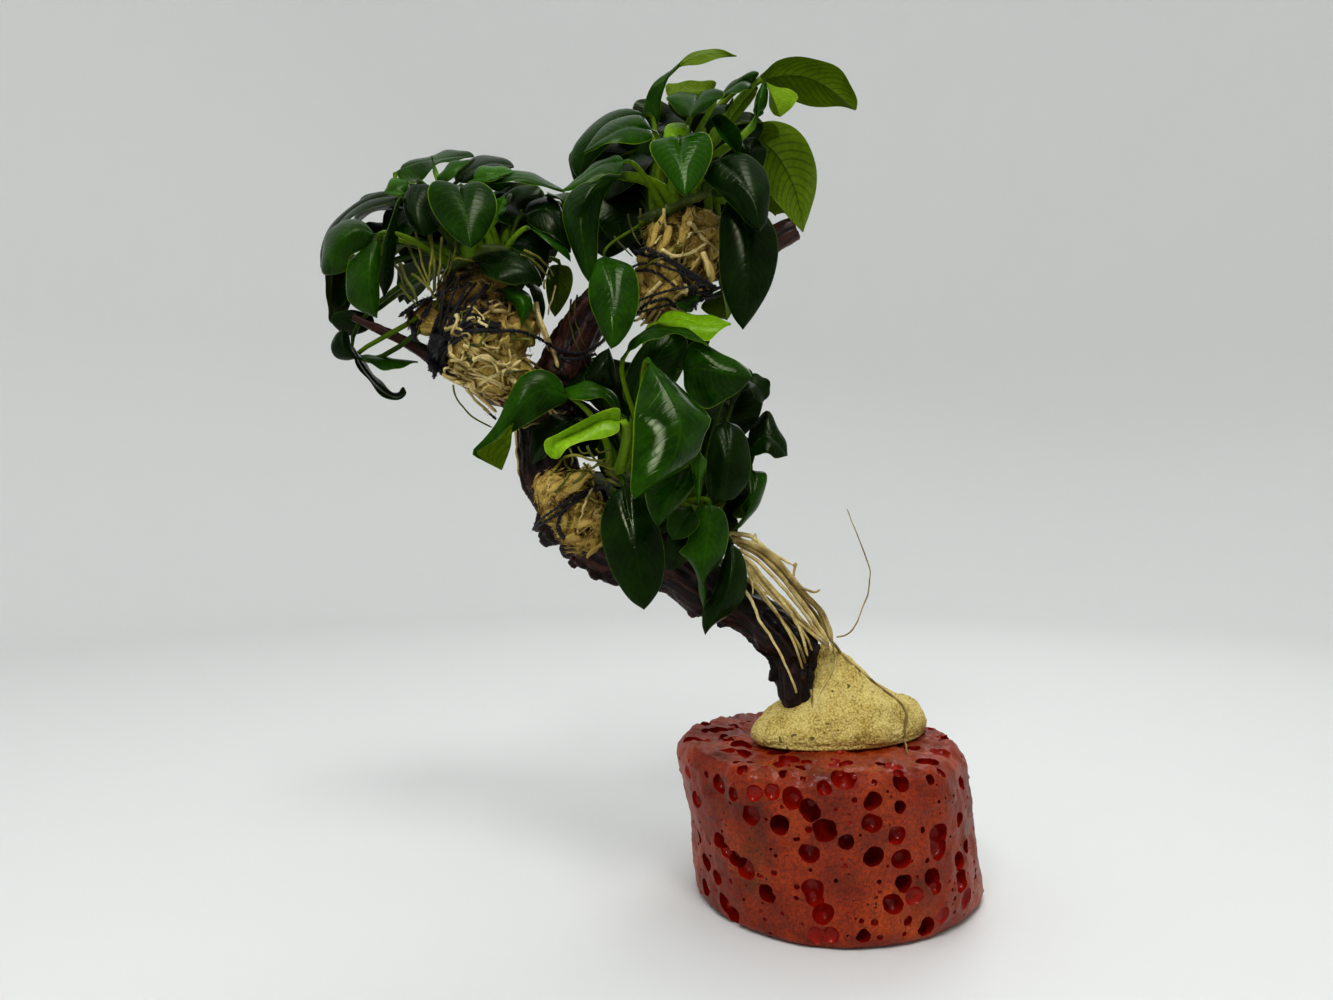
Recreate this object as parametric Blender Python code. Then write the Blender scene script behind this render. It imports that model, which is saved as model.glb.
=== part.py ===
"""Anubias bonsai: dwarf anubias plants tied on branching driftwood that stands in a pitted stone base.

Metres, +Z up, the front looks along -Y. The origin is the middle of the stone's flat underside.
Places are given as the front view shows them, in pixels, with a depth in millimetres behind the stone's middle.
"""

import math
import random
from dataclasses import dataclass

import bmesh
import bpy
from mathutils import Matrix, Vector, noise
from mathutils.bvhtree import BVHTree

MM = 0.001
GAP = 0.4

# Front view: a level sight from EYE (mm) through a picture whose middle is CENTRE and whose focal length is FOCAL
EYE = Vector((-55.5, -333.0, 130.0))
FOCAL = 1000.0
CENTRE = (666.5, 500.0)

# Stone base, mm
STONE_SIDES = 24
STONE_TOP = 50.5
STONE_RINGS = (
    # height, radius, shift of the ring's middle to the right
    (0.0, 43.5, 1.5),
    (2.5, 46.0, 1.5),
    (13.0, 46.2, 0.6),
    (25.0, 46.5, -1.0),
    (37.0, 46.8, -3.2),
    (46.0, 46.6, -5.2),
    (50.5, 43.6, -5.6),
)
STONE_RIM_INSIDE = 36.0
SOCKET_TOP_RADIUS = 14.0
SOCKET_FLOOR_RADIUS = 13.0
SOCKET_FLOOR = 37.0
SOCKET_MIDDLE = (-2.0, 2.0)
PIT_SIDES = 6
PIT_SLOPE = 0.62
SIDE_PITS = 6

# Wood, wool, thread and plants, mm
WOOD_SIDES = 10
WOOD_ROUGHNESS = 0.14
RHIZOME_SIDES = 7
STRAND_RADIUS = 0.65
TIE_SLACK = 0.6
PETIOLE_RADIUS = 1.0
BLADE_THICKNESS = 0.9
BLADE_STATIONS = (0.05, 0.26, 0.56, 0.84)
PETIOLE_STATIONS = (0.0, 0.45, 0.92)
OUTLINE_RISE = 0.5
OUTLINE_FALL = 0.8


@dataclass(frozen=True)
class Pit:
    """A round hollow in the stone: the pixel of its middle and its radius in pixels."""

    u: float
    v: float
    radius: float
    depth: float = 0.75


@dataclass(frozen=True)
class Leaf:
    """A leaf: its stalk's place along the rhizome, its blade's two ends and how the blade is turned."""

    name: str
    clump: str
    at: float
    base: tuple
    tip: tuple
    width: float
    face: tuple
    lift: float = 3.0
    bow: float = 0.0
    fold: float = 12.0
    twist: float = 0.0
    young: bool = False


PITS = (
    Pit(719.6, 784.1, 9.8),
    Pit(754.3, 793.2, 9.1),
    Pit(792.3, 799.7, 12.0),
    Pit(751.1, 814.4, 10.8),
    Pit(778.6, 824.2, 10.4),
    Pit(844.3, 779.7, 12.6),
    Pit(825.9, 832.4, 12.6),
    Pit(809.6, 852.4, 10.4),
    Pit(872.5, 824.2, 10.4),
    Pit(873.1, 855.6, 10.0),
    Pit(900.7, 857.8, 10.8),
    Pit(938.6, 840.5, 14.0),
    Pit(892.0, 905.5, 10.8),
    Pit(766.2, 893.1, 9.8),
    Pit(812.9, 893.6, 11.4),
    Pit(744.0, 866.0, 11.0),
    Pit(729.4, 909.8, 12.0),
)

# Driftwood: pixel, depth and radius in mm along each limb
TRUNK = (
    (806, 746, 0, 4.0),
    (801, 722, -3, 4.6),
    (798, 692, -3, 6.4),
    (796, 664, -2, 7.8),
    (784, 640, -1, 8.6),
    (762, 620, 0, 8.4),
    (735, 604, 0, 8.2),
    (708, 586, 0, 9.4),
    (678, 566, 0, 10.6),
    (640, 552, 0, 10.0),
    (608, 540, 0, 10.0),
    (580, 516, 0, 10.6),
    (557, 486, 0, 10.0),
    (545, 452, 0, 9.4),
    (546, 424, 1, 8.6),
    (553, 396, 2, 8.0),
)
UPPER_BRANCH = (
    (554, 390, 2.3, 7.6),
    (563, 364, 4, 7.5),
    (576, 334, 6, 7.3),
    (594, 310, 8, 7.0),
    (628, 290, 9, 6.8),
    (672, 274, 9, 6.4),
    (716, 262, 8, 5.6),
    (752, 251, 7, 4.8),
    (796, 228, 6, 4.1),
)
LEFT_BRANCH = (
    (517, 400, 3, 4.2),
    (496, 392, 4, 4.4),
    (464, 375, 4, 3.9),
    (432, 356, 3, 3.0),
    (412, 345, 2, 2.2),
    (382, 331, 1, 1.8),
    (352, 317, 0, 1.6),
)

# Foam wedge: height, middle of the ring, its half length and half width
FOAM_RINGS = (
    (41.0, (-2.0, 2.0), 12.6, 12.6),
    (50.9, (-2.0, 2.0), 13.2, 13.2),
    (51.6, (4.0, 2.5), 31.0, 18.5),
    (55.0, (4.0, 3.0), 33.0, 19.5),
    (61.0, (3.5, 3.0), 29.0, 17.5),
    (67.0, (3.5, 2.5), 19.0, 13.5),
    (73.0, (3.0, 2.0), 11.0, 9.5),
    (78.5, (0.0, 1.0), 5.0, 5.0),
)
FOAM_PEAK = (-1.5, 0.5, 81.0)
FOAM_SIDES = 14
FOAM_TURN = 24.0

# Wool plugs: pixel, depth and radius in mm of the balls that each one wraps
LEFT_WOOL = (
    (486, 334, -7, 12.0),
    (464, 300, -5, 9.0),
    (490, 292, -5, 9.0),
    (512, 326, -7, 8.5),
    (500, 370, -7, 9.0),
    (522, 382, -7, 6.0),
)
TOP_WOOL = (
    (676, 266, -6, 12.0),
    (700, 240, -5, 8.5),
    (662, 298, -6, 8.0),
    (668, 240, -5, 8.0),
)
MIDDLE_WOOL = (
    (572, 505, -11, 8.0),
    (585, 526, -12, 7.4),
    (556, 492, -10, 6.5),
)

# Rhizomes: pixel, depth and radius in mm along each creeping stem
RHIZOMES = {
    "left": ((450, 270, -8, 1.8), (466, 258, -9, 2.3), (488, 251, -9, 2.5), (516, 252, -6, 1.9)),
    "top": ((640, 222, -9, 1.8), (662, 212, -11, 2.3), (686, 198, -11, 2.5), (716, 190, -8, 1.9)),
    "middle": ((608, 470, -14, 1.8), (640, 482, -16, 2.5), (682, 505, -14, 2.6), (722, 532, -9, 1.9)),
}

LEAVES = (
    Leaf("leaf_left_01", "left", 0.45, (404, 178, -3), (474, 155, 3), 19, (0.0, 0.85, 0.55), fold=-22),
    Leaf("leaf_left_02", "left", 0.66, (452, 182, -2), (515, 167, 3), 20, (-0.1, 0.8, 0.6), fold=-10),
    Leaf("leaf_left_03", "left", 0.78, (484, 184, -11), (566, 192, -7), 17, (0.2, 0.95, 0.15)),
    Leaf("leaf_left_04", "left", 0.58, (459, 186, -18), (472, 252, -30), 24, (0.1, 0.45, 0.9), fold=8),
    Leaf("leaf_left_05", "left", 0.43, (418, 183, -26), (425, 238, -34), 14, (-0.2, 0.3, 0.9)),
    Leaf("leaf_left_06", "left", 0.24, (396, 198, 4), (326, 246, 6), 19, (-0.6, 0.8, 0.0), lift=7),
    Leaf("leaf_left_07", "left", 0.20, (354, 222, -20), (324, 275, -22), 20, (-0.5, 0.35, 0.7), lift=4),
    Leaf("leaf_left_08", "left", 0.07, (373, 242, -12), (379, 318, -18), 20, (-0.35, 0.15, 0.9), lift=2),
    Leaf("leaf_left_09", "left", 0.30, (394, 204, -20), (385, 298, -26), 15, (0.93, 0.1, 0.35), lift=2),
    Leaf("leaf_left_10", "left", 0.00, (338, 268, 14), (333, 326, 13), 23, (-1.0, 0.1, -0.25), lift=4),
    Leaf("leaf_left_11", "left", 0.13, (352, 346, 9), (402, 396, 0), 13, (0.55, 0.75, -0.1), lift=-4),
    Leaf("leaf_left_12", "left", 0.80, (500, 220, 5), (543, 192, 13), 24, (-0.3, 0.7, -0.7), lift=5),
    Leaf("leaf_left_13", "left", 0.94, (530, 218, -5), (569, 249, -9), 24, (0.5, 0.7, -0.5), lift=6),
    Leaf("leaf_left_14", "left", 0.84, (486, 262, 10), (537, 275, 16), 19, (0.0, -0.6, 0.75), lift=2),
    Leaf("leaf_left_15", "left", 1.00, (500, 286, -15), (542, 324, -23), 19, (0.6, 0.7, -0.3), lift=6),
    Leaf("leaf_top_01", "top", 0.48, (654, 130, 0), (736, 56, -4), 15, (-0.7, 0.65, 0.25), lift=8),
    Leaf("leaf_top_02", "top", 0.83, (758, 80, -3), (856, 108, -11), 25, (0.15, 0.85, -0.55), lift=7),
    Leaf("leaf_top_03", "top", 0.70, (756, 84, -13), (712, 100, -19), 14, (-0.25, 0.75, 0.5)),
    Leaf("leaf_top_04", "top", 0.60, (694, 88, -19), (688, 118, -31), 22, (0.0, 0.65, 0.75), fold=6),
    Leaf("leaf_top_05", "top", 0.52, (681, 139, -22), (687, 194, -36), 21, (0.05, 0.5, 0.85), fold=6),
    Leaf("leaf_top_06", "top", 0.24, (641, 112, -2), (580, 177, -6), 25, (-0.65, 0.55, -0.5), lift=8),
    Leaf("leaf_top_07", "top", 0.36, (650, 130, -12), (584, 152, -20), 17, (-0.2, 0.75, 0.6), lift=4),
    Leaf("leaf_top_08", "top", 0.36, (622, 155, -29), (565, 191, -35), 14, (-0.5, 0.8, 0.1), lift=3),
    Leaf("leaf_top_09", "top", 0.15, (619, 177, -16), (590, 284, -26), 26, (-0.8, 0.25, 0.55), lift=9),
    Leaf("leaf_top_10", "top", 0.05, (613, 262, -26), (611, 347, -30), 17, (0.0, 0.2, 1.0), lift=3),
    Leaf("leaf_top_11", "top", 0.86, (712, 164, -22), (760, 230, -32), 20, (0.1, 0.4, 0.9), lift=5, bow=5),
    Leaf("leaf_top_12", "top", 0.96, (745, 206, -16), (742, 329, -22), 20, (0.0, 0.15, 1.0), lift=4),
    Leaf("leaf_top_13", "top", 0.90, (751, 140, 5), (805, 228, 3), 24, (0.65, 0.3, -0.65), lift=5, bow=-2),
    Leaf("leaf_top_14", "top", 0.65, (716, 116, -2), (670, 104, -2), 16, (-0.1, 0.8, -0.6), lift=3),
    Leaf("leaf_middle_01", "middle", 0.40, (659, 322, -17), (730, 327, -22), 15, (0.15, 0.9, 0.45), young=True),
    Leaf("leaf_middle_02", "middle", 0.34, (634, 336, -30), (709, 345, -34), 14, (0.1, 0.95, 0.2), lift=5),
    Leaf("leaf_middle_03", "middle", 0.20, (638, 408, -20), (674, 329, -16), 24, (-0.25, 0.35, 0.9), lift=4),
    Leaf("leaf_middle_04", "middle", 0.50, (676, 372, -20), (751, 378, -24), 25, (0.2, 0.45, 0.85), lift=4),
    Leaf("leaf_middle_05", "middle", 0.27, (655, 367, -43), (634, 497, -49), 25, (0.2, 0.2, 0.9), lift=3, bow=-9),
    Leaf("leaf_middle_06", "middle", 0.00, (563, 393, -16), (480, 461, -22), 21, (-0.3, 0.6, 0.75), lift=7),
    Leaf("leaf_middle_07", "middle", 0.10, (622, 413, -12), (562, 392, -10), 13, (-0.1, 0.8, 0.55), lift=6),
    Leaf("leaf_middle_08", "middle", 0.13, (616, 421, -28), (549, 450, -32), 12, (-0.2, 0.6, 0.8), fold=38, young=True),
    Leaf("leaf_middle_09", "middle", 0.16, (629, 488, -26), (644, 608, -24), 20, (0.0, 0.15, 1.0), lift=3),
    Leaf("leaf_middle_10", "middle", 0.44, (684, 470, -26), (656, 524, -30), 14, (0.1, 0.35, 0.9)),
    Leaf("leaf_middle_11", "middle", 0.70, (727, 423, -16), (712, 500, -22), 14, (0.0, 0.1, 1.0)),
    Leaf("leaf_middle_12", "middle", 0.78, (746, 432, -6), (785, 448, -10), 16, (0.1, 0.6, 0.75), lift=4),
    Leaf("leaf_middle_13", "middle", 0.90, (752, 471, -8), (735, 528, -14), 13, (-0.4, 0.2, 0.85), fold=32),
    Leaf("leaf_middle_14", "middle", 0.66, (710, 508, -22), (703, 602, -24), 15, (0.0, 0.2, 1.0), lift=4),
    Leaf("leaf_middle_15", "middle", 0.95, (730, 543, -16), (707, 632, -20), 14, (0.25, 0.1, 0.95), lift=3),
)


def clear_scene():
    """Removes every object, mesh and material that the file opens with."""
    for held in (bpy.data.objects, bpy.data.meshes, bpy.data.materials):
        for block in list(held):
            held.remove(block)


def seen(u, v, depth):
    """The point in mm that the front view shows at pixel (u, v), depth mm behind the stone's middle."""
    reach = (depth - EYE.y) / FOCAL
    return Vector((EYE.x + (u - CENTRE[0]) * reach, depth, EYE.z - (v - CENTRE[1]) * reach))


def material(name, colour, roughness, metallic=0.0):
    """A Principled material with the piece's colour."""
    made = bpy.data.materials.new(name)
    made.use_nodes = True
    shader = made.node_tree.nodes["Principled BSDF"]
    shader.inputs["Base Color"].default_value = (*colour, 1.0)
    shader.inputs["Roughness"].default_value = roughness
    shader.inputs["Metallic"].default_value = metallic
    made.diffuse_color = (*colour, 1.0)
    return made


def solid(name, points, faces, look, sharp=50):
    """An object in metres from points in mm, its faces turned out, with edges over the sharp angle left sharp."""
    mesh = bpy.data.meshes.new(name)
    mesh.from_pydata([tuple(point * MM) for point in points], [], faces)
    shaped = bmesh.new()
    shaped.from_mesh(mesh)
    bmesh.ops.triangulate(shaped, faces=shaped.faces)
    bmesh.ops.recalc_face_normals(shaped, faces=shaped.faces)
    shaped.to_mesh(mesh)
    shaped.free()
    mesh.shade_smooth()
    mesh.set_sharp_from_angle(angle=math.radians(sharp))
    mesh.materials.append(look)
    made = bpy.data.objects.new(name, mesh)
    bpy.context.scene.collection.objects.link(made)
    return made


def helper(made):
    """Marks an object as a cutter, which isn't a piece of the plant."""
    made.hide_render = True
    made.display_type = "WIRE"
    return made


def cut(made, cutter):
    """Takes the cutter's shape out of an object."""
    step = made.modifiers.new("cut", "BOOLEAN")
    step.operation = "DIFFERENCE"
    step.solver = "EXACT"
    step.object = cutter


def spline(places, steps):
    """Points of a smooth curve through the places (Catmull-Rom), with the value each place carries."""
    knots = [Vector((*seen(u, v, depth), value)) for u, v, depth, value in places]
    ends = [knots[0] * 2 - knots[1], *knots, knots[-1] * 2 - knots[-2]]
    curve = []
    for before, start, end, after in zip(ends, ends[1:], ends[2:], ends[3:]):
        for step in range(steps):
            t = step / steps
            curve.append(
                0.5
                * (
                    start * 2
                    + (end - before) * t
                    + (before * 2 - start * 5 + end * 4 - after) * t**2
                    + (start * 3 - before - end * 3 + after) * t**3
                )
            )
    curve.append(knots[-1])
    return [Vector(knot[:3]) for knot in curve], [knot[3] for knot in curve]


def rings_between(rings, closed_start=True, closed_end=True):
    """Points and faces of a body whose equal rings follow one another, flat at its closed ends."""
    sides = len(rings[0])
    points = [point for ring in rings for point in ring]
    faces = []
    for row in range(len(rings) - 1):
        for side in range(sides):
            near = row * sides + side
            far = row * sides + (side + 1) % sides
            faces.append((near, far, far + sides, near + sides))
    if closed_start:
        faces.append(tuple(range(sides)))
    if closed_end:
        faces.append(tuple(range(len(points) - sides, len(points))))
    return points, faces


def with_point(points, faces, sides, place, at_end=True):
    """The same body with one end drawn to a point."""
    last = len(points)
    first = last - sides if at_end else 0
    points.append(place)
    faces.extend((first + side, first + (side + 1) % sides, last) for side in range(sides))
    return points, faces


def tube(path, radii, sides, rough=0.0, seed=0.0):
    """A round body along a path, its section kept upright from point to point and roughened by noise."""
    rings = []
    across = None
    for index, (middle, radius) in enumerate(zip(path, radii)):
        ahead = path[min(index + 1, len(path) - 1)]
        behind = path[max(index - 1, 0)]
        along = (ahead - behind).normalized()
        across = along.orthogonal() if across is None else across
        across = (across - along * across.dot(along)).normalized()
        up = along.cross(across)
        ring = []
        for side in range(sides):
            angle = math.tau * side / sides
            out = across * math.cos(angle) + up * math.sin(angle)
            swell = 1.0 + rough * noise.noise((middle + out * radius) * 0.16 + Vector((seed, seed, seed)))
            ring.append(middle + out * radius * swell)
        rings.append(ring)
    return rings_between(rings)


def limb(name, places, look, steps=2, sides=WOOD_SIDES, rough=WOOD_ROUGHNESS):
    """A length of wood or of rhizome, through its places."""
    path, radii = spline(places, steps)
    return solid(name, *tube(path, radii, sides, rough), look)


def room(name, places, look, steps=2, sides=WOOD_SIDES, rough=WOOD_ROUGHNESS):
    """A cutter for what stands round a limb: the same limb, grown by the gap on every side and at its ends."""
    path, radii = spline(places, steps)
    path[0] += (path[0] - path[1]).normalized() * GAP
    path[-1] += (path[-1] - path[-2]).normalized() * GAP
    return helper(solid(name, *tube(path, [radius + GAP for radius in radii], sides, rough), look))


def wrap_of_balls(balls, rows, columns, rough):
    """A closed body round the balls, every point of it in sight of the first ball's middle."""
    middles = [seen(u, v, depth) for u, v, depth, _ in balls]
    radii = [ball[3] for ball in balls]
    heart = middles[0]

    def reach(direction):
        """How far the body goes from its heart in a direction."""
        furthest = radii[0]
        for middle, radius in zip(middles[1:], radii[1:]):
            offset = middle - heart
            forward = offset.dot(direction)
            inside = forward**2 - offset.length_squared + radius**2
            if inside > 0:
                furthest = max(furthest, forward + math.sqrt(inside))
        return furthest * (1.0 + rough * noise.noise(direction * 2.3 + heart * 0.1))

    rings = []
    for row in range(1, rows):
        tilt = math.pi * row / rows
        ring = []
        for column in range(columns):
            turn = math.tau * column / columns
            direction = Vector((math.sin(tilt) * math.cos(turn), math.sin(tilt) * math.sin(turn), math.cos(tilt)))
            ring.append(heart + direction * reach(direction))
        rings.append(ring)
    points, faces = rings_between(rings, False, False)
    up = Vector((0.0, 0.0, 1.0))
    with_point(points, faces, columns, heart - up * reach(-up))
    top = len(points)
    points.append(heart + up * reach(up))
    faces.extend((side, (side + 1) % columns, top) for side in range(columns))
    return points, faces


def surface(made):
    """A tree of an object's own faces, in mm, for finding where a line meets them."""
    points = [vertex.co / MM for vertex in made.data.vertices]
    return BVHTree.FromPolygons(points, [list(face.vertices) for face in made.data.polygons])


def section(objects, centre, along, reach):
    """Points in mm, measured from a centre, where the objects' edges cross the plane through it within reach."""
    crossings = []
    for made in objects:
        places = [vertex.co / MM - centre for vertex in made.data.vertices]
        heights = [place.dot(along) for place in places]
        for edge in made.data.edges:
            start, end = edge.vertices
            if heights[start] * heights[end] < 0:
                share = heights[start] / (heights[start] - heights[end])
                crossing = places[start].lerp(places[end], share)
                if crossing.length < reach:
                    crossings.append(crossing)
    return crossings


def wound(objects, middle, along, width, turns, per_turn, clearance):
    """Path of a strand wound tight round the objects at a middle, its turns side by side over a width."""
    across = along.orthogonal().normalized()
    up = along.cross(across)
    count = turns * per_turn
    path = []
    for step in range(count + 1):
        centre = middle + along * width * (step / count - 0.5)
        held = []
        for beside in (-2, 0, 2):
            held.extend(section(objects, centre + along * STRAND_RADIUS * beside, along, 32.0))
        angle = math.tau * step / per_turn
        out = across * math.cos(angle) + up * math.sin(angle)
        outermost = max(held, key=lambda place: place.dot(out))
        path.append(centre + outermost + out * clearance)
    return path


def outline(t):
    """Half width of a blade at t along it, as a share of its greatest half width."""
    widest = OUTLINE_RISE / (OUTLINE_RISE + OUTLINE_FALL)
    top = widest**OUTLINE_RISE * (1 - widest) ** OUTLINE_FALL
    return t**OUTLINE_RISE * (1 - t) ** OUTLINE_FALL / top


def leaf_frame(leaf):
    """The blade's two ends, its length's direction, the way its upper face looks and its left side, in mm."""
    base = seen(*leaf.base)
    tip = seen(*leaf.tip)
    along = (tip - base).normalized()
    right, up, toward = leaf.face
    looks = Vector((right, -toward, up))
    looks = (looks - along * looks.dot(along)).normalized()
    return base, tip, along, looks, along.cross(looks)


def rhizome_place(clump, share):
    """The point at a share of a rhizome's length, its direction there and its radius."""
    path, radii = spline(RHIZOMES[clump], 8)
    place = share * (len(path) - 1)
    index = min(int(place), len(path) - 2)
    rest = place - index
    along = (path[index + 1] - path[index]).normalized()
    return path[index].lerp(path[index + 1], rest), along, radii[index] + (radii[index + 1] - radii[index]) * rest


def leaf_body(leaf):
    """Points and faces of a leaf: a stalk that grows from the rhizome and flattens into the blade."""
    base, tip, along, looks, left = leaf_frame(leaf)
    length = (tip - base).length

    def midrib(t):
        """The point at t along the blade's midrib."""
        rise = 4 * t * (1 - t)
        return base.lerp(tip, t) + looks * leaf.lift * rise + left * leaf.bow * rise

    stem, stem_along, stem_radius = rhizome_place(leaf.clump, leaf.at)
    out = base - stem
    out = (out - stem_along * out.dot(stem_along)).normalized()
    root = stem + out * (stem_radius + GAP)
    start = (along * length + looks * leaf.lift * 4).normalized()
    span = (base - root).length
    handles = (root, root + out * span * 0.35, base - start * span * 0.25, base)

    rings = []
    for t in PETIOLE_STATIONS:
        a, b, c, d = handles
        middle = a * (1 - t) ** 3 + b * 3 * t * (1 - t) ** 2 + c * 3 * t**2 * (1 - t) + d * t**3
        slope = (b - a) * 3 * (1 - t) ** 2 + (c - b) * 6 * t * (1 - t) + (d - c) * 3 * t**2
        slope.normalize()
        side = (left - slope * left.dot(slope)).normalized()
        top = side.cross(slope)
        turns = (180, 135, 90, 45, 0, -45, -90, -135)
        around = [math.radians(turn) for turn in turns]
        rings.append([middle + (side * -math.cos(a) + top * math.sin(a)) * PETIOLE_RADIUS for a in around])
    for t in BLADE_STATIONS:
        turn = Matrix.Rotation(math.radians(leaf.twist) * t, 3, along)
        side = turn @ left
        top = turn @ looks
        half = leaf.width * 0.5 * outline(t)
        rise = math.radians(leaf.fold)
        middle = midrib(t)

        def lamina(q, face):
            """The point at a share q of the half width, on the upper (1) or lower (-1) face or the rim (0)."""
            flat = side * half * q * math.cos(rise) + top * half * abs(q) * math.sin(rise)
            return middle + flat + top * face * BLADE_THICKNESS * 0.5

        rings.append(
            [
                lamina(1, 0),
                lamina(0.5, 1),
                lamina(0, 1),
                lamina(-0.5, 1),
                lamina(-1, 0),
                lamina(-0.5, -1),
                lamina(0, -1),
                lamina(0.5, -1),
            ]
        )
    points, faces = rings_between(rings, True, False)
    return with_point(points, faces, 8, tip)


def stone_points(look):
    """The drum of stone with a socket in its top."""
    rings = []
    for height, radius, shift in STONE_RINGS:
        ring = []
        for side in range(STONE_SIDES):
            angle = math.tau * side / STONE_SIDES
            out = Vector((math.cos(angle), math.sin(angle), 0.0))
            uneven = noise.noise(out * 1.6 + Vector((0.0, 0.0, height * 0.035)))
            jut = 3.5 * max(0.0, math.cos(angle + 0.25)) ** 10 * max(0.0, 1.0 - height / 14.0)
            lip = 2.2 * noise.noise(out * 3.1) if height > 40 else 0.0
            reach = radius + 1.4 * uneven + jut + 0.5 * lip
            ring.append(Vector((shift, 0.0, height)) + out * reach)
        rings.append(ring)
    inner = Vector((-5.0, 0.0, STONE_TOP))
    socket = Vector((*SOCKET_MIDDLE, 0.0))
    for middle, radius, height in (
        (inner, STONE_RIM_INSIDE, STONE_TOP),
        (socket, SOCKET_TOP_RADIUS, STONE_TOP),
        (socket, SOCKET_FLOOR_RADIUS, SOCKET_FLOOR),
    ):
        ring = []
        for side in range(STONE_SIDES):
            angle = math.tau * side / STONE_SIDES
            out = Vector((math.cos(angle), math.sin(angle), 0.0))
            ring.append(Vector((middle.x, middle.y, height)) + out * radius)
        rings.append(ring)
    points, faces = rings_between(rings)
    return solid("base_stone", points, faces, look, sharp=25)


def pit_cutters(stone, look):
    """One cutter with a tapered plug for every hollow in the stone's side."""
    tree = surface(stone)
    sites = []
    for pit in PITS:
        ray = seen(pit.u, pit.v, 0.0) - EYE
        hit, normal, _, _ = tree.ray_cast(EYE, ray.normalized())
        sites.append((hit, normal, pit.radius * (hit.y - EYE.y) / FOCAL, pit.depth))
    dice = random.Random(7)
    tries = 0
    while len(sites) < len(PITS) + SIDE_PITS and tries < 400:
        tries += 1
        angle = dice.uniform(math.radians(-5), math.radians(185))
        out = Vector((math.cos(angle), math.sin(angle), 0.0))
        height = dice.uniform(8.0, 41.0)
        radius = dice.uniform(2.6, 4.4)
        hit, normal, _, _ = tree.ray_cast(Vector((0, 0, height)) + out * 80.0, -out)
        if all((hit - other).length > radius + size + 1.5 for other, _, size, _ in sites):
            sites.append((hit, normal, radius, dice.uniform(0.6, 0.9)))
    kept = []
    for site in sites:
        if all((site[0] - other[0]).length > site[2] + other[2] + 0.4 for other in kept):
            kept.append(site)
    points = []
    faces = []
    for middle, normal, radius, depth in kept:
        across = normal.orthogonal().normalized()
        up = normal.cross(across)
        start = len(points)
        for level, share in ((1.2, 1.1), (-radius * depth, PIT_SLOPE)):
            for side in range(PIT_SIDES):
                angle = math.tau * side / PIT_SIDES
                out = across * math.cos(angle) + up * math.sin(angle)
                points.append(middle + normal * level + out * radius * share)
        low = [start + side for side in range(PIT_SIDES)]
        high = [start + PIT_SIDES + side for side in range(PIT_SIDES)]
        faces.append(tuple(low))
        faces.append(tuple(reversed(high)))
        for side in range(PIT_SIDES):
            after = (side + 1) % PIT_SIDES
            faces.append((low[side], high[side], high[after], low[after]))
    return helper(solid("cutter_pits", points, faces, look, sharp=25))


def foam_body():
    """Points and faces of the foam wedge with the plug under it that fills the socket."""
    rings = []
    for index, (height, middle, length, width) in enumerate(FOAM_RINGS):
        ring = []
        for side in range(FOAM_SIDES):
            angle = math.tau * side / FOAM_SIDES
            flat = Vector((math.cos(angle) * length, math.sin(angle) * width, 0.0))
            flat.rotate(Matrix.Rotation(math.radians(FOAM_TURN), 3, "Z"))
            place = Vector((*middle, height)) + flat
            swell = 1.5 * noise.noise(place * 0.09) if index > 2 else 0.0
            ring.append(place + flat.normalized() * swell)
        rings.append(ring)
    points, faces = rings_between(rings, True, False)
    return with_point(points, faces, FOAM_SIDES, Vector(FOAM_PEAK))


def strand(name, path, look, radius=STRAND_RADIUS, sides=4):
    """A thread or root of even thickness along a path."""
    points, faces = tube(path, [radius] * len(path), sides)
    return solid(name, points, faces, look)


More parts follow.
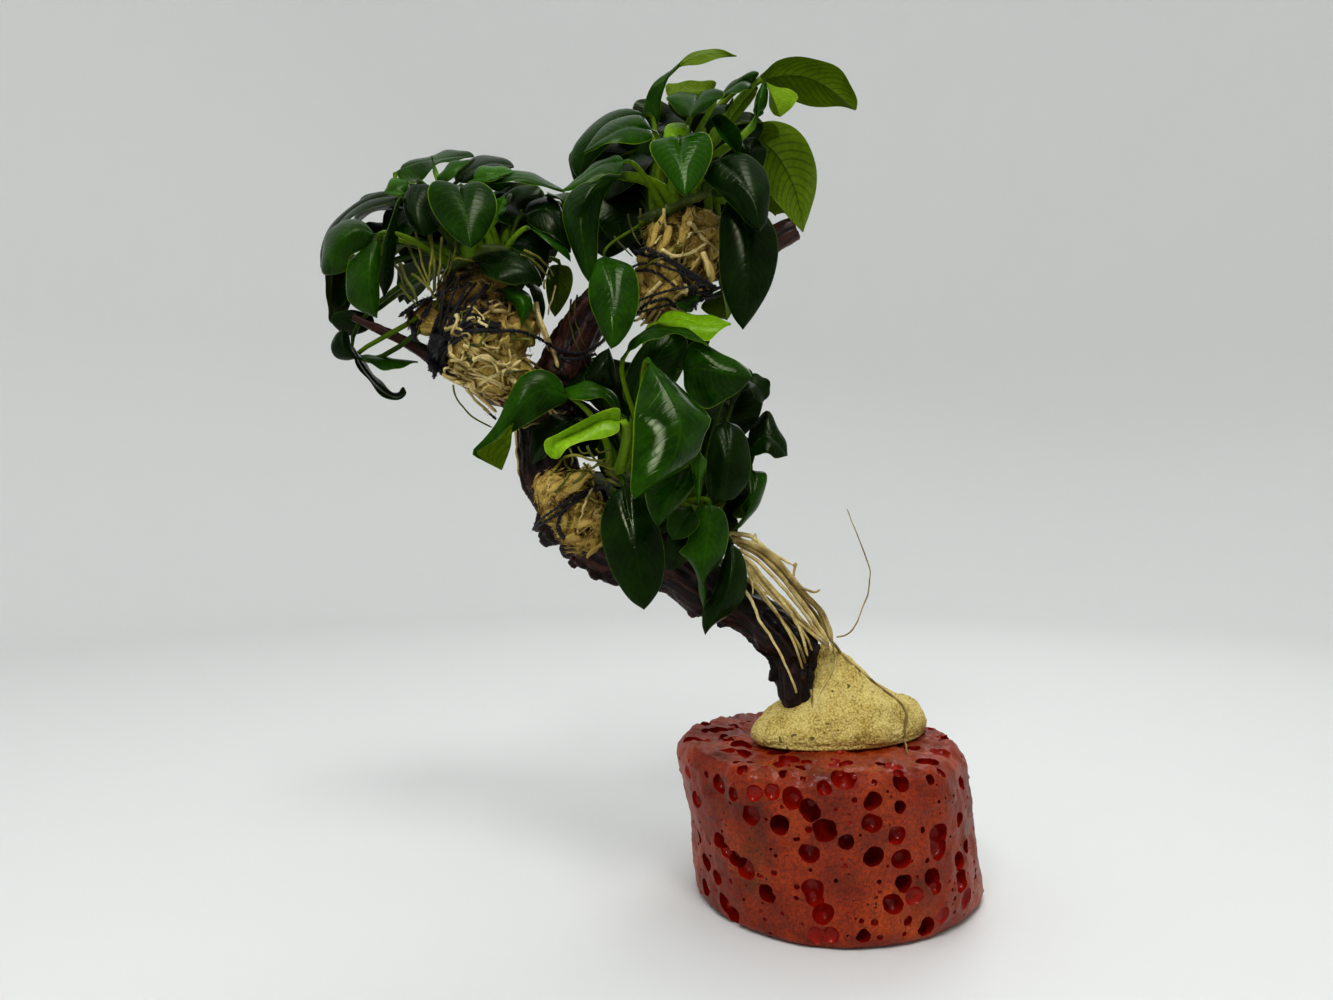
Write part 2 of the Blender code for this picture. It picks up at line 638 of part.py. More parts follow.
def main():
    """Builds every piece of the plant."""
    clear_scene()
    wood = material("driftwood", (0.030, 0.014, 0.013), 0.35)
    stone_look = material("base_stone", (0.27, 0.033, 0.014), 0.45)
    foam_look = material("foam", (0.60, 0.46, 0.19), 0.9)
    wool_look = material("wool", (0.42, 0.28, 0.09), 0.95)
    thread_look = material("thread", (0.006, 0.006, 0.010), 0.85)
    root_look = material("root", (0.66, 0.52, 0.24), 0.6)
    stem_look = material("rhizome", (0.13, 0.16, 0.02), 0.4)
    leaf_look = material("leaf", (0.012, 0.060, 0.006), 0.25)
    young_look = material("young_leaf", (0.17, 0.40, 0.015), 0.3)
    tool = material("cutter", (0.5, 0.5, 0.5), 0.5)

    stone = stone_points(stone_look)
    cut(stone, pit_cutters(stone, tool))

    trunk = limb("driftwood_trunk", TRUNK, wood, steps=1)
    upper = limb("driftwood_upper_branch", UPPER_BRANCH, wood)
    left = limb("driftwood_left_branch", LEFT_BRANCH, wood)
    trunk_room = room("cutter_trunk", TRUNK, tool, steps=1)
    upper_room = room("cutter_upper_branch", UPPER_BRANCH, tool)
    left_room = room("cutter_left_branch", LEFT_BRANCH, tool)
    rhizomes = {
        clump: limb(f"rhizome_{clump}", places, stem_look, sides=RHIZOME_SIDES, rough=0.0)
        for clump, places in RHIZOMES.items()
    }
    left_bed = room("cutter_rhizome_left", RHIZOMES["left"], tool, sides=RHIZOME_SIDES, rough=0.0)
    top_bed = room("cutter_rhizome_top", RHIZOMES["top"], tool, sides=RHIZOME_SIDES, rough=0.0)

    foam = solid("foam_wedge", *foam_body(), foam_look)
    cut(foam, trunk_room)

    left_wool = solid("wool_left", *wrap_of_balls(LEFT_WOOL, 9, 16, 0.10), wool_look)
    for cutter in (left_room, trunk_room, left_bed):
        cut(left_wool, cutter)
    top_wool = solid("wool_top", *wrap_of_balls(TOP_WOOL, 9, 16, 0.10), wool_look)
    for cutter in (upper_room, top_bed):
        cut(top_wool, cutter)
    middle_wool = solid("wool_middle", *wrap_of_balls(MIDDLE_WOOL, 8, 14, 0.10), wool_look)
    cut(middle_wool, trunk_room)

    for leaf in LEAVES:
        solid(leaf.name, *leaf_body(leaf), young_look if leaf.young else leaf_look)

    for name, held, middle, along, width, turns in (
        ("thread_left", (left_wool, left), (437, 348, -2), Vector((1.0, 0.0, -0.1)), 5.0, 3),
        ("thread_top", (top_wool, upper), (640, 288, 3), Vector((1.0, 0.0, 0.15)), 6.0, 3),
        ("thread_middle", (middle_wool, trunk), (572, 516, -2), Vector((1.0, 0.0, -0.9)), 3.0, 2),
    ):
        path = wound(held, seen(*middle), along.normalized(), width, turns, 14, STRAND_RADIUS + TIE_SLACK)
        strand(name, path, thread_look)

    bridge, _ = spline(
        (
            (484, 330, -24, 0),
            (517, 331, -18, 0),
            (538, 340, -12, 0),
            (556, 350, -6, 0),
            (575, 354, -5, 0),
            (594, 350, -4, 0),
            (606, 342, 3, 0),
        ),
        2,
    )
    strand("thread_bridge", bridge, thread_look)

    hanging, thick = spline(
        (
            (742, 548, -4, 1.6),
            (764, 560, -5, 2.6),
            (790, 586, -6, 2.8),
            (812, 612, -6, 2.4),
            (830, 636, -8, 1.6),
        ),
        2,
    )
    solid("hanging_roots", *tube(hanging, thick, 6), root_look)


if __name__ == "__main__":
    main()
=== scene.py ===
"""The looks of an anubias bonsai: dwarf anubias plants tied on driftwood that stands in a drum of red scoria.

Lengths are in millimetres until a mesh is made. A place that the front view shows is written as the pixel
where that view shows it, in a picture of 1333 by 1000 pixels, with its depth behind the stone's middle.
"""

import logging
import math
import random
from dataclasses import dataclass, field, replace
from enum import Enum

import bpy
import numpy as np
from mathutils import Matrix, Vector, noise
from mathutils.bvhtree import BVHTree


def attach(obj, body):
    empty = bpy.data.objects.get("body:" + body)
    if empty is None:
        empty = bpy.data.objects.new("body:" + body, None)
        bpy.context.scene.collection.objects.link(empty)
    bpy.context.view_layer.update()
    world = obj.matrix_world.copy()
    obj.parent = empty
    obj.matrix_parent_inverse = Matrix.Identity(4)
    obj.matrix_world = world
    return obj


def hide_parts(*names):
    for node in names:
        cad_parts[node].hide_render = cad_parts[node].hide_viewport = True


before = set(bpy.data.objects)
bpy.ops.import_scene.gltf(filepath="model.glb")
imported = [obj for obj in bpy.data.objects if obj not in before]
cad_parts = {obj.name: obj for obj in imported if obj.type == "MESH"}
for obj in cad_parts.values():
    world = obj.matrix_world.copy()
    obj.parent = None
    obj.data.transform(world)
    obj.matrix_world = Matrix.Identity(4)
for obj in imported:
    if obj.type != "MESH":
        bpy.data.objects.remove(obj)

MM = 0.001
BODY = "root"
log = logging.getLogger("bonsai")

# Front view: a level sight from EYE (mm), its focal length and middle in pixels
EYE = np.array((-55.5, -333.0, 130.0))
FOCAL = 1000.0
CENTRE = (666.5, 500.0)
PICTURE_WIDTH = 1333.0
SENSOR = 36.0
UP = np.array((0.0, 0.0, 1.0))


# Geometry


def unit(vector: np.ndarray) -> np.ndarray:
    """A vector's direction."""
    return vector / max(float(np.linalg.norm(vector)), 1e-9)


def units(vectors: np.ndarray) -> np.ndarray:
    """The direction of each row's vector."""
    return vectors / np.maximum(np.linalg.norm(vectors, axis=1, keepdims=True), 1e-9)


def square_to(vectors: np.ndarray, along: np.ndarray) -> np.ndarray:
    """Each row's vector without what it has of that row's direction."""
    return vectors - along * np.einsum("ij,ij->i", vectors, along)[:, None]


def seen(u: float, v: float, depth: float) -> np.ndarray:
    """The point in mm that the front view shows at pixel (u, v), at a depth behind the stone's middle."""
    reach = (depth - EYE[1]) / FOCAL
    return np.array((EYE[0] + (u - CENTRE[0]) * reach, depth, EYE[2] - (v - CENTRE[1]) * reach))


def placed(places: tuple) -> np.ndarray:
    """The points of a list of (u, v, depth), with any value that a place carries kept beside it."""
    return np.array([(*seen(*place[:3]), *place[3:]) for place in places])


def through(knots: np.ndarray, steps: int) -> np.ndarray:
    """A smooth curve through knots (Catmull-Rom).

    Args:
        knots: the places, one a row, with any values that they carry.
        steps: the points made for each stretch between two knots.

    Returns:
        The curve's points, one a row.
    """
    ends = np.vstack((knots[0] * 2 - knots[1], knots, knots[-1] * 2 - knots[-2]))
    t = (np.arange(steps) / steps)[:, None]
    runs = []
    for before, start, end, after in zip(ends, ends[1:], ends[2:], ends[3:]):
        bend = before * 2 - start * 5 + end * 4 - after
        rest = start * 3 - before - end * 3 + after
        runs.append(0.5 * (start * 2 + (end - before) * t + bend * t**2 + rest * t**3))
    return np.vstack((*runs, knots[-1:]))


def run_of(path: np.ndarray) -> np.ndarray:
    """How far along a path each of its points is, from its start."""
    return np.concatenate(((0.0,), np.cumsum(np.linalg.norm(np.diff(path[:, :3], axis=0), axis=1))))


def picked(line: np.ndarray, shares: np.ndarray) -> np.ndarray:
    """The places at shares of the length of a line whose points are evenly spaced."""
    even = np.linspace(0.0, 1.0, len(line))
    return np.stack([np.interp(shares, even, column) for column in line.T], axis=1)


def evenly(path: np.ndarray, count: int) -> np.ndarray:
    """The same path with count points at equal distances along it.

    Args:
        path: its points, with any values that they carry.
        count: how many points to make.

    Returns:
        The new points, one a row.
    """
    run = run_of(path)
    wanted = np.linspace(0.0, run[-1], count)
    return np.stack([np.interp(wanted, run, column) for column in path.T], axis=1)


def lattice_noise(places: np.ndarray, seed: int = 0) -> np.ndarray:
    """Smooth noise between -1 and 1 at each place, a unit between its lumps.

    Args:
        places: the places, one a row.
        seed: which pattern it is.

    Returns:
        The value at each place.
    """
    cell = np.floor(places).astype(np.int64)
    share = places - cell
    share = share * share * (3 - 2 * share)
    total = np.zeros(len(places))
    for corner in np.ndindex(2, 2, 2):
        spot = cell + corner
        mixed = spot[:, 0] * 73856093 ^ spot[:, 1] * 19349663 ^ spot[:, 2] * 83492791 ^ (seed + 1) * 668265263
        mixed = (mixed ^ (mixed >> 15)) * 2246822519 & 0xFFFFFFFF
        mixed = (mixed ^ (mixed >> 13)) * 3266489917 & 0xFFFFFFFF
        value = (mixed >> 8) / 8388607.5 - 1
        total += value * np.prod(np.where(corner, share, 1 - share), axis=1)
    return total


def fractal(places: np.ndarray, octaves: int = 3, seed: int = 0) -> np.ndarray:
    """Noise with finer noise added at each octave, about between -1 and 1.

    Args:
        places: the places, one a row.
        octaves: how many noises are added.
        seed: which pattern it is.

    Returns:
        The value at each place.
    """
    total = np.zeros(len(places))
    for octave in range(octaves):
        total += lattice_noise(places * 2.03**octave, seed + octave * 17) * 0.5**octave
    return total


def frames(path: np.ndarray) -> tuple[np.ndarray, np.ndarray, np.ndarray]:
    """The direction, side and upper side at each point of a path, with no twist from one to the next.

    Args:
        path: its points, one a row.

    Returns:
        The three directions, one a row in each.
    """
    along = units(np.gradient(path, axis=0))
    start = np.cross(along[0], UP)
    if np.linalg.norm(start) < 0.1:
        start = np.cross(along[0], (0.0, 1.0, 0.0))
    across = [unit(start)]
    for direction in along[1:]:
        across.append(unit(across[-1] - direction * across[-1].dot(direction)))
    across = np.array(across)
    return along, across, np.cross(along, across)


def loft(rings: np.ndarray) -> tuple[np.ndarray, np.ndarray, np.ndarray]:
    """A closed body whose equal rings follow one another, with a fan of triangles at each end.

    Args:
        rings: the rings' points, as an array of ring by side by three.

    Returns:
        The points, the faces with four corners and the faces with three.
    """
    rows, sides, _ = rings.shape
    points = np.vstack((rings.reshape(-1, 3), rings[0].mean(0), rings[-1].mean(0)))
    side = np.arange(sides)
    row_starts = np.arange(rows - 1)[:, None] * sides
    near = (row_starts + side).ravel()
    far = (row_starts + (side + 1) % sides).ravel()
    quads = np.stack((near, far, far + sides, near + sides), axis=1)
    after = (side + 1) % sides
    last = (rows - 1) * sides
    first_fan = np.stack((after, side, np.full(sides, rows * sides)), axis=1)
    last_fan = np.stack((side + last, after + last, np.full(sides, rows * sides + 1)), axis=1)
    return points, quads, np.vstack((first_fan, last_fan))


def tube(path: np.ndarray, radii: np.ndarray, sides: int, flat: float = 1.0) -> tuple:
    """A round body along a path, or a flat one where flat is under 1.

    Args:
        path: its middle line.
        radii: the radius at each point.
        sides: the corners of a ring.
        flat: the height as a share of the width.

    Returns:
        The closed body.
    """
    _, across, up = frames(path)
    angle = np.arange(sides) * math.tau / sides
    out = across[:, None] * np.cos(angle)[:, None] + up[:, None] * np.sin(angle)[:, None] * flat
    return loft(path[:, None] + out * np.broadcast_to(radii, len(path))[:, None, None])


@dataclass
class Shape:
    """A mesh while it is being put together from closed bodies."""

    bodies: list[tuple] = field(default_factory=list)
    count: int = 0

    def add(self, body: tuple, slot: int = 0, **values: np.ndarray | float) -> None:
        """Adds a closed body, its faces turned out.

        Args:
            body: its points, its faces with four corners and its faces with three.
            slot: the number of the material that it takes.
            values: one number a point, or one for all, for each named attribute.
        """
        points, quads, tris = body
        fans = np.vstack((quads[:, :3], quads[:, (0, 2, 3)], tris))
        a, b, c = (points[fans[:, corner]] for corner in range(3))
        if np.einsum("ij,ij->i", a, np.cross(b, c)).sum() < 0:
            quads, tris = quads[:, ::-1], tris[:, ::-1]
        values = {name: np.broadcast_to(value, len(points)) for name, value in values.items()}
        self.bodies.append((points, quads + self.count, tris + self.count, slot, values))
        self.count += len(points)

    def make(self, name: str, *looks: bpy.types.Material, sharp: float = 60.0) -> bpy.types.Object:
        """An object in metres with what has been added.

        Args:
            name: the object's name.
            looks: its materials, in the order of the slots.
            sharp: the angle in degrees over which an edge isn't shaded smooth.

        Returns:
            The new object.
        """
        mesh = bpy.data.meshes.new(name)
        points = np.vstack([body[0] for body in self.bodies]) * MM
        quads = np.vstack([body[1] for body in self.bodies])
        tris = np.vstack([body[2] for body in self.bodies])
        mesh.vertices.add(len(points))
        mesh.vertices.foreach_set("co", points.astype(np.float32).ravel())
        corners = np.concatenate((quads.ravel(), tris.ravel()))
        mesh.loops.add(len(corners))
        mesh.loops.foreach_set("vertex_index", corners.astype(np.int32))
        starts = np.concatenate((np.arange(len(quads)) * 4, len(quads) * 4 + np.arange(len(tris)) * 3))
        mesh.polygons.add(len(starts))
        mesh.polygons.foreach_set("loop_start", starts.astype(np.int32))
        slots = [np.full(len(body[face]), body[3]) for face in (1, 2) for body in self.bodies]
        mesh.polygons.foreach_set("material_index", np.concatenate(slots).astype(np.int32))
        for attribute in sorted({key for body in self.bodies for key in body[4]}):
            parts = [body[4].get(attribute, np.zeros(len(body[0]))) for body in self.bodies]
            stored = mesh.attributes.new(attribute, "FLOAT", "POINT")
            stored.data.foreach_set("value", np.concatenate(parts).astype(np.float32))
        mesh.update(calc_edges=True)
        mesh.shade_smooth()
        mesh.set_sharp_from_angle(angle=math.radians(sharp))
        for look in looks:
            mesh.materials.append(look)
        made = bpy.data.objects.new(name, mesh)
        bpy.context.scene.collection.objects.link(made)
        return made


def applied(made: bpy.types.Object) -> bpy.types.Object:
    """The same object with its modifiers' result as its own mesh.

    Args:
        made: the object.

    Returns:
        The object.
    """
    graph = bpy.context.evaluated_depsgraph_get()
    mesh = bpy.data.meshes.new_from_object(made.evaluated_get(graph))
    old = made.data
    made.modifiers.clear()
    made.data = mesh
    mesh.name = made.name
    bpy.data.meshes.remove(old)
    return made


def points_of(made: bpy.types.Object) -> np.ndarray:
    """An object's points, in mm.

    Args:
        made: the object.

    Returns:
        The points, one a row.
    """
    places = np.empty(len(made.data.vertices) * 3, np.float32)
    made.data.vertices.foreach_get("co", places)
    return places.reshape(-1, 3).astype(float) / MM


def move_points(made: bpy.types.Object, places: np.ndarray) -> None:
    """Puts an object's points at places in mm."""
    made.data.vertices.foreach_set("co", (places * MM).astype(np.float32).ravel())
    made.data.update()


def normals_of(made: bpy.types.Object) -> np.ndarray:
    """The direction out of the surface at each of an object's points.

    Args:
        made: the object.

    Returns:
        The directions, one a row.
    """
    out = np.empty(len(made.data.vertices) * 3, np.float32)
    made.data.vertex_normals.foreach_get("vector", out)
    return out.reshape(-1, 3).astype(float)


def surface_of(*objects: bpy.types.Object) -> BVHTree:
    """A tree of the objects' faces, in mm, for finding where a line meets them.

    Args:
        objects: the objects whose faces it holds.

    Returns:
        The tree.
    """
    points: list[np.ndarray] = []
    faces: list[list[int]] = []
    for made in objects:
        start = sum(len(part) for part in points)
        points.append(points_of(made))
        faces.extend([start + index for index in face.vertices] for face in made.data.polygons)
    return BVHTree.FromPolygons(np.vstack(points).tolist(), faces)


def draped(places: tuple, onto: BVHTree, lift: float, steps: int = 6) -> np.ndarray:
    """A curve of the front view laid on what the view shows behind it.

    Args:
        places: (u, v, depth) of its knots, whose depth is used where nothing is behind.
        onto: the surfaces that it lies on.
        lift: how far in front of the surface it is, in mm.
        steps: the points made for each stretch between two knots.

    Returns:
        The points, one a row.
    """
    curve = through(np.array([place[:3] for place in places], float), steps)
    for place in curve:
        ray = Vector(seen(*place) - EYE).normalized()
        hit, _, _, _ = onto.ray_cast(Vector(EYE), ray)
        if hit is not None and abs(hit.y - place[2]) < 14.0:
            place[2] = hit.y - lift
    for _ in range(2):
        curve[1:-1, 2] = (curve[:-2, 2] + curve[1:-1, 2] * 2 + curve[2:, 2]) / 4
    return np.array([seen(*place) for place in curve])


def pixel_of(place: np.ndarray) -> tuple[float, float]:
    """The pixel at which the front view shows a place."""
    reach = (place[1] - EYE[1]) / FOCAL
    return CENTRE[0] + (place[0] - EYE[0]) / reach, CENTRE[1] - (place[2] - EYE[2]) / reach


def strip(path: np.ndarray, looks: np.ndarray, halves: np.ndarray, thick: float) -> tuple:
    """A thin body like a ribbon along a path.

    Args:
        path: its middle line.
        looks: the direction that its face looks in, at each point.
        halves: how far it goes to each side, as two columns.
        thick: its thickness.

    Returns:
        The closed body.
    """
    along, _, _ = frames(path)
    side = units(np.cross(along, looks))
    up = np.cross(side, along)
    rings = []
    for across, face in ((1, 0), (0.55, 1), (0, 1), (-0.55, 1), (-1, 0), (-0.55, -1), (0, -1), (0.55, -1)):
        half = halves[:, :1] if across > 0 else halves[:, 1:]
        rings.append(path + side * across * half + up * (face * thick / 2))
    return loft(np.stack(rings, axis=1))


# Finishes


def paint(code: str) -> tuple[float, float, float, float]:
    """A colour written as sRGB hex, turned to the linear numbers that a shader takes.

    Args:
        code: the hex colour, such as #a1b2c3.

    Returns:
        Red, green, blue and an alpha of one.
    """
    parts = [int(code[index : index + 2], 16) / 255 for index in (1, 3, 5)]
    linear = [part / 12.92 if part <= 0.04045 else ((part + 0.055) / 1.055) ** 2.4 for part in parts]
    return (linear[0], linear[1], linear[2], 1.0)


Socket = bpy.types.NodeSocket
Value = float | str | Socket


@dataclass
class Recipe:
    """A material while its nodes are being put together. Sizes are in mm, and colours are sRGB hex."""

    name: str

    def __post_init__(self) -> None:
        """Makes the material, with only the place on the object in it."""
        self.material = bpy.data.materials.new(self.name)
        self.material.use_nodes = True
        self.tree = self.material.node_tree
        self.tree.nodes.clear()
        self.place = self.add("TexCoord", out="Object")

    def add(self, kind: str, inputs: dict | None = None, out: int | str = 0, **settings) -> Socket | None:
        """Adds a node with its settings and links.

        Args:
            kind: the node's type, without the word ShaderNode.
            inputs: a number, a hex colour or another node's output for each input, by name or place.
            out: the output that is wanted.
            settings: the node's own settings; stops is a ramp's list of (place, colour).

        Returns:
            The output.
        """
        made = self.tree.nodes.new("ShaderNode" + kind)
        for place, (where, colour) in enumerate(settings.pop("stops", ())):
            ramp = made.color_ramp.elements
            stop = ramp[place] if place < 2 else ramp.new(where)
            stop.position = where
            stop.color = paint(colour)
        for setting, value in settings.items():
            setattr(made, setting, value)
        for place, value in (inputs or {}).items():
            if isinstance(value, bpy.types.NodeSocket):
                self.tree.links.new(value, made.inputs[place])
            else:
                made.inputs[place].default_value = paint(value) if isinstance(value, str) else value
        return made.outputs[out] if len(made.outputs) else None

    def stored(self, name: str) -> Socket:
        """The numbers that the mesh stores under a name."""
        return self.add("Attribute", attribute_name=name, out="Fac")

    def noise(self, size: float, detail: float, roughness: float = 0.5, distortion: float = 0.0) -> Socket:
        """Soft noise whose lumps are size apart."""
        return self.add("TexNoise", {"Vector": self.place, "Scale": 1.0 / (size * MM), "Detail": detail,
                                     "Roughness": roughness, "Distortion": distortion}, out="Fac")

    def cells(self, size: float) -> Socket:
        """How far each place is from the middle of its cell, the cells size apart."""
        return self.add("TexVoronoi", {"Vector": self.place, "Scale": 1.0 / (size * MM)}, out="Distance")

    def math(self, operation: str, *values: Value) -> Socket:
        """A sum, product or other result of up to three values."""
        return self.add("Math", dict(enumerate(values)), operation=operation)

    def remap(self, *values: Value, smooth: bool = False) -> Socket:
        """A value moved from one range to another: the value, the first range's ends and the second's."""
        kind = "SMOOTHSTEP" if smooth else "LINEAR"
        return self.add("MapRange", dict(enumerate(values)), interpolation_type=kind)

    def mix(self, share: Value, under: Value, over: Value) -> Socket:
        """One colour laid over another by a share."""
        return self.add("Mix", {0: share, 6: under, 7: over}, data_type="RGBA", out=2)

    def shaded(self, colour: Socket, shade: Socket) -> Socket:
        """A colour made darker or lighter by a factor."""
        return self.add("Mix", {0: 1.0, 6: colour, 7: shade}, data_type="RGBA", blend_type="MULTIPLY", out=2)

    def between(self, share: Socket, first: Value, second: Value) -> Socket:
        """The number at a share of the way between two."""
        return self.add("Mix", {0: share, 2: first, 3: second}, out=0)

    def ramp(self, value: Socket, *stops: tuple[float, str]) -> Socket:
        """A colour for each value, between the stops' colours."""
        return self.add("ValToRGB", {0: value}, stops=stops)

    def bump(self, height: Socket, strength: float, depth: float) -> Socket:
        """Small relief, depth deep where it is strongest."""
        return self.add("Bump", {"Strength": strength, "Distance": depth * MM, "Height": height})

    def finish(self, surface: dict[str, Value]) -> bpy.types.Material:
        """Ends the tree with its surface and gives the material."""
        self.add("OutputMaterial", {"Surface": self.add("BsdfPrincipled", surface)})
        return self.material


class LeafAge(Enum):
    """How old a leaf is, which sets its colour. The old finish is also darkened with painted shade, for the
    leaves that lie in shadow.
    """

    YOUNG = "young"
    FRESH = "fresh"
    GROWN = "grown"
    OLD = "old"


@dataclass(frozen=True)
class LeafFinish:
    """Living anubias leaf, grown wet: a waxy cuticle over deep green tissue.

    The wax gives a broad soft gleam, and films of water on it give small sharp ones. The underside has no
    wax: it is olive and dull, with darker veins that leave the midrib and curve towards the tip. Its olive is
    partly its own paler colour and partly painted light, for the light that shines through the blade.
    """

    name: str
    deep: str
    fresh: str
    vein: str
    margin: str
    under: str
    under_deep: str
    under_vein: str
    stalk: str
    gleam: float = 0.22
    veins: float = 13.0
    fine_veins: float = 52.0

    def material(self) -> bpy.types.Material:
        """Builds the material.

        Returns:
            The material.
        """
        r = Recipe(self.name)
        across = r.stored("across")
        along = r.stored("along")
        under = r.stored("under")
        vein = r.stored("vein")
        tone = r.stored("tone")
        wet = r.stored("wet")
        side = r.math("ABSOLUTE", across)

        # Lateral veins about 2.5 mm apart, with finer ones between
        turns = r.math("MULTIPLY", vein, self.veins * math.tau)
        wave = r.math("SINE", turns)
        lines = r.remap(wave, 0.55, 1.0, 0.0, 1.0, smooth=True)
        turns = r.math("MULTIPLY", vein, self.fine_veins * math.tau)
        fine = r.math("SINE", turns)
        rib = r.remap(side, 0.0, 0.055, 1.0, 0.0, smooth=True)
        inner = r.remap(side, 0.7, 1.0, 1.0, 0.25)
        lines = r.math("MULTIPLY", lines, inner)

        # Patches of older and fresher tissue, 9 mm and 1.3 mm across
        broad = r.noise(9.0, 3.0)
        small = r.noise(1.3, 2.0)
        shade = r.math("ADD", broad, tone)
        shade = r.remap(shade, 0.3, 0.95, 0.0, 1.0, smooth=True)
        upper = r.mix(shade, self.deep, self.fresh)
        faint = r.math("MULTIPLY", lines, 0.10)
        upper = r.mix(faint, upper, self.vein)
        faint = r.math("MULTIPLY", rib, 0.22)
        upper = r.mix(faint, upper, self.vein)
        edge = r.remap(side, 0.955, 1.0, 0.0, 0.8, smooth=True)
        upper = r.mix(edge, upper, self.margin)

        # The underside's olive: partly its own paler colour, partly painted light for the light that shines
        # through the blade
        lower = r.mix(broad, self.under_deep, self.under)
        drawn = r.math("MULTIPLY", lines, 0.55)
        lower = r.mix(drawn, lower, self.under_vein)
        drawn = r.math("MULTIPLY", rib, 0.8)
        lower = r.mix(drawn, lower, self.under_vein)
        colour = r.mix(under, upper, lower)
        blade = r.remap(along, -0.12, 0.015, 0.0, 1.0)
        colour = r.mix(blade, self.stalk, colour)
        mottle = r.remap(small, 0.3, 0.7, 0.82, 1.12)
        colour = r.shaded(colour, mottle)

        # Films of water a few millimetres across, on the leaves that are wet
        film = r.noise(8.0, 3.0, distortion=0.6)
        film = r.math("ADD", film, wet)
        film = r.remap(film, 0.92, 0.98, 0.0, 1.0)
        rough = r.remap(broad, 0.3, 0.7, self.gleam - 0.04, self.gleam + 0.06)
        rough = r.between(film, rough, 0.07)
        rough = r.between(under, rough, 0.55)

        relief = r.math("MULTIPLY", lines, -0.5)
        relief = r.math("MULTIPLY_ADD", fine, 0.06, relief)
        relief = r.math("MULTIPLY_ADD", small, 0.3, relief)
        bump = r.bump(relief, 0.25, 0.22)
        return r.finish({
            "Base Color": colour, "Roughness": rough, "Normal": bump, "IOR": 1.4, "Specular IOR Level": 0.24,
            "Specular Tint": "#dfe6c4",
        })


GROWN_LEAF = LeafFinish(
    "grown_leaf", deep="#102c00", fresh="#275000", vein="#3d6408", margin="#6f921a",
    under="#5f7800", under_deep="#465a00", under_vein="#243400", stalk="#566f08",
)
# The old finish: the dark green of old leaves, darkened further with painted shade, as it is given to leaves
# that lie in shadow
OLD_SHADED_LEAF = replace(
    GROWN_LEAF, name="old_shaded_leaf", deep="#081a01", fresh="#142d03", vein="#213d0a", margin="#4a6618",
    under="#27340a", under_deep="#182205", under_vein="#0d1404", stalk="#33480c",
)
FRESH_LEAF = replace(
    GROWN_LEAF, name="fresh_leaf", deep="#1f4500", fresh="#386604", vein="#568212", margin="#8fa92a",
    under="#647a10", under_deep="#4c600c", under_vein="#33420a", stalk="#62801a", gleam=0.18,
)
YOUNG_LEAF = replace(
    GROWN_LEAF, name="young_leaf", deep="#6a9410", fresh="#93ba28", vein="#a9c63e", margin="#bcd252",
    under="#7c9a1c", under_deep="#5f7c12", under_vein="#4a6410", stalk="#6b8a20", gleam=0.16,
)


@dataclass(frozen=True)
class DriftwoodFinish:
    """Bog wood, worn by water and soaked: the soft wood is gone and hard ridges are left.

    It is nearly black in its grooves and red-brown on its ridges: partly the worn wood's own colour, partly
    painted shade in the grooves and painted light on the ridges. It has a satin gleam along the grain.
    """

    name: str = "driftwood"
    dark: str = "#060303"
    body: str = "#120a08"
    ridge: str = "#291611"
    bark: str = "#43241a"

    def material(self) -> bpy.types.Material:
        """Builds the material.

        Returns:
            The material.
        """
        r = Recipe(self.name)
        grain_x = r.stored("grain_x")
        grain_y = r.stored("grain_y")
        grain_z = r.stored("grain_z")
        height = r.stored("ridge")
        bare = r.stored("bare")
        grain = r.add("CombineXYZ", {0: grain_x, 1: grain_y, 2: grain_z})

        # Grain lines 0.7 mm apart, ten times as long; the coordinates come in mm
        fine = r.add("TexNoise", {"Vector": grain, "Scale": 1.4, "Detail": 4.0, "Roughness": 0.6}, out="Fac")
        broad = r.add("TexNoise", {"Vector": grain, "Scale": 0.3, "Detail": 3.0}, out="Fac")
        patch = r.noise(11.0, 4.0)
        # Painted shade and light, with the worn wood's own tones: darker low in the grooves, lighter high on
        # the ridges and where the wood is bare
        ridge_light_and_bare = r.math("MULTIPLY_ADD", height, 0.55, broad)
        ridge_light_and_bare = r.math("MULTIPLY_ADD", bare, 0.5, ridge_light_and_bare)
        colour = r.ramp(ridge_light_and_bare, (0.25, self.dark), (0.55, self.body), (0.85, self.ridge), (1.0, self.bark))
        streak = r.remap(fine, 0.32, 0.68, 0.45, 1.45)
        colour = r.shaded(colour, streak)
        rough = r.remap(patch, 0.35, 0.65, 0.22, 0.5)
        relief = r.math("MULTIPLY_ADD", fine, 0.8, broad)
        bump = r.bump(relief, 0.7, 0.5)
        return r.finish({
            "Base Color": colour, "Roughness": rough, "Normal": bump, "IOR": 1.5, "Specular IOR Level": 0.2,
            "Coat Weight": 0.06, "Coat Roughness": 0.15, "Coat IOR": 1.33,
        })


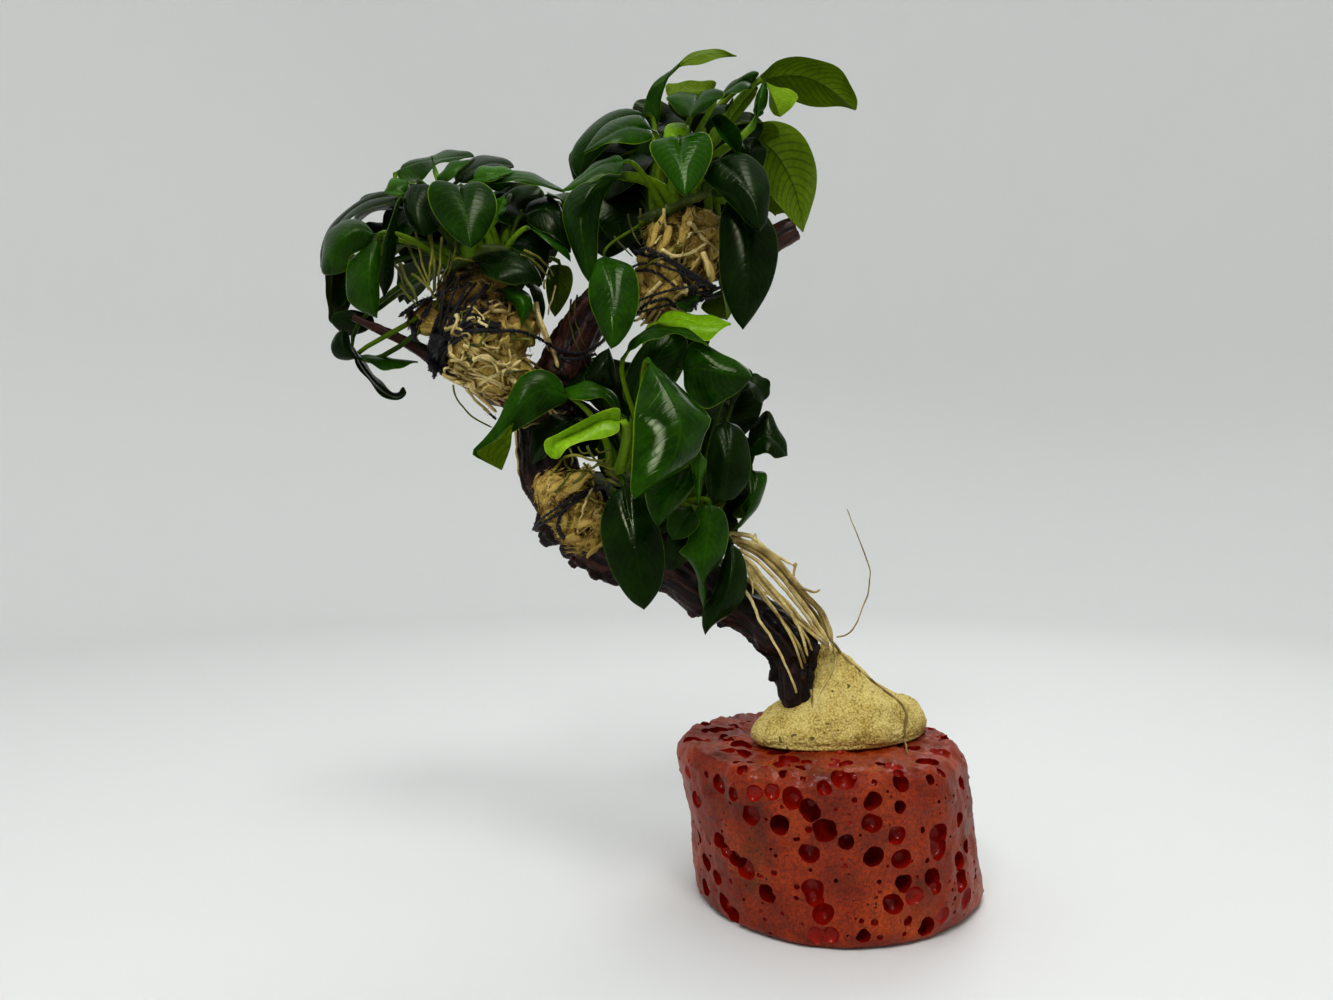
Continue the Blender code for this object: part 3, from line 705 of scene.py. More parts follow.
@dataclass(frozen=True)
class ScoriaFinish:
    """Red scoria, sawn to a drum and wet: brick-red, fine-grained, with iron stains and tiny open pores.

    The sawn face is dull and speckled. Water on it greys it with a purple sheen where it is seen edge-on.
    """

    name: str = "scoria"
    brick: str = "#8c2d04"
    light: str = "#a6420c"
    dark: str = "#641902"
    stain: str = "#3c2a08"
    pore_shade: str = "#210a05"

    def material(self) -> bpy.types.Material:
        """Builds the material.

        Returns:
            The material.
        """
        r = Recipe(self.name)
        broad = r.noise(16.0, 5.0)
        grit = r.noise(0.9, 4.0, roughness=0.7)
        pores = r.cells(1.5)
        fewer = r.noise(4.0, 2.0)
        stains = r.noise(21.0, 6.0, roughness=0.65)
        colour = r.ramp(broad, (0.3, self.dark), (0.5, self.brick), (0.72, self.light))
        dirty = r.remap(stains, 0.54, 0.75, 0.0, 0.7)
        colour = r.mix(dirty, colour, self.stain)
        grain = r.remap(grit, 0.34, 0.7, 0.5, 1.5)
        colour = r.shaded(colour, grain)
        # The tiny pores are painted near-black: painted shade inside them
        size = r.remap(fewer, 0.5, 0.75, 0.02, 0.28)
        hole = r.math("LESS_THAN", pores, size)
        colour = r.mix(hole, colour, self.pore_shade)
        rough = r.remap(grit, 0.3, 0.7, 0.38, 0.62)
        relief = r.math("MULTIPLY_ADD", hole, -1.2, grit)
        bump = r.bump(relief, 0.8, 0.35)
        return r.finish({
            "Base Color": colour, "Roughness": rough, "Normal": bump, "IOR": 1.5, "Specular IOR Level": 0.25,
            "Coat Weight": 0.3, "Coat Roughness": 0.14, "Coat IOR": 1.33,
        })


@dataclass(frozen=True)
class BubbleFinish:
    """The inside of a gas bubble in scoria: a skin of dark red glass, smooth and full of water.

    It gives a near-black upper half, a deep red floor and one small sharp gleam.
    """

    name: str = "scoria_bubble"
    floor: str = "#b01c05"
    deep: str = "#560602"

    def material(self) -> bpy.types.Material:
        """Builds the material.

        Returns:
            The material.
        """
        r = Recipe(self.name)
        lumps = r.noise(2.2, 3.0)
        colour = r.mix(lumps, self.deep, self.floor)
        bump = r.bump(lumps, 0.5, 0.4)
        return r.finish({
            "Base Color": colour, "Roughness": 0.3, "Normal": bump, "IOR": 1.5, "Specular IOR Level": 0.12,
            "Coat Weight": 0.55, "Coat Roughness": 0.05, "Coat IOR": 1.33,
        })


@dataclass(frozen=True)
class FoamFinish:
    """Open-cell polyurethane foam, torn and wet: pale yellow, fine-celled and dull, with specks of dirt."""

    name: str = "open_cell_foam"
    pale: str = "#d9c882"
    body: str = "#bfa85a"
    deep: str = "#877033"
    dirt: str = "#4a3d18"

    def material(self) -> bpy.types.Material:
        """Builds the material.

        Returns:
            The material.
        """
        r = Recipe(self.name)
        cells = r.cells(0.8)
        cloud = r.noise(7.0, 4.0)
        fuzz = r.noise(0.6, 3.0)
        specks = r.noise(2.6, 1.0)
        shade = r.math("MULTIPLY_ADD", fuzz, 1.1, cloud)
        shade = r.math("MULTIPLY_ADD", cells, -0.55, shade)
        colour = r.ramp(shade, (0.35, self.deep), (0.68, self.body), (1.0, self.pale))
        dirty = r.remap(specks, 0.715, 0.75, 0.0, 0.85)
        colour = r.mix(dirty, colour, self.dirt)
        relief = r.math("MULTIPLY_ADD", fuzz, 0.8, cells)
        bump = r.bump(relief, 0.8, 0.5)
        return r.finish({
            "Base Color": colour, "Roughness": 0.85, "Normal": bump,
            "Subsurface Weight": 0.25, "Subsurface Radius": (1.0, 0.8, 0.4), "Subsurface Scale": 1.5 * MM,
        })


@dataclass(frozen=True)
class WoolFinish:
    """Planting wool from a nursery pot: matted mineral fibre, stained tan by the water it was grown in."""

    name: str = "planting_wool"
    pale: str = "#c6aa58"
    body: str = "#92742f"
    deep: str = "#2c1d06"

    def material(self) -> bpy.types.Material:
        """Builds the material.

        Returns:
            The material.
        """
        r = Recipe(self.name)
        height = r.stored("ridge")
        cloud = r.noise(6.0, 4.0)
        threads = r.noise(0.9, 4.0, distortion=2.5)
        shade = r.math("MULTIPLY_ADD", threads, 0.8, cloud)
        # Painted shade: the stored height makes the creases darker and the folds paler
        shade = r.math("MULTIPLY_ADD", height, 0.35, shade)
        colour = r.ramp(shade, (0.55, self.deep), (0.9, self.body), (1.0, self.pale))
        bump = r.bump(threads, 0.9, 0.6)
        return r.finish({"Base Color": colour, "Roughness": 0.8, "Normal": bump})


@dataclass(frozen=True)
class ThreadFinish:
    """Black cotton sewing thread, wet: two soft plies, dull, with a blue cast where the light grazes it."""

    name: str = "cotton_thread"
    dark: str = "#050407"
    lint: str = "#16141b"

    def material(self) -> bpy.types.Material:
        """Builds the material.

        Returns:
            The material.
        """
        r = Recipe(self.name)
        lint = r.noise(0.5, 3.0)
        colour = r.mix(lint, self.dark, self.lint)
        bump = r.bump(lint, 0.6, 0.2)
        return r.finish({
            "Base Color": colour, "Roughness": 0.7, "Normal": bump,
            "Sheen Weight": 0.05, "Sheen Roughness": 0.5,
        })


@dataclass(frozen=True)
class RootFinish:
    """Living root: a smooth moist skin, cream when grown and yellow-green near its tip."""

    name: str
    pale: str
    body: str
    deep: str

    def material(self) -> bpy.types.Material:
        """Builds the material.

        Returns:
            The material.
        """
        r = Recipe(self.name)
        tone = r.stored("tone")
        cloud = r.noise(5.0, 3.0)
        skin = r.noise(0.7, 3.0)
        shade = r.math("ADD", tone, cloud)
        colour = r.ramp(shade, (0.2, self.deep), (0.5, self.body), (0.85, self.pale))
        stain = r.remap(skin, 0.35, 0.65, 0.75, 1.1)
        colour = r.shaded(colour, stain)
        bump = r.bump(skin, 0.4, 0.2)
        return r.finish({
            "Base Color": colour, "Roughness": 0.42, "Normal": bump, "IOR": 1.4,
            "Subsurface Weight": 0.2, "Subsurface Radius": (1.0, 0.7, 0.3), "Subsurface Scale": 0.6 * MM,
        })


CREAM_ROOT = RootFinish("cream_root", pale="#dccb92", body="#b9a468", deep="#7d6836")
GREEN_ROOT = RootFinish("green_root", pale="#8f8a30", body="#62641a", deep="#363a0c")
STEM = RootFinish("rhizome", pale="#6c7a20", body="#445410", deep="#222c08")


@dataclass(frozen=True)
class StudioFinish:
    """Painted studio floor and wall: matt and pale, with the roller's faint stipple."""

    name: str = "studio_paint"
    colour: str = "#dedfdd"

    def material(self) -> bpy.types.Material:
        """Builds the material.

        Returns:
            The material.
        """
        r = Recipe(self.name)
        stipple = r.noise(4.0, 2.0)
        bump = r.bump(stipple, 0.05, 0.2)
        return r.finish({"Base Color": self.colour, "Roughness": 0.6, "Normal": bump})


class Looks:
    """Every finish of the object, built once."""

    def __init__(self) -> None:
        """Builds the materials."""
        self.leaves = {
            LeafAge.YOUNG: YOUNG_LEAF.material(),
            LeafAge.FRESH: FRESH_LEAF.material(),
            LeafAge.GROWN: GROWN_LEAF.material(),
            LeafAge.OLD: OLD_SHADED_LEAF.material(),
        }
        self.wood = DriftwoodFinish().material()
        self.scoria = ScoriaFinish().material()
        self.bubble = BubbleFinish().material()
        self.foam = FoamFinish().material()
        self.wool = WoolFinish().material()
        self.thread = ThreadFinish().material()
        self.cream_root = CREAM_ROOT.material()
        self.green_root = GREEN_ROOT.material()
        self.stem = STEM.material()
        self.studio = StudioFinish().material()


def dress(piece: bpy.types.Object, slot: str, *nodes: str) -> bpy.types.Object:
    """Puts a piece on the body and hides the nodes that it stands for.

    Args:
        piece: the object.
        slot: not used.
        nodes: the record's nodes, if it stands for any.

    Returns:
        The piece.
    """
    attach(piece, BODY)
    if nodes:
        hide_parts(*nodes)
    log.info("%s: %d faces", piece.name, len(piece.data.polygons))
    return piece


# Studio


@dataclass
class Studio:
    """The camera at the front view, a round pale floor that curves up into a wall, and soft lights."""

    floor_radius: float = 800.0
    bend_radius: float = 350.0
    wall_height: float = 1500.0
    core_radius: float = 30.0
    sides: int = 96
    air: str = "#eef0f2"
    air_strength: float = 0.94
    lamps: tuple = (
        # name, place, target, size and power
        ("key", (-40.0, -380.0, 800.0), (-50.0, 0.0, 140.0), 240.0, 1.9),
        ("front", (-270.0, -560.0, 640.0), (-50.0, 0.0, 150.0), 110.0, 1.0),
        ("back", (300.0, 560.0, 760.0), (-40.0, 0.0, 120.0), 460.0, 1.5),
    )

    def build(self, looks: Looks) -> None:
        """Makes the camera, the floor and the lights.

        Args:
            looks: the finishes.
        """
        scene = bpy.context.scene
        data = bpy.data.cameras.new("camera")
        data.sensor_width = SENSOR
        data.lens = SENSOR * FOCAL / PICTURE_WIDTH
        data.clip_start = 10 * MM
        camera = bpy.data.objects.new("camera", data)
        camera.location = Vector(EYE * MM)
        camera.rotation_euler = (math.pi / 2, 0.0, 0.0)
        scene.collection.objects.link(camera)
        scene.camera = camera
        scene.view_settings.view_transform = "Standard"
        scene.view_settings.look = "Medium High Contrast"
        self.bowl(looks)
        for lamp in self.lamps:
            self.lamp(*lamp)
        world = bpy.data.worlds.new("studio_air")
        world.use_nodes = True
        background = world.node_tree.nodes["Background"].inputs
        background["Color"].default_value = paint(self.air)
        background["Strength"].default_value = self.air_strength
        scene.world = world

    def bowl(self, looks: Looks) -> bpy.types.Object:
        """The floor and the wall as one turned sheet.

        Args:
            looks: the finishes.

        Returns:
            The sheet.
        """
        bends = np.linspace(0.0, math.pi / 2, 17)
        wall = self.floor_radius + self.bend_radius
        bend = self.floor_radius + self.bend_radius * np.sin(bends[1:])
        radii = np.array((self.core_radius, self.floor_radius, *bend, wall))
        heights = np.array((0.0, 0.0, *(self.bend_radius * (1 - np.cos(bends[1:]))), self.wall_height))
        turn = np.arange(self.sides) * math.tau / self.sides
        ring = np.stack((np.cos(turn), np.sin(turn), np.zeros(self.sides)), axis=1)
        rings = ring * radii[:, None, None] + UP * heights[:, None, None]
        points, quads, tris = loft(rings)
        mesh = bpy.data.meshes.new("studio_floor")
        faces = [*quads.tolist(), *tris[: self.sides].tolist()]
        mesh.from_pydata((points * MM).tolist(), [], faces)
        mesh.shade_smooth()
        mesh.materials.append(looks.studio)
        made = bpy.data.objects.new("studio_floor", mesh)
        bpy.context.scene.collection.objects.link(made)
        return made

    def lamp(self, name: str, place: tuple, target: tuple, size: float, power: float) -> None:
        """Adds a square soft light that looks at a target.

        Args:
            name: the light's name.
            place: where it is.
            target: what it looks at.
            size: its side's length.
            power: its power in watts.
        """
        data = bpy.data.lights.new(name, "AREA")
        data.size = size * MM
        data.energy = power
        made = bpy.data.objects.new(name, data)
        made.location = Vector(place) * MM
        made.rotation_euler = (Vector(target) - Vector(place)).to_track_quat("-Z", "Y").to_euler()
        bpy.context.scene.collection.objects.link(made)


# Stone base

# A close view of the stone starts at this pixel of the front view and is enlarged this much
CLOSE_LEFT, CLOSE_TOP, CLOSE_SCALE = 660.0, 680.0, 4.612


class Hollow(Enum):
    """The kinds of bubble in the stone: how deep its middle lies and how far it goes in, in radii."""

    BOWL = (0.3, 1.0)
    DEEP = (0.55, 1.9)
    SHALLOW = (-0.25, 0.8)


@dataclass(frozen=True)
class Bubble:
    """A bubble that the close view shows: its middle and radius in that view's pixels."""

    x: float
    y: float
    radius: float
    kind: Hollow = Hollow.BOWL


BOWL, DEEP, SHALLOW = Hollow

BUBBLES = (
    Bubble(275, 480, 45), Bubble(335, 530, 36), Bubble(435, 520, 42, SHALLOW), Bubble(520, 512, 42, SHALLOW),
    Bubble(610, 552, 52), Bubble(690, 605, 50, DEEP), Bubble(420, 620, 50), Bubble(547, 665, 48, DEEP),
    Bubble(850, 460, 58), Bubble(765, 703, 58, DEEP), Bubble(860, 750, 40, DEEP), Bubble(690, 795, 48),
    Bubble(983, 565, 40, DEEP), Bubble(1105, 583, 34, DEEP), Bubble(980, 665, 48), Bubble(1093, 717, 42),
    Bubble(983, 810, 48, DEEP), Bubble(1110, 820, 50), Bubble(1285, 715, 58), Bubble(1285, 775, 58),
    Bubble(1262, 920, 40, DEEP), Bubble(1275, 960, 32), Bubble(1120, 942, 42, DEEP),
    Bubble(1175, 995, 48, SHALLOW), Bubble(1070, 1040, 50), Bubble(490, 983, 45, DEEP), Bubble(702, 970, 50),
    Bubble(715, 1010, 44), Bubble(755, 1080, 48), Bubble(725, 1185, 48, SHALLOW),
    Bubble(785, 1178, 42, SHALLOW), Bubble(945, 1180, 32, DEEP), Bubble(1143, 1110, 26),
    Bubble(1230, 1135, 40, DEEP), Bubble(1305, 1085, 42, SHALLOW), Bubble(265, 910, 36),
    Bubble(268, 735, 36, DEEP), Bubble(300, 790, 34), Bubble(345, 825, 36, DEEP), Bubble(395, 870, 48),
    Bubble(300, 1025, 44), Bubble(335, 1085, 42, DEEP), Bubble(210, 845, 40, DEEP), Bubble(178, 720, 38),
    Bubble(208, 960, 36, DEEP), Bubble(168, 555, 38), Bubble(130, 425, 34, SHALLOW), Bubble(380, 415, 28),
    Bubble(418, 380, 20, DEEP), Bubble(215, 437, 18), Bubble(565, 425, 22, DEEP),
    Bubble(1018, 388, 26, DEEP), Bubble(1245, 458, 24, DEEP), Bubble(1297, 428, 26), Bubble(1388, 478, 34),
    Bubble(1380, 645, 36), Bubble(1415, 765, 34, DEEP), Bubble(1380, 830, 46), Bubble(1390, 925, 50),
    Bubble(1412, 1010, 50, SHALLOW), Bubble(1212, 692, 18, DEEP), Bubble(685, 690, 18), Bubble(990, 473, 15),
    Bubble(525, 890, 14), Bubble(630, 955, 15), Bubble(628, 1007, 12, DEEP), Bubble(465, 1065, 9),
    Bubble(565, 1078, 9), Bubble(1012, 932, 12, DEEP), Bubble(930, 1112, 14), Bubble(990, 1118, 17),
    Bubble(1015, 1190, 16), Bubble(1160, 835, 9), Bubble(1050, 858, 8), Bubble(510, 1168, 9),
    Bubble(660, 455, 14), Bubble(563, 585, 10), Bubble(898, 555, 14),
)


@dataclass
class StoneBase:
    """A sawn drum of scoria, with bubbles open all over it and a socket for the foam in its top."""

    profile: tuple = (
        # height, radius and shift to the right of the ring's middle
        (0.0, 43.5, 1.5),
        (2.5, 46.0, 1.5),
        (13.0, 46.2, 0.6),
        (25.0, 46.5, -1.0),
        (37.0, 46.8, -3.2),
        (46.0, 46.6, -5.2),
        (50.5, 43.6, -5.6),
    )
    top: float = 50.5
    middle: tuple = (-5.0, 0.0)
    socket_middle: tuple = (-2.0, 2.0)
    socket_radius: float = 14.0
    socket_floor: float = 37.0
    foot_height: float = 14.0
    lip: float = 1.8
    lip_from: float = 40.0
    sides: int = 300
    side_rows: int = 60
    wild: tuple = (
        # where, how many, least and most radius, and how near two may be as a share of their radii
        ("side", 210, 2.0, 4.2, 0.75),
        ("top", 60, 1.4, 3.8, 0.6),
        ("pore", 380, 0.35, 0.95, 0.6),
    )
    view_gap: float = 40.0
    pore_radius: float = 1.2
    seed: int = 12

    def build(self, looks: Looks) -> bpy.types.Object:
        """Makes the stone and cuts its bubbles.

        Args:
            looks: the finishes.

        Returns:
            The stone.
        """
        stone = self.drum(looks)
        sites = self.sites(surface_of(stone))
        for layer in self.layers(sites):
            cutter = self.cutter(layer, looks)
            step = stone.modifiers.new("bubbles", "BOOLEAN")
            step.operation = "DIFFERENCE"
            step.solver = "MANIFOLD"
            step.object = cutter
            applied(stone)
            bpy.data.objects.remove(cutter)
        stone.data.shade_smooth()
        stone.data.set_sharp_from_angle(angle=math.radians(38))
        return dress(stone, "base_stone", "base_stone")

    def drum(self, looks: Looks) -> bpy.types.Object:
        """The drum before its bubbles are cut, roughened as a saw and the weather leave it.

        Args:
            looks: the finishes.

        Returns:
            The drum.
        """
        turn = np.arange(self.sides) * math.tau / self.sides
        out = np.stack((np.cos(turn), np.sin(turn), np.zeros(self.sides)), axis=1)
        profile = through(np.array(self.profile), self.side_rows // 6)
        # Low down, a spur to the right and a hollow to its left
        spur = 2.0 * np.maximum(0.0, np.cos(turn + 0.1)) ** 16
        foot = spur - 3.4 * np.maximum(0.0, np.cos(turn + 0.85)) ** 6
        rings = []
        for height, radius, shift in profile:
            uneven = np.array([noise.noise(Vector((x * 1.6, y * 1.6, height * 0.035))) for x, y, _ in out])
            lip = np.array([noise.noise(Vector((x * 3.1, y * 3.1, 0.0))) for x, y, _ in out])
            reach = radius + 1.4 * uneven + foot * max(0.0, 1.0 - height / self.foot_height)
            if height > self.lip_from:
                reach = reach + self.lip * lip
            rings.append(np.array((shift, 0.0, height)) + out * reach[:, None])
        rim = rings[-1]
        socket = np.array((*self.socket_middle, self.top))
        inner = socket + out * self.socket_radius
        for share in np.linspace(0.0, 1.0, 27)[1:]:
            rings.append(rim * (1 - share) + inner * share)
        for share in np.linspace(0.0, 1.0, 8)[1:]:
            rings.append(inner - UP * (self.top - self.socket_floor) * share - out * share)
        rings.append(np.array((*self.socket_middle, self.socket_floor)) + out * 6.0)
        rings = [np.array((1.5, 0.0, 0.0)) + out * 20.0, *rings]
        points, quads, tris = loft(np.array(rings))
        # Lumps 9 mm and 2 mm across, and grit
        lumps = fractal(points * 0.11, 2, self.seed) * 0.7 + fractal(points * 0.45, 3, self.seed + 3) * 0.38
        grit = fractal(points * 1.6, 2, self.seed + 5) * 0.09
        centred = points - np.array((*self.middle, 0.0))
        radial = centred * (1.0, 1.0, 0.0)
        radial /= np.maximum(np.linalg.norm(radial, axis=1, keepdims=True), 1e-6)
        height = points[:, 2]
        # The flat underside stays flat
        on_side = np.clip(height / 2.0, 0.0, 1.0) * (1.0 - np.clip((height - 49.0) / 1.5, 0.0, 1.0))
        on_top = np.clip((height - 48.5) / 2.0, 0.0, 1.0)
        points = points + radial * ((lumps + grit) * on_side)[:, None]
        points = points + UP * ((lumps * 1.6 + grit) * on_top)[:, None]
        shape = Shape()
        shape.add((points, quads, tris))
        return shape.make("stone_drum", looks.scoria, looks.bubble)

    def sites(self, tree: BVHTree) -> list[tuple]:
        """Where the bubbles are: middle, direction out of the stone, radius and kind of each.

        Args:
            tree: the drum's faces.

        Returns:
            The sites, the ones that the close view shows first.
        """
        found: list[tuple] = []
        for bubble in BUBBLES:
            u = CLOSE_LEFT + bubble.x / CLOSE_SCALE
            v = CLOSE_TOP + bubble.y / CLOSE_SCALE
            ray = Vector(seen(u, v, 0.0) - EYE).normalized()
            hit, out, _, _ = tree.ray_cast(Vector(EYE), ray)
            if hit is not None:
                radius = bubble.radius / CLOSE_SCALE * (hit.y - EYE[1]) / FOCAL
                found.append((np.array(hit), np.array(out), radius, bubble.kind))
        shown = len(found)
        dice = random.Random(self.seed)
        kinds = (Hollow.BOWL, Hollow.BOWL, Hollow.DEEP, Hollow.SHALLOW)
        for where, count, least, most, apart in self.wild:
            for _ in range(count):
                turn = dice.uniform(0.0, math.tau)
                size = least + (most - least) * dice.random() ** 2
                kind = dice.choice(kinds)
                if where == "top":
                    reach = 17.0 + 27.0 * math.sqrt(dice.random())
                    start = Vector((self.middle[0] + math.cos(turn) * reach, math.sin(turn) * reach, 80.0))
                    hit, out, _, _ = tree.ray_cast(start, Vector((0.0, 0.0, -1.0)))
                else:
                    start = Vector((math.cos(turn) * 90.0, math.sin(turn) * 90.0, dice.uniform(3.0, 48.0)))
                    hit, out, _, _ = tree.ray_cast(start, Vector((-math.cos(turn), -math.sin(turn), 0.0)))
                if hit is None:
                    continue
                place = np.array(hit)
                in_view = where == "side" and place[1] < 8.0 and place[2] < 47.0
                gaps = [(np.linalg.norm(place - other), held) for other, _, held, _ in found]
                clear = all(gap > (size + held) * apart for gap, held in gaps)
                near = min(gap - held for gap, held in gaps[:shown])
                free = where != "pore" or near > size + 0.4
                if clear and free and not (in_view and near < self.view_gap):
                    found.append((place, np.array(out), size, kind))
        return found

    def layers(self, sites: list[tuple]) -> list[list[tuple]]:
        """Sorts the sites so that no two in a layer touch: one cut can't take bubbles that overlap.

        Args:
            sites: the bubbles.

        Returns:
            The bubbles of each layer.
        """
        layers: list[list[tuple]] = []
        for site in sites:
            for layer in layers:
                if all(np.linalg.norm(site[0] - other[0]) > 2.6 * (site[2] + other[2]) for other in layer):
                    layer.append(site)
                    break
            else:
                layers.append([site])
        return layers

    def cutter(self, sites: list[tuple], looks: Looks) -> bpy.types.Object:
        """One object with an uneven ball for each site.

        Args:
            sites: the bubbles of one layer.
            looks: the finishes.

        Returns:
            The object.
        """
        shape = Shape()
        for number, (place, out, radius, kind) in enumerate(sites):
            sunk, deep = kind.value
            ball = radius / math.sqrt(1 - sunk * sunk)
            columns, rows = (22, 13) if radius > self.pore_radius else (10, 6)
            tilt = np.linspace(0.12, math.pi - 0.12, rows)[:, None]
            turn = (np.arange(columns) * math.tau / columns)[None, :]
            side = unit(np.cross(out, UP if abs(out[2]) < 0.9 else np.array((1.0, 0.0, 0.0))))
            up = np.cross(out, side)
            flat = np.sin(tilt)[..., None] * (np.cos(turn)[..., None] * side + np.sin(turn)[..., None] * up)
            depth = np.cos(tilt)[..., None] * np.ones_like(turn)[..., None]
            depth = np.where(depth < 0, depth * deep, depth)
            rings = flat + depth * out
            uneven = fractal((rings * 1.1 + place * 0.7 + number).reshape(-1, 3), 2).reshape(rings.shape[:2])
            rings = rings * (1.0 + 0.16 * uneven[..., None])
            shape.add(loft(place - out * sunk * ball + rings * ball))
        made = shape.make("bubbles", looks.scoria, looks.bubble)
        made.data.polygons.foreach_set("material_index", np.ones(len(made.data.polygons), np.int32))
        return made


# Foam wedge


@dataclass
class FoamWedge:
    """A torn piece of foam: a plug in the stone's socket and a wedge that hugs the trunk's foot."""

    rings: tuple = (
        # height, middle's x and y, half length and half width
        (41.0, -2.0, 2.0, 12.6, 12.6),
        (50.6, -2.0, 2.0, 13.2, 13.2),
        (50.9, 2.5, 1.5, 29.0, 17.5),
        (52.5, 2.2, 2.2, 31.0, 19.0),
        (55.0, 2.2, 2.6, 31.0, 19.5),
        (58.0, 2.8, 3.0, 29.5, 18.5),
        (61.0, 3.6, 3.0, 25.5, 17.0),
        (64.0, 4.4, 2.8, 18.5, 14.8),
        (68.0, 3.0, 2.5, 13.8, 11.8),
        (73.0, 0.4, 2.0, 10.2, 9.2),
        (77.5, -1.4, 1.0, 6.4, 6.4),
        (80.5, -2.7, 0.5, 3.6, 3.6),
        (82.3, -3.4, 0.5, 0.6, 0.6),
    )
    plug_top: float = 50.8
    turn: float = 24.0
    sides: int = 200
    rows: int = 7

    def build(self, looks: Looks) -> bpy.types.Object:
        """Makes the wedge.

        Args:
            looks: the finishes.

        Returns:
            The wedge.
        """
        rows = through(np.array(self.rings), self.rows)
        angle = np.arange(self.sides) * math.tau / self.sides
        turned = math.radians(self.turn)
        rings = []
        for height, x, y, length, width in rows:
            flat_x = np.cos(angle) * length
            flat_y = np.sin(angle) * width
            ring_x = flat_x * math.cos(turned) - flat_y * math.sin(turned)
            ring_y = flat_x * math.sin(turned) + flat_y * math.cos(turned)
            rings.append(np.stack((x + ring_x, y + ring_y, np.full(self.sides, height)), axis=1))
        points, quads, tris = loft(np.array(rings))
        shape = Shape()
        shape.add((points, quads, tris))
        made = shape.make("foam", looks.foam)
        out = normals_of(made)
        # The plug in the socket keeps its shape; above it the foam has lumps and torn cells
        free = np.clip((points[:, 2] - self.plug_top) / 2.0, 0.0, 1.0)
        swell = fractal(points * 0.07, 2, 4) * 1.3 + fractal(points * 0.35, 3, 8) * 0.3
        cells = lattice_noise(points * 1.1, 2) * 0.28 + lattice_noise(points * 2.3, 6) * 0.14
        move_points(made, points + out * ((swell + cells) * free)[:, None])
        return dress(made, "foam", "foam_wedge")


# Driftwood


@dataclass(frozen=True)
class Limb:
    """A limb of the driftwood: pixel, depth and radius in mm along it, and how bare of bark it is."""

    node: str
    places: tuple
    bare: float = 0.0


TRUNK = Limb("driftwood_trunk", (
    (806, 746, 0, 4.0),
    (801, 722, -3, 4.6),
    (798, 692, -3, 6.4),
    (796, 664, -2, 7.8),
    (784, 640, -1, 8.6),
    (762, 620, 0, 8.4),
    (735, 604, 0, 8.2),
    (708, 586, 0, 9.4),
    (678, 566, 0, 10.6),
    (640, 552, 0, 10.0),
    (608, 540, 0, 10.0),
    (580, 516, 0, 10.6),
    (557, 486, 0, 10.0),
    (545, 452, 0, 9.4),
    (546, 424, 1, 8.6),
    (553, 396, 2, 8.0),
    (554, 390, 2.3, 7.6),
))
UPPER_BRANCH = Limb("driftwood_upper_branch", (
    (553, 396, 2, 7.8),
    (563, 364, 4, 7.5),
    (576, 334, 6, 7.3),
    (594, 310, 8, 7.0),
    (628, 290, 9, 6.8),
    (672, 274, 9, 6.4),
    (716, 262, 8, 5.6),
    (752, 251, 7, 4.8),
    (796, 228, 6, 4.1),
), bare=0.5)
LEFT_BRANCH = Limb("driftwood_left_branch", (
    (544, 410, 2.5, 4.2),
    (517, 400, 3, 4.2),
    (496, 392, 4, 4.4),
    (464, 375, 4, 3.9),
    (432, 356, 3, 3.0),
    (412, 345, 2, 2.2),
    (382, 331, 1, 1.8),
    (352, 317, 0, 1.6),
), bare=0.8)


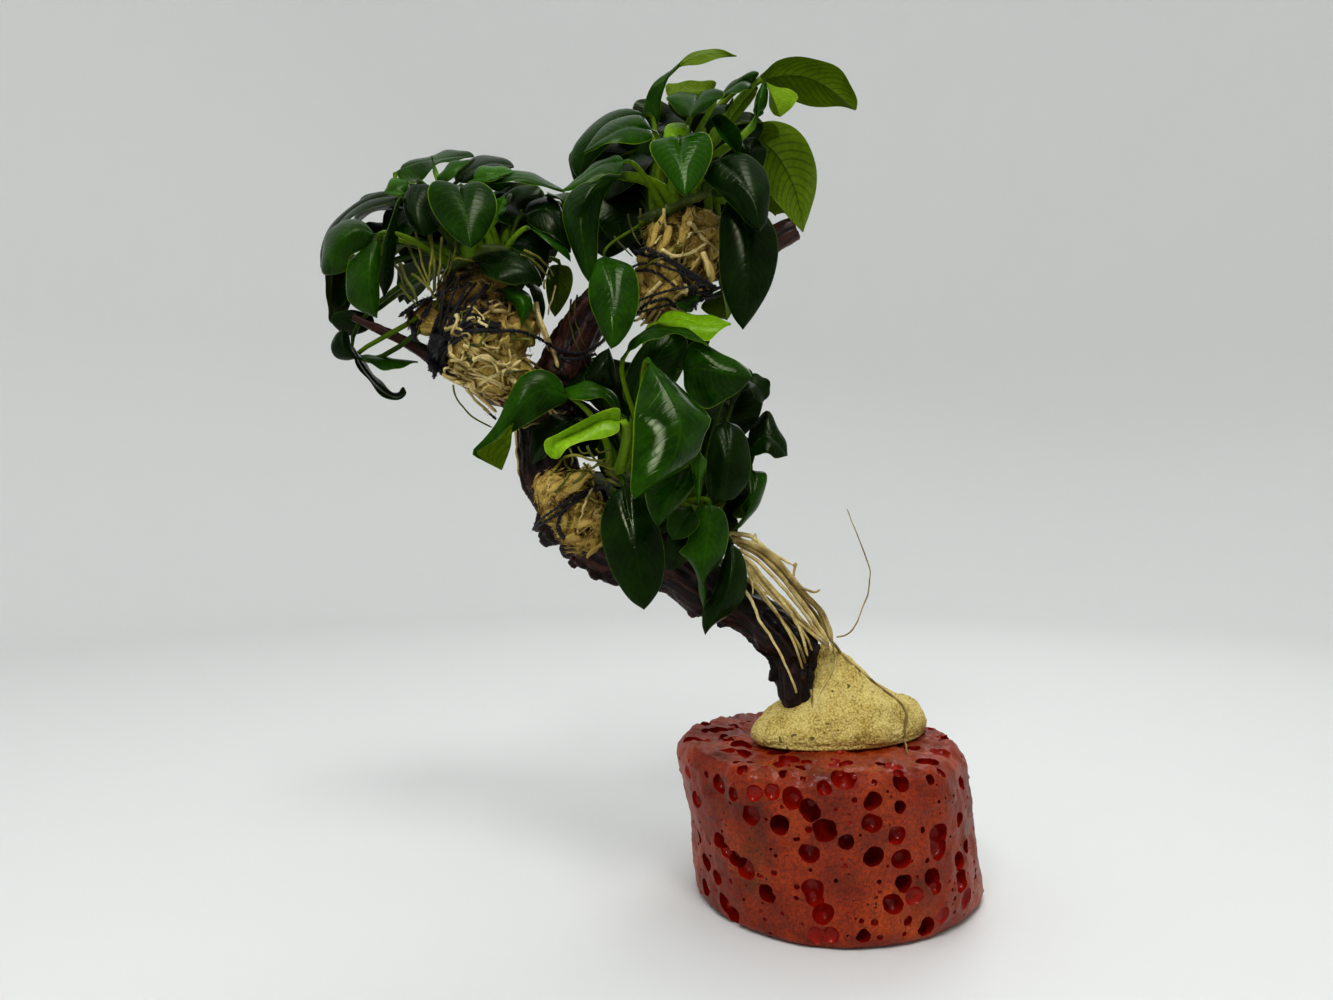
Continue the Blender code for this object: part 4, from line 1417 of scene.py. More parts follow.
@dataclass
class Driftwood:
    """One branching piece of driftwood, its limbs grown together and worn into ridges along the grain."""

    limbs: tuple = (TRUNK, UPPER_BRANCH, LEFT_BRANCH)
    splinters: tuple = (
        ((552, 512, -3, 3.0), (543, 522, -3, 2.4), (538, 529, -2, 1.0)),
        ((562, 528, -3, 3.5), (550, 538, -2, 2.6), (544, 543, -1, 1.2)),
        ((575, 540, -3, 3.5), (566, 552, -2, 2.2), (571, 559, -1, 0.7)),
        ((592, 548, -3, 3.5), (582, 563, -2, 2.6), (578, 566, -1, 1.0)),
        ((606, 556, -2, 3.5), (598, 572, -2, 2.8), (588, 573, -1, 1.2)),
        ((628, 562, -2, 3.5), (614, 577, -1, 2.4), (604, 577, 0, 1.0)),
        ((560, 520, 4, 3.5), (547, 534, 5, 2.4), (541, 538, 6, 1.0)),
        ((590, 545, 5, 3.5), (576, 562, 6, 2.4), (570, 561, 7, 1.0)),
        ((664, 578, -2, 3.0), (662, 590, -2, 2.0), (656, 592, -1, 0.8)),
        ((700, 598, -1, 3.0), (696, 610, -1, 2.0), (690, 609, 0, 0.8)),
        ((728, 614, -1, 3.0), (722, 626, -1, 1.8), (716, 625, 0, 0.8)),
        ((778, 666, -2, 2.4), (773, 674, -2, 1.2), (772, 680, -2, 0.6)),
        ((548, 372, 2, 2.6), (540, 368, 2, 1.6), (535, 371, 2, 0.7)),
        ((540, 396, 2, 3.0), (532, 386, 1, 1.8), (534, 379, 0, 0.7)),
    )
    voxel: float = 0.73
    gnarl: float = 1.25
    flutes: float = 0.85
    edges: float = 0.35
    grain: float = 0.22
    worn: float = 0.35
    blend: float = 0.8
    grain_length: float = 10.0
    seed: int = 31

    def build(self, looks: Looks) -> bpy.types.Object:
        """Makes the wood.

        Args:
            looks: the finishes.

        Returns:
            The wood.
        """
        shape = Shape()
        paths = []
        for limb in self.limbs:
            path = through(placed(limb.places), 6)
            paths.append(path)
            lumps = 1.0 + 0.10 * fractal(path[:, :3] * 0.12, 2, self.seed)
            shape.add(tube(path[:, :3], path[:, 3] * lumps, 24))
        for places in self.splinters:
            path = through(placed(places), 4)
            shape.add(tube(path[:, :3], path[:, 3], 10))
        made = shape.make("driftwood", looks.wood)
        step = made.modifiers.new("grown_together", "REMESH")
        step.mode = "VOXEL"
        step.voxel_size = self.voxel * MM
        applied(made)
        made.data.shade_smooth()
        self.wear(made, paths)
        return dress(made, "driftwood", *(limb.node for limb in self.limbs))

    def lie(self, places: np.ndarray, paths: list[np.ndarray]) -> tuple[np.ndarray, np.ndarray, np.ndarray]:
        """How each place lies in the limbs, the near ones counting most.

        Args:
            places: the wood's points.
            paths: each limb's points and radii.

        Returns:
            The places across and along the grain, how bare of bark each is and how thick its limb is.
        """
        totals = np.zeros((len(places), 5))
        weights = np.zeros((len(places), 1))
        for limb, path in zip(self.limbs, paths):
            along, across, up = frames(path[:, :3])
            far = np.linalg.norm(places[:, None] - path[None, :, :3], axis=2)
            nearest = far.argmin(1)
            offset = places - path[nearest, :3]
            x, y, step = (np.einsum("ij,ij->i", offset, axis[nearest]) for axis in (across, up, along))
            beyond = far.min(1) - path[nearest, 3]
            weight = np.exp(-np.clip(beyond, -3.0, 30.0) / self.blend)[:, None]
            run = (run_of(path)[nearest] + step) / self.grain_length
            bare = np.full(len(places), limb.bare)
            totals += np.stack((x, y, run, bare, path[nearest, 3]), axis=1) * weight
            weights += weight
        totals /= weights
        return totals[:, :3], totals[:, 3], totals[:, 4]

    def wear(self, made: bpy.types.Object, paths: list[np.ndarray]) -> None:
        """Carves the grain and stores where each point is along and across it.

        Args:
            made: the plain wood.
            paths: each limb's points and radii.
        """
        places = points_of(made)
        out = normals_of(made)
        grain, bare, thick = self.lie(places, paths)
        knots = fractal(places * 0.13, 3, self.seed)
        ridged = 1.0 - 2.0 * np.abs(fractal(grain * 0.34, 2, self.seed + 1))
        sharp = 1.0 - 2.0 * np.abs(fractal(grain * (0.8, 0.8, 0.6), 2, self.seed + 2))
        fine = fractal(grain * (2.2, 2.2, 1.2), 2, self.seed + 3)
        slim = np.clip((thick - 1.0) / 7.0, 0.12, 1.0)
        rise = (knots * self.gnarl + ridged * self.flutes + sharp * self.edges) * slim + fine * self.grain
        move_points(made, places + out * (rise - self.worn)[:, None])
        stored = {"grain_x": grain[:, 0], "grain_y": grain[:, 1], "grain_z": grain[:, 2]}
        stored.update(ridge=ridged * 0.6 + sharp * 0.4, bare=bare)
        for name, values in stored.items():
            layer = made.data.attributes.new(name, "FLOAT", "POINT")
            layer.data.foreach_set("value", values.astype(np.float32))


# Planting wool


@dataclass
class WoolPlug:
    """A torn plug of planting wool, wrapped round balls that stand for its lumps."""

    clump: str
    balls: tuple
    rows: int = 96
    columns: int = 150
    crumple: float = 1.5
    fibres: int = 700
    flakes: int = 60
    folds: tuple = ()
    stain: float = 0.0
    seed: int = 5

    def build(self, looks: Looks) -> bpy.types.Object:
        """Makes the plug and the loose fibres that stand out of it.

        Args:
            looks: the finishes.

        Returns:
            The plug.
        """
        middles = placed(self.balls)
        heart = middles[0, :3]
        tilt = (np.arange(1, self.rows) * math.pi / self.rows)[:, None]
        turn = (np.arange(self.columns) * math.tau / self.columns)[None, :]
        rings = np.stack((np.sin(tilt) * np.cos(turn), np.sin(tilt) * np.sin(turn),
                          np.cos(tilt) * np.ones_like(turn)), axis=2)
        points, quads, tris = loft(rings)
        out = points / np.maximum(np.linalg.norm(points, axis=1, keepdims=True), 1e-6)
        places = heart + out * self.reach(out, middles)[:, None]
        folds = 1.0 - 2.0 * np.abs(fractal(places * 0.16, 2, self.seed))
        creases = 1.0 - 2.0 * np.abs(fractal(places * 0.5, 3, self.seed + 4))
        matted = fractal(places * 1.3, 2, self.seed + 9)
        rise = self.crumple * folds + 0.7 * creases + 0.3 * matted - 0.9
        places = places + out * rise[:, None]
        shape = Shape()
        # The plug is made darker towards its top, by stain times its height above the heart; low values come
        # out darker, which also paints shade in the creases
        wet = self.stain * np.clip((places[:, 2] - heart[2] - 1.0) / 7.0, -0.4, 1.0)
        shape.add((places, quads, tris), ridge=0.5 * folds + 0.5 * creases - wet)
        dice = np.random.default_rng(self.seed)
        for index in dice.integers(0, len(places) - 2, self.flakes):
            self.flake(shape, places[index], out[index], float(wet[index]), dice)
        for places_seen, half in self.folds:
            path = through(placed(places_seen), 8)[:, :3]
            share = np.linspace(0.0, 1.0, len(path))
            halves = half * np.sin(np.clip(share * 1.1 + 0.12, 0, 1) * math.pi)[:, None] ** 0.5 * np.ones(2)
            halves *= 1.0 + 0.25 * fractal(path * 0.5, 2, self.seed)[:, None]
            looks_out = np.array([unit(point - heart) for point in path]) * 0.4 + np.array((-0.3, -0.8, 0.3))
            shape.add(strip(path, looks_out, halves, 1.3), ridge=0.3)
        for index in dice.integers(0, len(places) - 2, self.fibres):
            self.fibre(shape, places[index], out[index], float(wet[index]), dice)
        made = shape.make(f"wool_{self.clump}_plug", looks.wool, sharp=180.0)
        return dress(made, "wool", f"wool_{self.clump}")

    def reach(self, out: np.ndarray, middles: np.ndarray) -> np.ndarray:
        """How far the balls reach from the first one's middle in each direction.

        Args:
            out: the directions, one a row.
            middles: the balls' middles and radii.

        Returns:
            The distance in each direction.
        """
        reach = np.full(len(out), middles[0, 3])
        for middle in middles[1:]:
            offset = middle[:3] - middles[0, :3]
            forward = out @ offset
            inside = forward**2 - offset @ offset + middle[3] ** 2
            reach = np.where(inside > 0, np.maximum(reach, forward + np.sqrt(np.maximum(inside, 0.0))), reach)
        return reach

    def fibre(self, shape: Shape, start: np.ndarray, out: np.ndarray, wet: float,
              dice: np.random.Generator) -> None:
        """Adds a loose fibre whose middle arches off the plug.

        Args:
            shape: the mesh that it goes into.
            start: the place on the plug that it passes.
            out: the direction off the plug there.
            wet: how much darker the plug is made there.
            dice: what the unevenness is drawn from.
        """
        lean = unit(np.cross(out, dice.normal(size=3)))
        bend = unit(dice.normal(size=3))
        length = dice.uniform(3.0, 9.0)
        share = np.linspace(-0.5, 0.5, 6)[:, None]
        arc = out * (0.45 - 1.6 * share**2) * dice.uniform(0.4, 1.3)
        path = start + (lean + bend * share * 0.5) * share * length + arc
        thick = dice.uniform(0.07, 0.17)
        shape.add(tube(path, np.full(6, thick), 3), ridge=dice.uniform(0.2, 1.0) - wet)

    def flake(self, shape: Shape, start: np.ndarray, out: np.ndarray, wet: float,
              dice: np.random.Generator) -> None:
        """Adds a torn flake of wool that lies on the plug at one end and lifts off it at the other.

        Args:
            shape: the mesh that it goes into.
            start: the place on the plug that it lies on.
            out: the direction off the plug there.
            wet: how much darker the plug is made there.
            dice: what the unevenness is drawn from.
        """
        lean = unit(np.cross(out, dice.normal(size=3)))
        length = dice.uniform(4.0, 10.0)
        share = np.linspace(0.0, 1.0, 9)
        peel = dice.uniform(0.4, 2.6)
        path = start + lean * ((share - 0.5) * length)[:, None] + out * (0.1 + peel * share**2.2)[:, None]
        half = dice.uniform(1.2, 3.4)
        wide = np.sin(np.clip(share * 0.9 + 0.1, 0, 1) * math.pi) ** 0.5
        halves = half * wide[:, None] * (1.0 + 0.35 * dice.normal(size=(9, 2)))
        halves = np.clip(halves, 0.15, 5.0)
        body = strip(path, np.repeat(out[None], 9, axis=0), halves, 0.5)
        shape.add(body, ridge=dice.uniform(-0.6, 0.9) - wet)


WOOL_PLUGS = (
    WoolPlug("left", (
        (486, 334, -7, 12.0),
        (464, 300, -5, 9.0),
        (490, 292, -5, 9.0),
        (512, 326, -7, 8.5),
        (500, 370, -7, 9.0),
        (522, 382, -7, 6.0),
        (470, 362, -6, 6.5),
        (430, 318, -4, 6.0),
    ), seed=5, flakes=70, stain=0.9),
    WoolPlug("top", (
        (676, 266, -6, 12.0),
        (700, 240, -5, 8.5),
        (662, 298, -6, 8.0),
        (668, 240, -5, 8.0),
    ), seed=23, flakes=90, folds=(
        (((664, 216, -20), (656, 230, -20), (652, 244, -19), (647, 252, -17)), 1.1),
        (((690, 208, -20), (686, 224, -21), (682, 240, -21), (684, 254, -20)), 1.7),
        (((703, 252, -19), (708, 266, -19), (712, 278, -17), (708, 286, -15)), 1.2),
        (((670, 226, -21), (666, 240, -20), (662, 252, -19)), 1.3),
        (((676, 282, -19), (664, 292, -18), (652, 304, -17), (642, 318, -15)), 1.6),
    )),
    WoolPlug("middle", (
        (572, 505, -11, 8.0),
        (585, 526, -12, 7.4),
        (556, 492, -10, 6.5),
    ), seed=47, flakes=30, folds=(
        (((590, 470, -19), (574, 482, -20), (560, 496, -19), (552, 512, -17)), 2.6),
        (((572, 478, -18), (556, 488, -18), (546, 500, -16), (541, 514, -13)), 2.2),
        (((556, 506, -18), (562, 520, -18), (560, 534, -16), (556, 538, -13)), 2.0),
        (((548, 492, -18), (560, 486, -20), (570, 482, -20), (575, 480, -20)), 1.0),
    )),
)


# Thread


@dataclass
class Tie:
    """Cotton thread that holds a plug on its branch: tight turns right round, and strands in front."""

    name: str
    node: str
    depth: float
    turns: tuple
    strands: tuple
    seed: int = 3
    lean: float = 0.12
    radius: float = 0.45
    slice: float = 0.8
    grasp: float = 24.0
    least: int = 12
    loop_points: int = 72

    def loops(self, held: np.ndarray, dice: np.random.Generator) -> list[np.ndarray]:
        """The tight turns right round what is held.

        Args:
            held: the points of what is tied.
            dice: what their unevenness is drawn from.

        Returns:
            Each turn's points, its ends together at the back.
        """
        loops = []
        for u0, v0, u1, v1, count, spread in self.turns:
            for _ in range(count):
                ends = np.array((u0, v0, u1, v1)) + dice.normal(size=4) * spread
                back = np.array((0.0, 1.0, 0.0)) + dice.normal(size=3) * self.lean
                start, end = (seen(u, v, self.depth) for u, v in (ends[:2], ends[2:]))
                across = unit(end - start)
                plane = unit(np.cross(end - start, back))
                loop = self.loop(held - (start + end) / 2, across, plane)
                if loop is not None:
                    loops.append((start + end) / 2 + loop)
        return loops

    def loop(self, held: np.ndarray, across: np.ndarray, plane: np.ndarray) -> np.ndarray | None:
        """A tight turn round the points that a plane through the middle cuts, or None where there are few.

        Args:
            held: the points of what is tied, from the turn's middle.
            across: the direction of the turn's width.
            plane: the direction square to the turn.

        Returns:
            The points, from the same middle.
        """
        up = np.cross(plane, across)
        near = held[(np.abs(held @ plane) < self.slice) & (np.linalg.norm(held, axis=1) < self.grasp)]
        if len(near) < self.least:
            return None
        corners = hull(np.stack((near @ across, near @ up), axis=1))
        closed = evenly(np.vstack((corners, corners[:1])), self.loop_points + 1)[:-1]
        closed = closed + units(closed - closed.mean(0)) * (self.radius * 0.3)
        for _ in range(2):
            closed = (np.roll(closed, 1, 0) + closed * 2 + np.roll(closed, -1, 0)) / 4
        ring = closed[:, :1] * across + closed[:, 1:] * up
        ring = np.roll(ring, -int(ring[:, 1].argmax()), axis=0)
        return np.vstack((ring, ring[:2]))

    def build(self, looks: Looks, onto: BVHTree, *held: bpy.types.Object) -> bpy.types.Object:
        """Winds the thread round the held objects and lays its front strands on what the view shows.

        Args:
            looks: the finishes.
            onto: the surfaces that the strands lie on.
            held: the wood and the plug.

        Returns:
            The thread.
        """
        dice = np.random.default_rng(self.seed)
        paths = self.loops(np.vstack([points_of(thing) for thing in held]), dice)
        for places, count, spread in self.strands:
            for number in range(count):
                shift = dice.normal(size=2) * spread
                sway = dice.normal(size=(len(places), 2)) * spread * 0.6
                moved = [(u + shift[0] + du, v + shift[1] + dv, depth)
                         for (u, v, depth), (du, dv) in zip(places, sway)]
                paths.append(draped(tuple(moved), onto, self.radius * (0.6 + 0.9 * (number % 3)), 8))
        made = plied(self.name, paths, looks, self.radius, 0.85, self.seed)
        return dress(made, "thread", self.node)


def hull(points: np.ndarray) -> np.ndarray:
    """The corners of the least convex outline round flat points, in order.

    Args:
        points: flat points, one a row.

    Returns:
        The corners, one a row.
    """
    order = points[np.lexsort((points[:, 1], points[:, 0]))]
    outline = []
    for half in (order, order[::-1]):
        chain: list[np.ndarray] = []
        for point in half:
            while len(chain) > 1 and np.cross(chain[-1] - chain[-2], point - chain[-2]) <= 0:
                chain.pop()
            chain.append(point)
        outline.extend(chain[:-1])
    return np.array(outline)


# Of the thread: the length of one twist in mm, and the hairs of lint in a mm
TWIST = 3.2
HAIRS = 0.8


def plied(name: str, paths: list, looks: Looks, radius: float, spacing: float, seed: int) -> bpy.types.Object:
    """Thread of two twisted plies along paths, with the fuzz that cotton has.

    Args:
        name: the object's name.
        paths: the lines that the thread follows.
        looks: the finishes.
        radius: the thread's radius in mm.
        spacing: the distance between the points of a ply in mm.
        seed: what the fuzz is drawn from.

    Returns:
        The thread as one object.
    """
    shape = Shape()
    dice = np.random.default_rng(seed)
    for path in paths:
        length = float(run_of(path)[-1])
        count = max(8, int(length / spacing))
        even = evenly(path, count)
        along, across, up = frames(even)
        twist = (np.arange(count) * length / count * math.tau / TWIST)[:, None]
        for ply in (0.0, math.pi):
            shift = (across * np.cos(twist + ply) + up * np.sin(twist + ply)) * radius * 0.48
            thick = radius * 0.62 * (1.0 + 0.10 * dice.normal(size=count))
            shape.add(tube(even + shift, thick, 5))
        for index in dice.integers(1, count - 1, int(length * HAIRS)):
            out = unit(across[index] * dice.normal() + up[index] * dice.normal())
            tip = even[index] + out * (radius + dice.uniform(0.3, 1.3)) + along[index] * dice.normal() * 0.6
            bend = even[index] + out * radius * 0.9 + dice.normal(size=3) * 0.15
            shape.add(tube(np.array((even[index], bend, tip)), np.array((0.09, 0.07, 0.03)), 3))
    return shape.make(name, looks.thread)


LEFT_TIE = Tie("thread_left_turns", "thread_left", -6.0, turns=(
    (434, 372, 446, 318, 3, 2.0),
    (437, 372, 462, 326, 4, 2.0),
), strands=(
    (((400, 316, -8), (414, 307, -11), (430, 299, -14), (445, 292, -16), (458, 288, -17), (468, 284, -16)),
        3, 1.0),
    (((410, 308, -10), (411, 320, -11), (412, 332, -9), (416, 342, -7), (426, 352, -7)), 2, 0.8),
    (((430, 306, -14), (422, 318, -14), (415, 330, -11), (414, 342, -7)), 2, 0.8),
    (((444, 308, -16), (438, 320, -16), (433, 334, -14), (430, 350, -10)), 3, 1.0),
    (((433, 372, -6), (436, 358, -12), (446, 344, -16), (460, 334, -19), (476, 328, -20), (496, 329, -20)),
        9, 2.4),
    (((437, 371, -7), (438, 354, -13), (442, 338, -16), (450, 326, -18), (462, 316, -19)), 7, 2.6),
    (((428, 362, -6), (436, 352, -12), (448, 340, -16), (462, 326, -19), (474, 316, -20)), 6, 3.0),
    (((431, 366, -7), (430, 352, -11), (434, 338, -14), (441, 326, -16)), 5, 1.8),
    (((426, 360, -6), (432, 350, -11), (444, 346, -15), (456, 338, -18)), 5, 2.0),
    (((454, 314, -18), (468, 316, -20), (484, 320, -20), (498, 327, -19)), 2, 1.2),
    (((462, 309, -19), (469, 299, -20), (478, 296, -20), (482, 289, -19)), 2, 0.6),
    (((440, 300, -16), (452, 308, -18), (468, 310, -20), (486, 312, -20)), 1, 1.0),
    (((483, 292, -19), (487, 298, -19), (488, 303, -19)), 1, 0.4),
    (((466, 332, -19), (484, 331, -19), (500, 331, -19), (516, 330, -17)), 2, 0.6),
    (((483, 407, -6), (488, 412, -5), (496, 419, -4)), 2, 0.4),
), seed=3)
TOP_TIE = Tie("thread_top_turns", "thread_top", -2.0, turns=(
    (640, 312, 674, 304, 2, 1.0),
    (640, 258, 706, 292, 2, 1.5),
    (634, 268, 700, 296, 1, 1.0),
), strands=(
    (((634, 252, -16), (646, 254, -18), (660, 258, -20), (674, 264, -20), (690, 277, -19), (706, 291, -16)),
        2, 1.0),
    (((634, 270, -15), (646, 268, -17), (657, 271, -19), (667, 278, -19), (676, 286, -18)), 2, 0.8),
    (((678, 268, -20), (686, 281, -19), (690, 296, -17), (694, 306, -14)), 2, 0.8),
    (((638, 313, -12), (647, 304, -15), (658, 300, -17), (668, 300, -17), (676, 308, -14)), 3, 0.8),
    (((688, 290, -17), (698, 294, -16), (708, 290, -15), (716, 287, -13)), 3, 2.4),
    (((690, 300, -15), (700, 300, -15), (710, 296, -14), (718, 294, -12)), 3, 2.4),
    (((692, 286, -17), (696, 298, -16), (696, 308, -13)), 3, 2.0),
    (((702, 286, -17), (706, 296, -15), (702, 304, -13)), 2, 2.0),
), seed=8)
MIDDLE_TIE = Tie("thread_middle_turns", "thread_middle", -6.0, turns=(
    (600, 487, 566, 507, 2, 0.8),
), strands=(
    (((604, 486, -20), (590, 491, -20), (578, 499, -20), (567, 506, -20), (560, 516, -19), (559, 528, -17),
        (564, 538, -14)), 4, 1.0),
), seed=4)
BRIDGE = (
    (470, 330, -19),
    (495, 331, -18),
    (517, 331, -16),
    (538, 338, -11),
    (553, 347, -6),
    (566, 352, -4),
    (580, 353, -4),
    (592, 349, -2),
    (603, 341, 5),
    (604, 334, 13),
    (590, 330, 17),
    (566, 338, 14),
    (553, 349, 6),
    (556, 356, -3),
    (575, 359, -5),
    (596, 354, -1),
)


# Roots


@dataclass(frozen=True)
class Root:
    """A root that the front view shows: (u, v, depth) along it and its radius at its two ends."""

    places: tuple
    thick: float = 0.75
    thin: float = 0.45
    green: bool = False


LEFT_ROOTS = (
    Root(((456, 322, -19), (466, 321, -20), (478, 318, -21), (490, 311, -21), (500, 304, -21),
        (508, 303, -20), (522, 305, -17), (530, 314, -14)), 0.62, 0.5),
    Root(((488, 302, -20), (497, 300, -20), (502, 305, -20)), 0.4, 0.3),
    Root(((536, 303, -10), (540, 318, -12), (546, 332, -12), (551, 346, -11), (555, 357, -9),
        (557, 368, -8)), 0.9, 0.7),
    Root(((533, 305, -10), (538, 322, -12), (545, 338, -11), (550, 352, -9)), 0.7, 0.4),
    Root(((444, 375, -12), (451, 379, -14), (463, 381, -16), (476, 386, -16), (490, 393, -14),
        (506, 401, -10)), 0.75, 0.6),
    Root(((446, 377, -12), (458, 383, -14), (472, 387, -15), (488, 396, -13), (501, 404, -10)), 0.8, 0.5),
    Root(((474, 388, -15), (485, 381, -17), (498, 374, -18), (512, 366, -17), (521, 360, -15)), 0.85, 0.7),
    Root(((446, 376, -12), (445, 369, -14), (450, 368, -16), (456, 372, -17), (460, 378, -16)), 0.5, 0.35),
    Root(((460, 350, -18), (470, 355, -19), (480, 360, -19), (494, 367, -19), (508, 375, -16)), 0.85, 0.6),
    Root(((462, 352, -18), (476, 354, -19), (492, 360, -19), (508, 368, -17), (524, 374, -14)), 0.75, 0.5),
    Root(((470, 331, -19), (466, 338, -19), (470, 345, -19), (480, 351, -19), (490, 353, -19),
        (498, 349, -19), (502, 342, -18), (503, 336, -18)), 0.7, 0.55),
    Root(((454, 386, -12), (456, 395, -10), (461, 403, -8), (468, 412, -6), (477, 420, -4), (492, 427, -2)),
        0.5, 0.45, green=True),
    Root(((466, 389, -13), (475, 400, -11), (483, 407, -9), (490, 413, -7)), 0.6, 0.5),
    Root(((470, 388, -13), (484, 401, -12), (497, 412, -8)), 0.8, 0.6),
    Root(((479, 390, -14), (492, 399, -12), (502, 406, -9)), 0.6, 0.5),
    Root(((513, 356, -16), (520, 354, -16), (532, 355, -13)), 0.5, 0.4),
    Root(((512, 357, -16), (524, 360, -15), (531, 366, -13), (536, 374, -10)), 0.55, 0.4),
    Root(((505, 367, -17), (512, 376, -15), (518, 384, -12)), 0.5, 0.4),
    Root(((514, 368, -16), (522, 374, -13), (530, 380, -9)), 0.5, 0.4),
    Root(((490, 353, -19), (500, 359, -18), (506, 366, -17)), 0.9, 0.8),
    Root(((456, 366, -17), (470, 372, -18), (486, 378, -18), (504, 386, -14)), 0.7, 0.5),
    Root(((452, 372, -15), (466, 375, -17), (484, 380, -17), (508, 390, -12)), 0.6, 0.5),
    Root(((464, 345, -19), (476, 351, -19), (490, 358, -19), (504, 364, -18), (520, 372, -14)), 0.6, 0.5),
    Root(((448, 354, -16), (458, 361, -18), (470, 367, -18), (482, 377, -17), (490, 388, -15)), 0.7, 0.5),
    Root(((496, 340, -18), (508, 348, -17), (520, 356, -16), (534, 364, -12), (546, 376, -8)), 0.7, 0.5),
    Root(((508, 378, -15), (518, 384, -12), (530, 388, -8), (544, 392, -4)), 0.8, 0.6),
    Root(((500, 388, -14), (514, 396, -10), (528, 400, -6)), 0.8, 0.6),
    Root(((518, 430, -7), (535, 424, -9), (552, 420, -10), (568, 412, -12)), 0.55, 0.5, green=True),
    Root(((549, 411, -12), (553, 417, -13), (558, 421, -14)), 0.65, 0.5),
    Root(((551, 410, -12), (560, 417, -14), (569, 423, -15), (578, 429, -16)), 0.75, 0.5),
    Root(((515, 428, -7), (516, 444, -8), (517, 460, -8), (519, 476, -6)), 0.5, 0.35),
    Root(((450, 262, -19), (456, 258, -20), (462, 259, -20), (475, 261, -19)), 0.4, 0.3, green=True),
    Root(((450, 250, -19), (448, 264, -19), (442, 278, -18), (436, 291, -17)), 0.6, 0.4, green=True),
    Root(((424, 222, -14), (430, 240, -16), (434, 258, -17), (435, 276, -17), (434, 292, -16)), 1.0, 0.8,
        green=True),
    Root(((400, 264, -12), (406, 278, -14), (412, 290, -15), (416, 302, -14)), 1.1, 0.8, green=True),
    Root(((413, 274, -14), (422, 280, -15), (430, 290, -16), (434, 298, -15)), 0.8, 0.6, green=True),
    Root(((396, 296, -10), (404, 294, -12), (412, 298, -13)), 0.6, 0.4, green=True),
    Root(((393, 262, -9), (399, 272, -12), (404, 286, -13), (410, 300, -12)), 0.9, 0.5, green=True),
    Root(((400, 285, -11), (408, 296, -13), (416, 306, -13)), 0.7, 0.5, green=True),
    Root(((430, 232, -16), (432, 250, -17), (430, 270, -17), (427, 290, -16)), 0.9, 0.6, green=True),
    Root(((406, 240, -12), (413, 256, -14), (421, 272, -16), (428, 288, -16)), 0.8, 0.5, green=True),
    Root(((416, 230, -13), (419, 248, -15), (424, 268, -16), (430, 284, -16)), 0.7, 0.5, green=True),
    Root(((456, 240, -19), (454, 254, -20), (449, 270, -19), (444, 286, -18)), 0.7, 0.5, green=True),
    Root(((442, 236, -18), (441, 252, -18), (440, 270, -18), (438, 290, -17)), 0.8, 0.5, green=True),
    Root(((520, 255, -14), (534, 262, -12), (544, 272, -9), (550, 280, -6)), 0.9, 0.5, green=True),
    Root(((524, 250, -13), (538, 257, -11), (547, 266, -8), (553, 276, -4)), 0.8, 0.4, green=True),
    Root(((544, 280, -8), (543, 286, -8), (544, 290, -8)), 0.7, 0.5, green=True),
    Root(((556, 285, -4), (552, 298, -4), (549, 306, -4), (548, 315, -4)), 0.35, 0.3),
    Root(((487, 293, -20), (491, 287, -20), (492, 282, -19)), 0.5, 0.4, green=True),
    Root(((493, 290, -19), (500, 286, -19), (506, 285, -18)), 0.4, 0.3, green=True),
    Root(((482, 278, -19), (486, 282, -20), (490, 284, -20)), 0.35, 0.3),
)
TOP_ROOTS = (
    Root(((690, 223, -20), (697, 233, -21), (706, 241, -20), (712, 246, -19), (719, 253, -17)), 1.0, 0.6),
    Root(((670, 256, -20), (680, 257, -21), (690, 254, -21), (700, 248, -20), (708, 242, -19)), 0.8, 0.55),
    Root(((703, 253, -19), (707, 264, -19), (709, 275, -18), (708, 285, -16)), 0.9, 0.6),
    Root(((700, 258, -20), (694, 267, -20), (688, 274, -19)), 0.5, 0.4),
    Root(((711, 246, -19), (711, 258, -18), (714, 270, -16)), 0.4, 0.3),
    Root(((661, 281, -18), (654, 290, -18), (646, 299, -17), (639, 309, -15)), 0.8, 0.7),
    Root(((657, 310, -16), (650, 317, -16), (640, 327, -14)), 0.7, 0.5),
    Root(((664, 306, -16), (656, 318, -15), (648, 328, -13)), 0.5, 0.35),
    Root(((655, 290, -18), (648, 302, -17), (644, 314, -15), (636, 322, -13)), 0.7, 0.5),
    Root(((655, 212, -20), (658, 220, -20), (661, 225, -20)), 0.6, 0.4, green=True),
    Root(((667, 222, -21), (672, 228, -21), (676, 234, -21)), 0.4, 0.3, green=True),
    Root(((571, 300, -4), (569, 318, -4), (574, 338, -5), (584, 360, -6), (592, 374, -4)), 0.5, 0.4,
        green=True),
    Root(((577, 296, -4), (574, 312, -5), (580, 334, -5), (590, 356, -4), (596, 372, -2)), 0.5, 0.4,
        green=True),
    Root(((640, 208, -19), (640, 224, -19), (644, 240, -19), (648, 252, -18)), 0.6, 0.4, green=True),
    Root(((628, 214, -16), (632, 230, -17), (640, 246, -18)), 0.6, 0.4, green=True),
    Root(((614, 236, -14), (622, 246, -15), (632, 256, -16)), 0.5, 0.4, green=True),
)
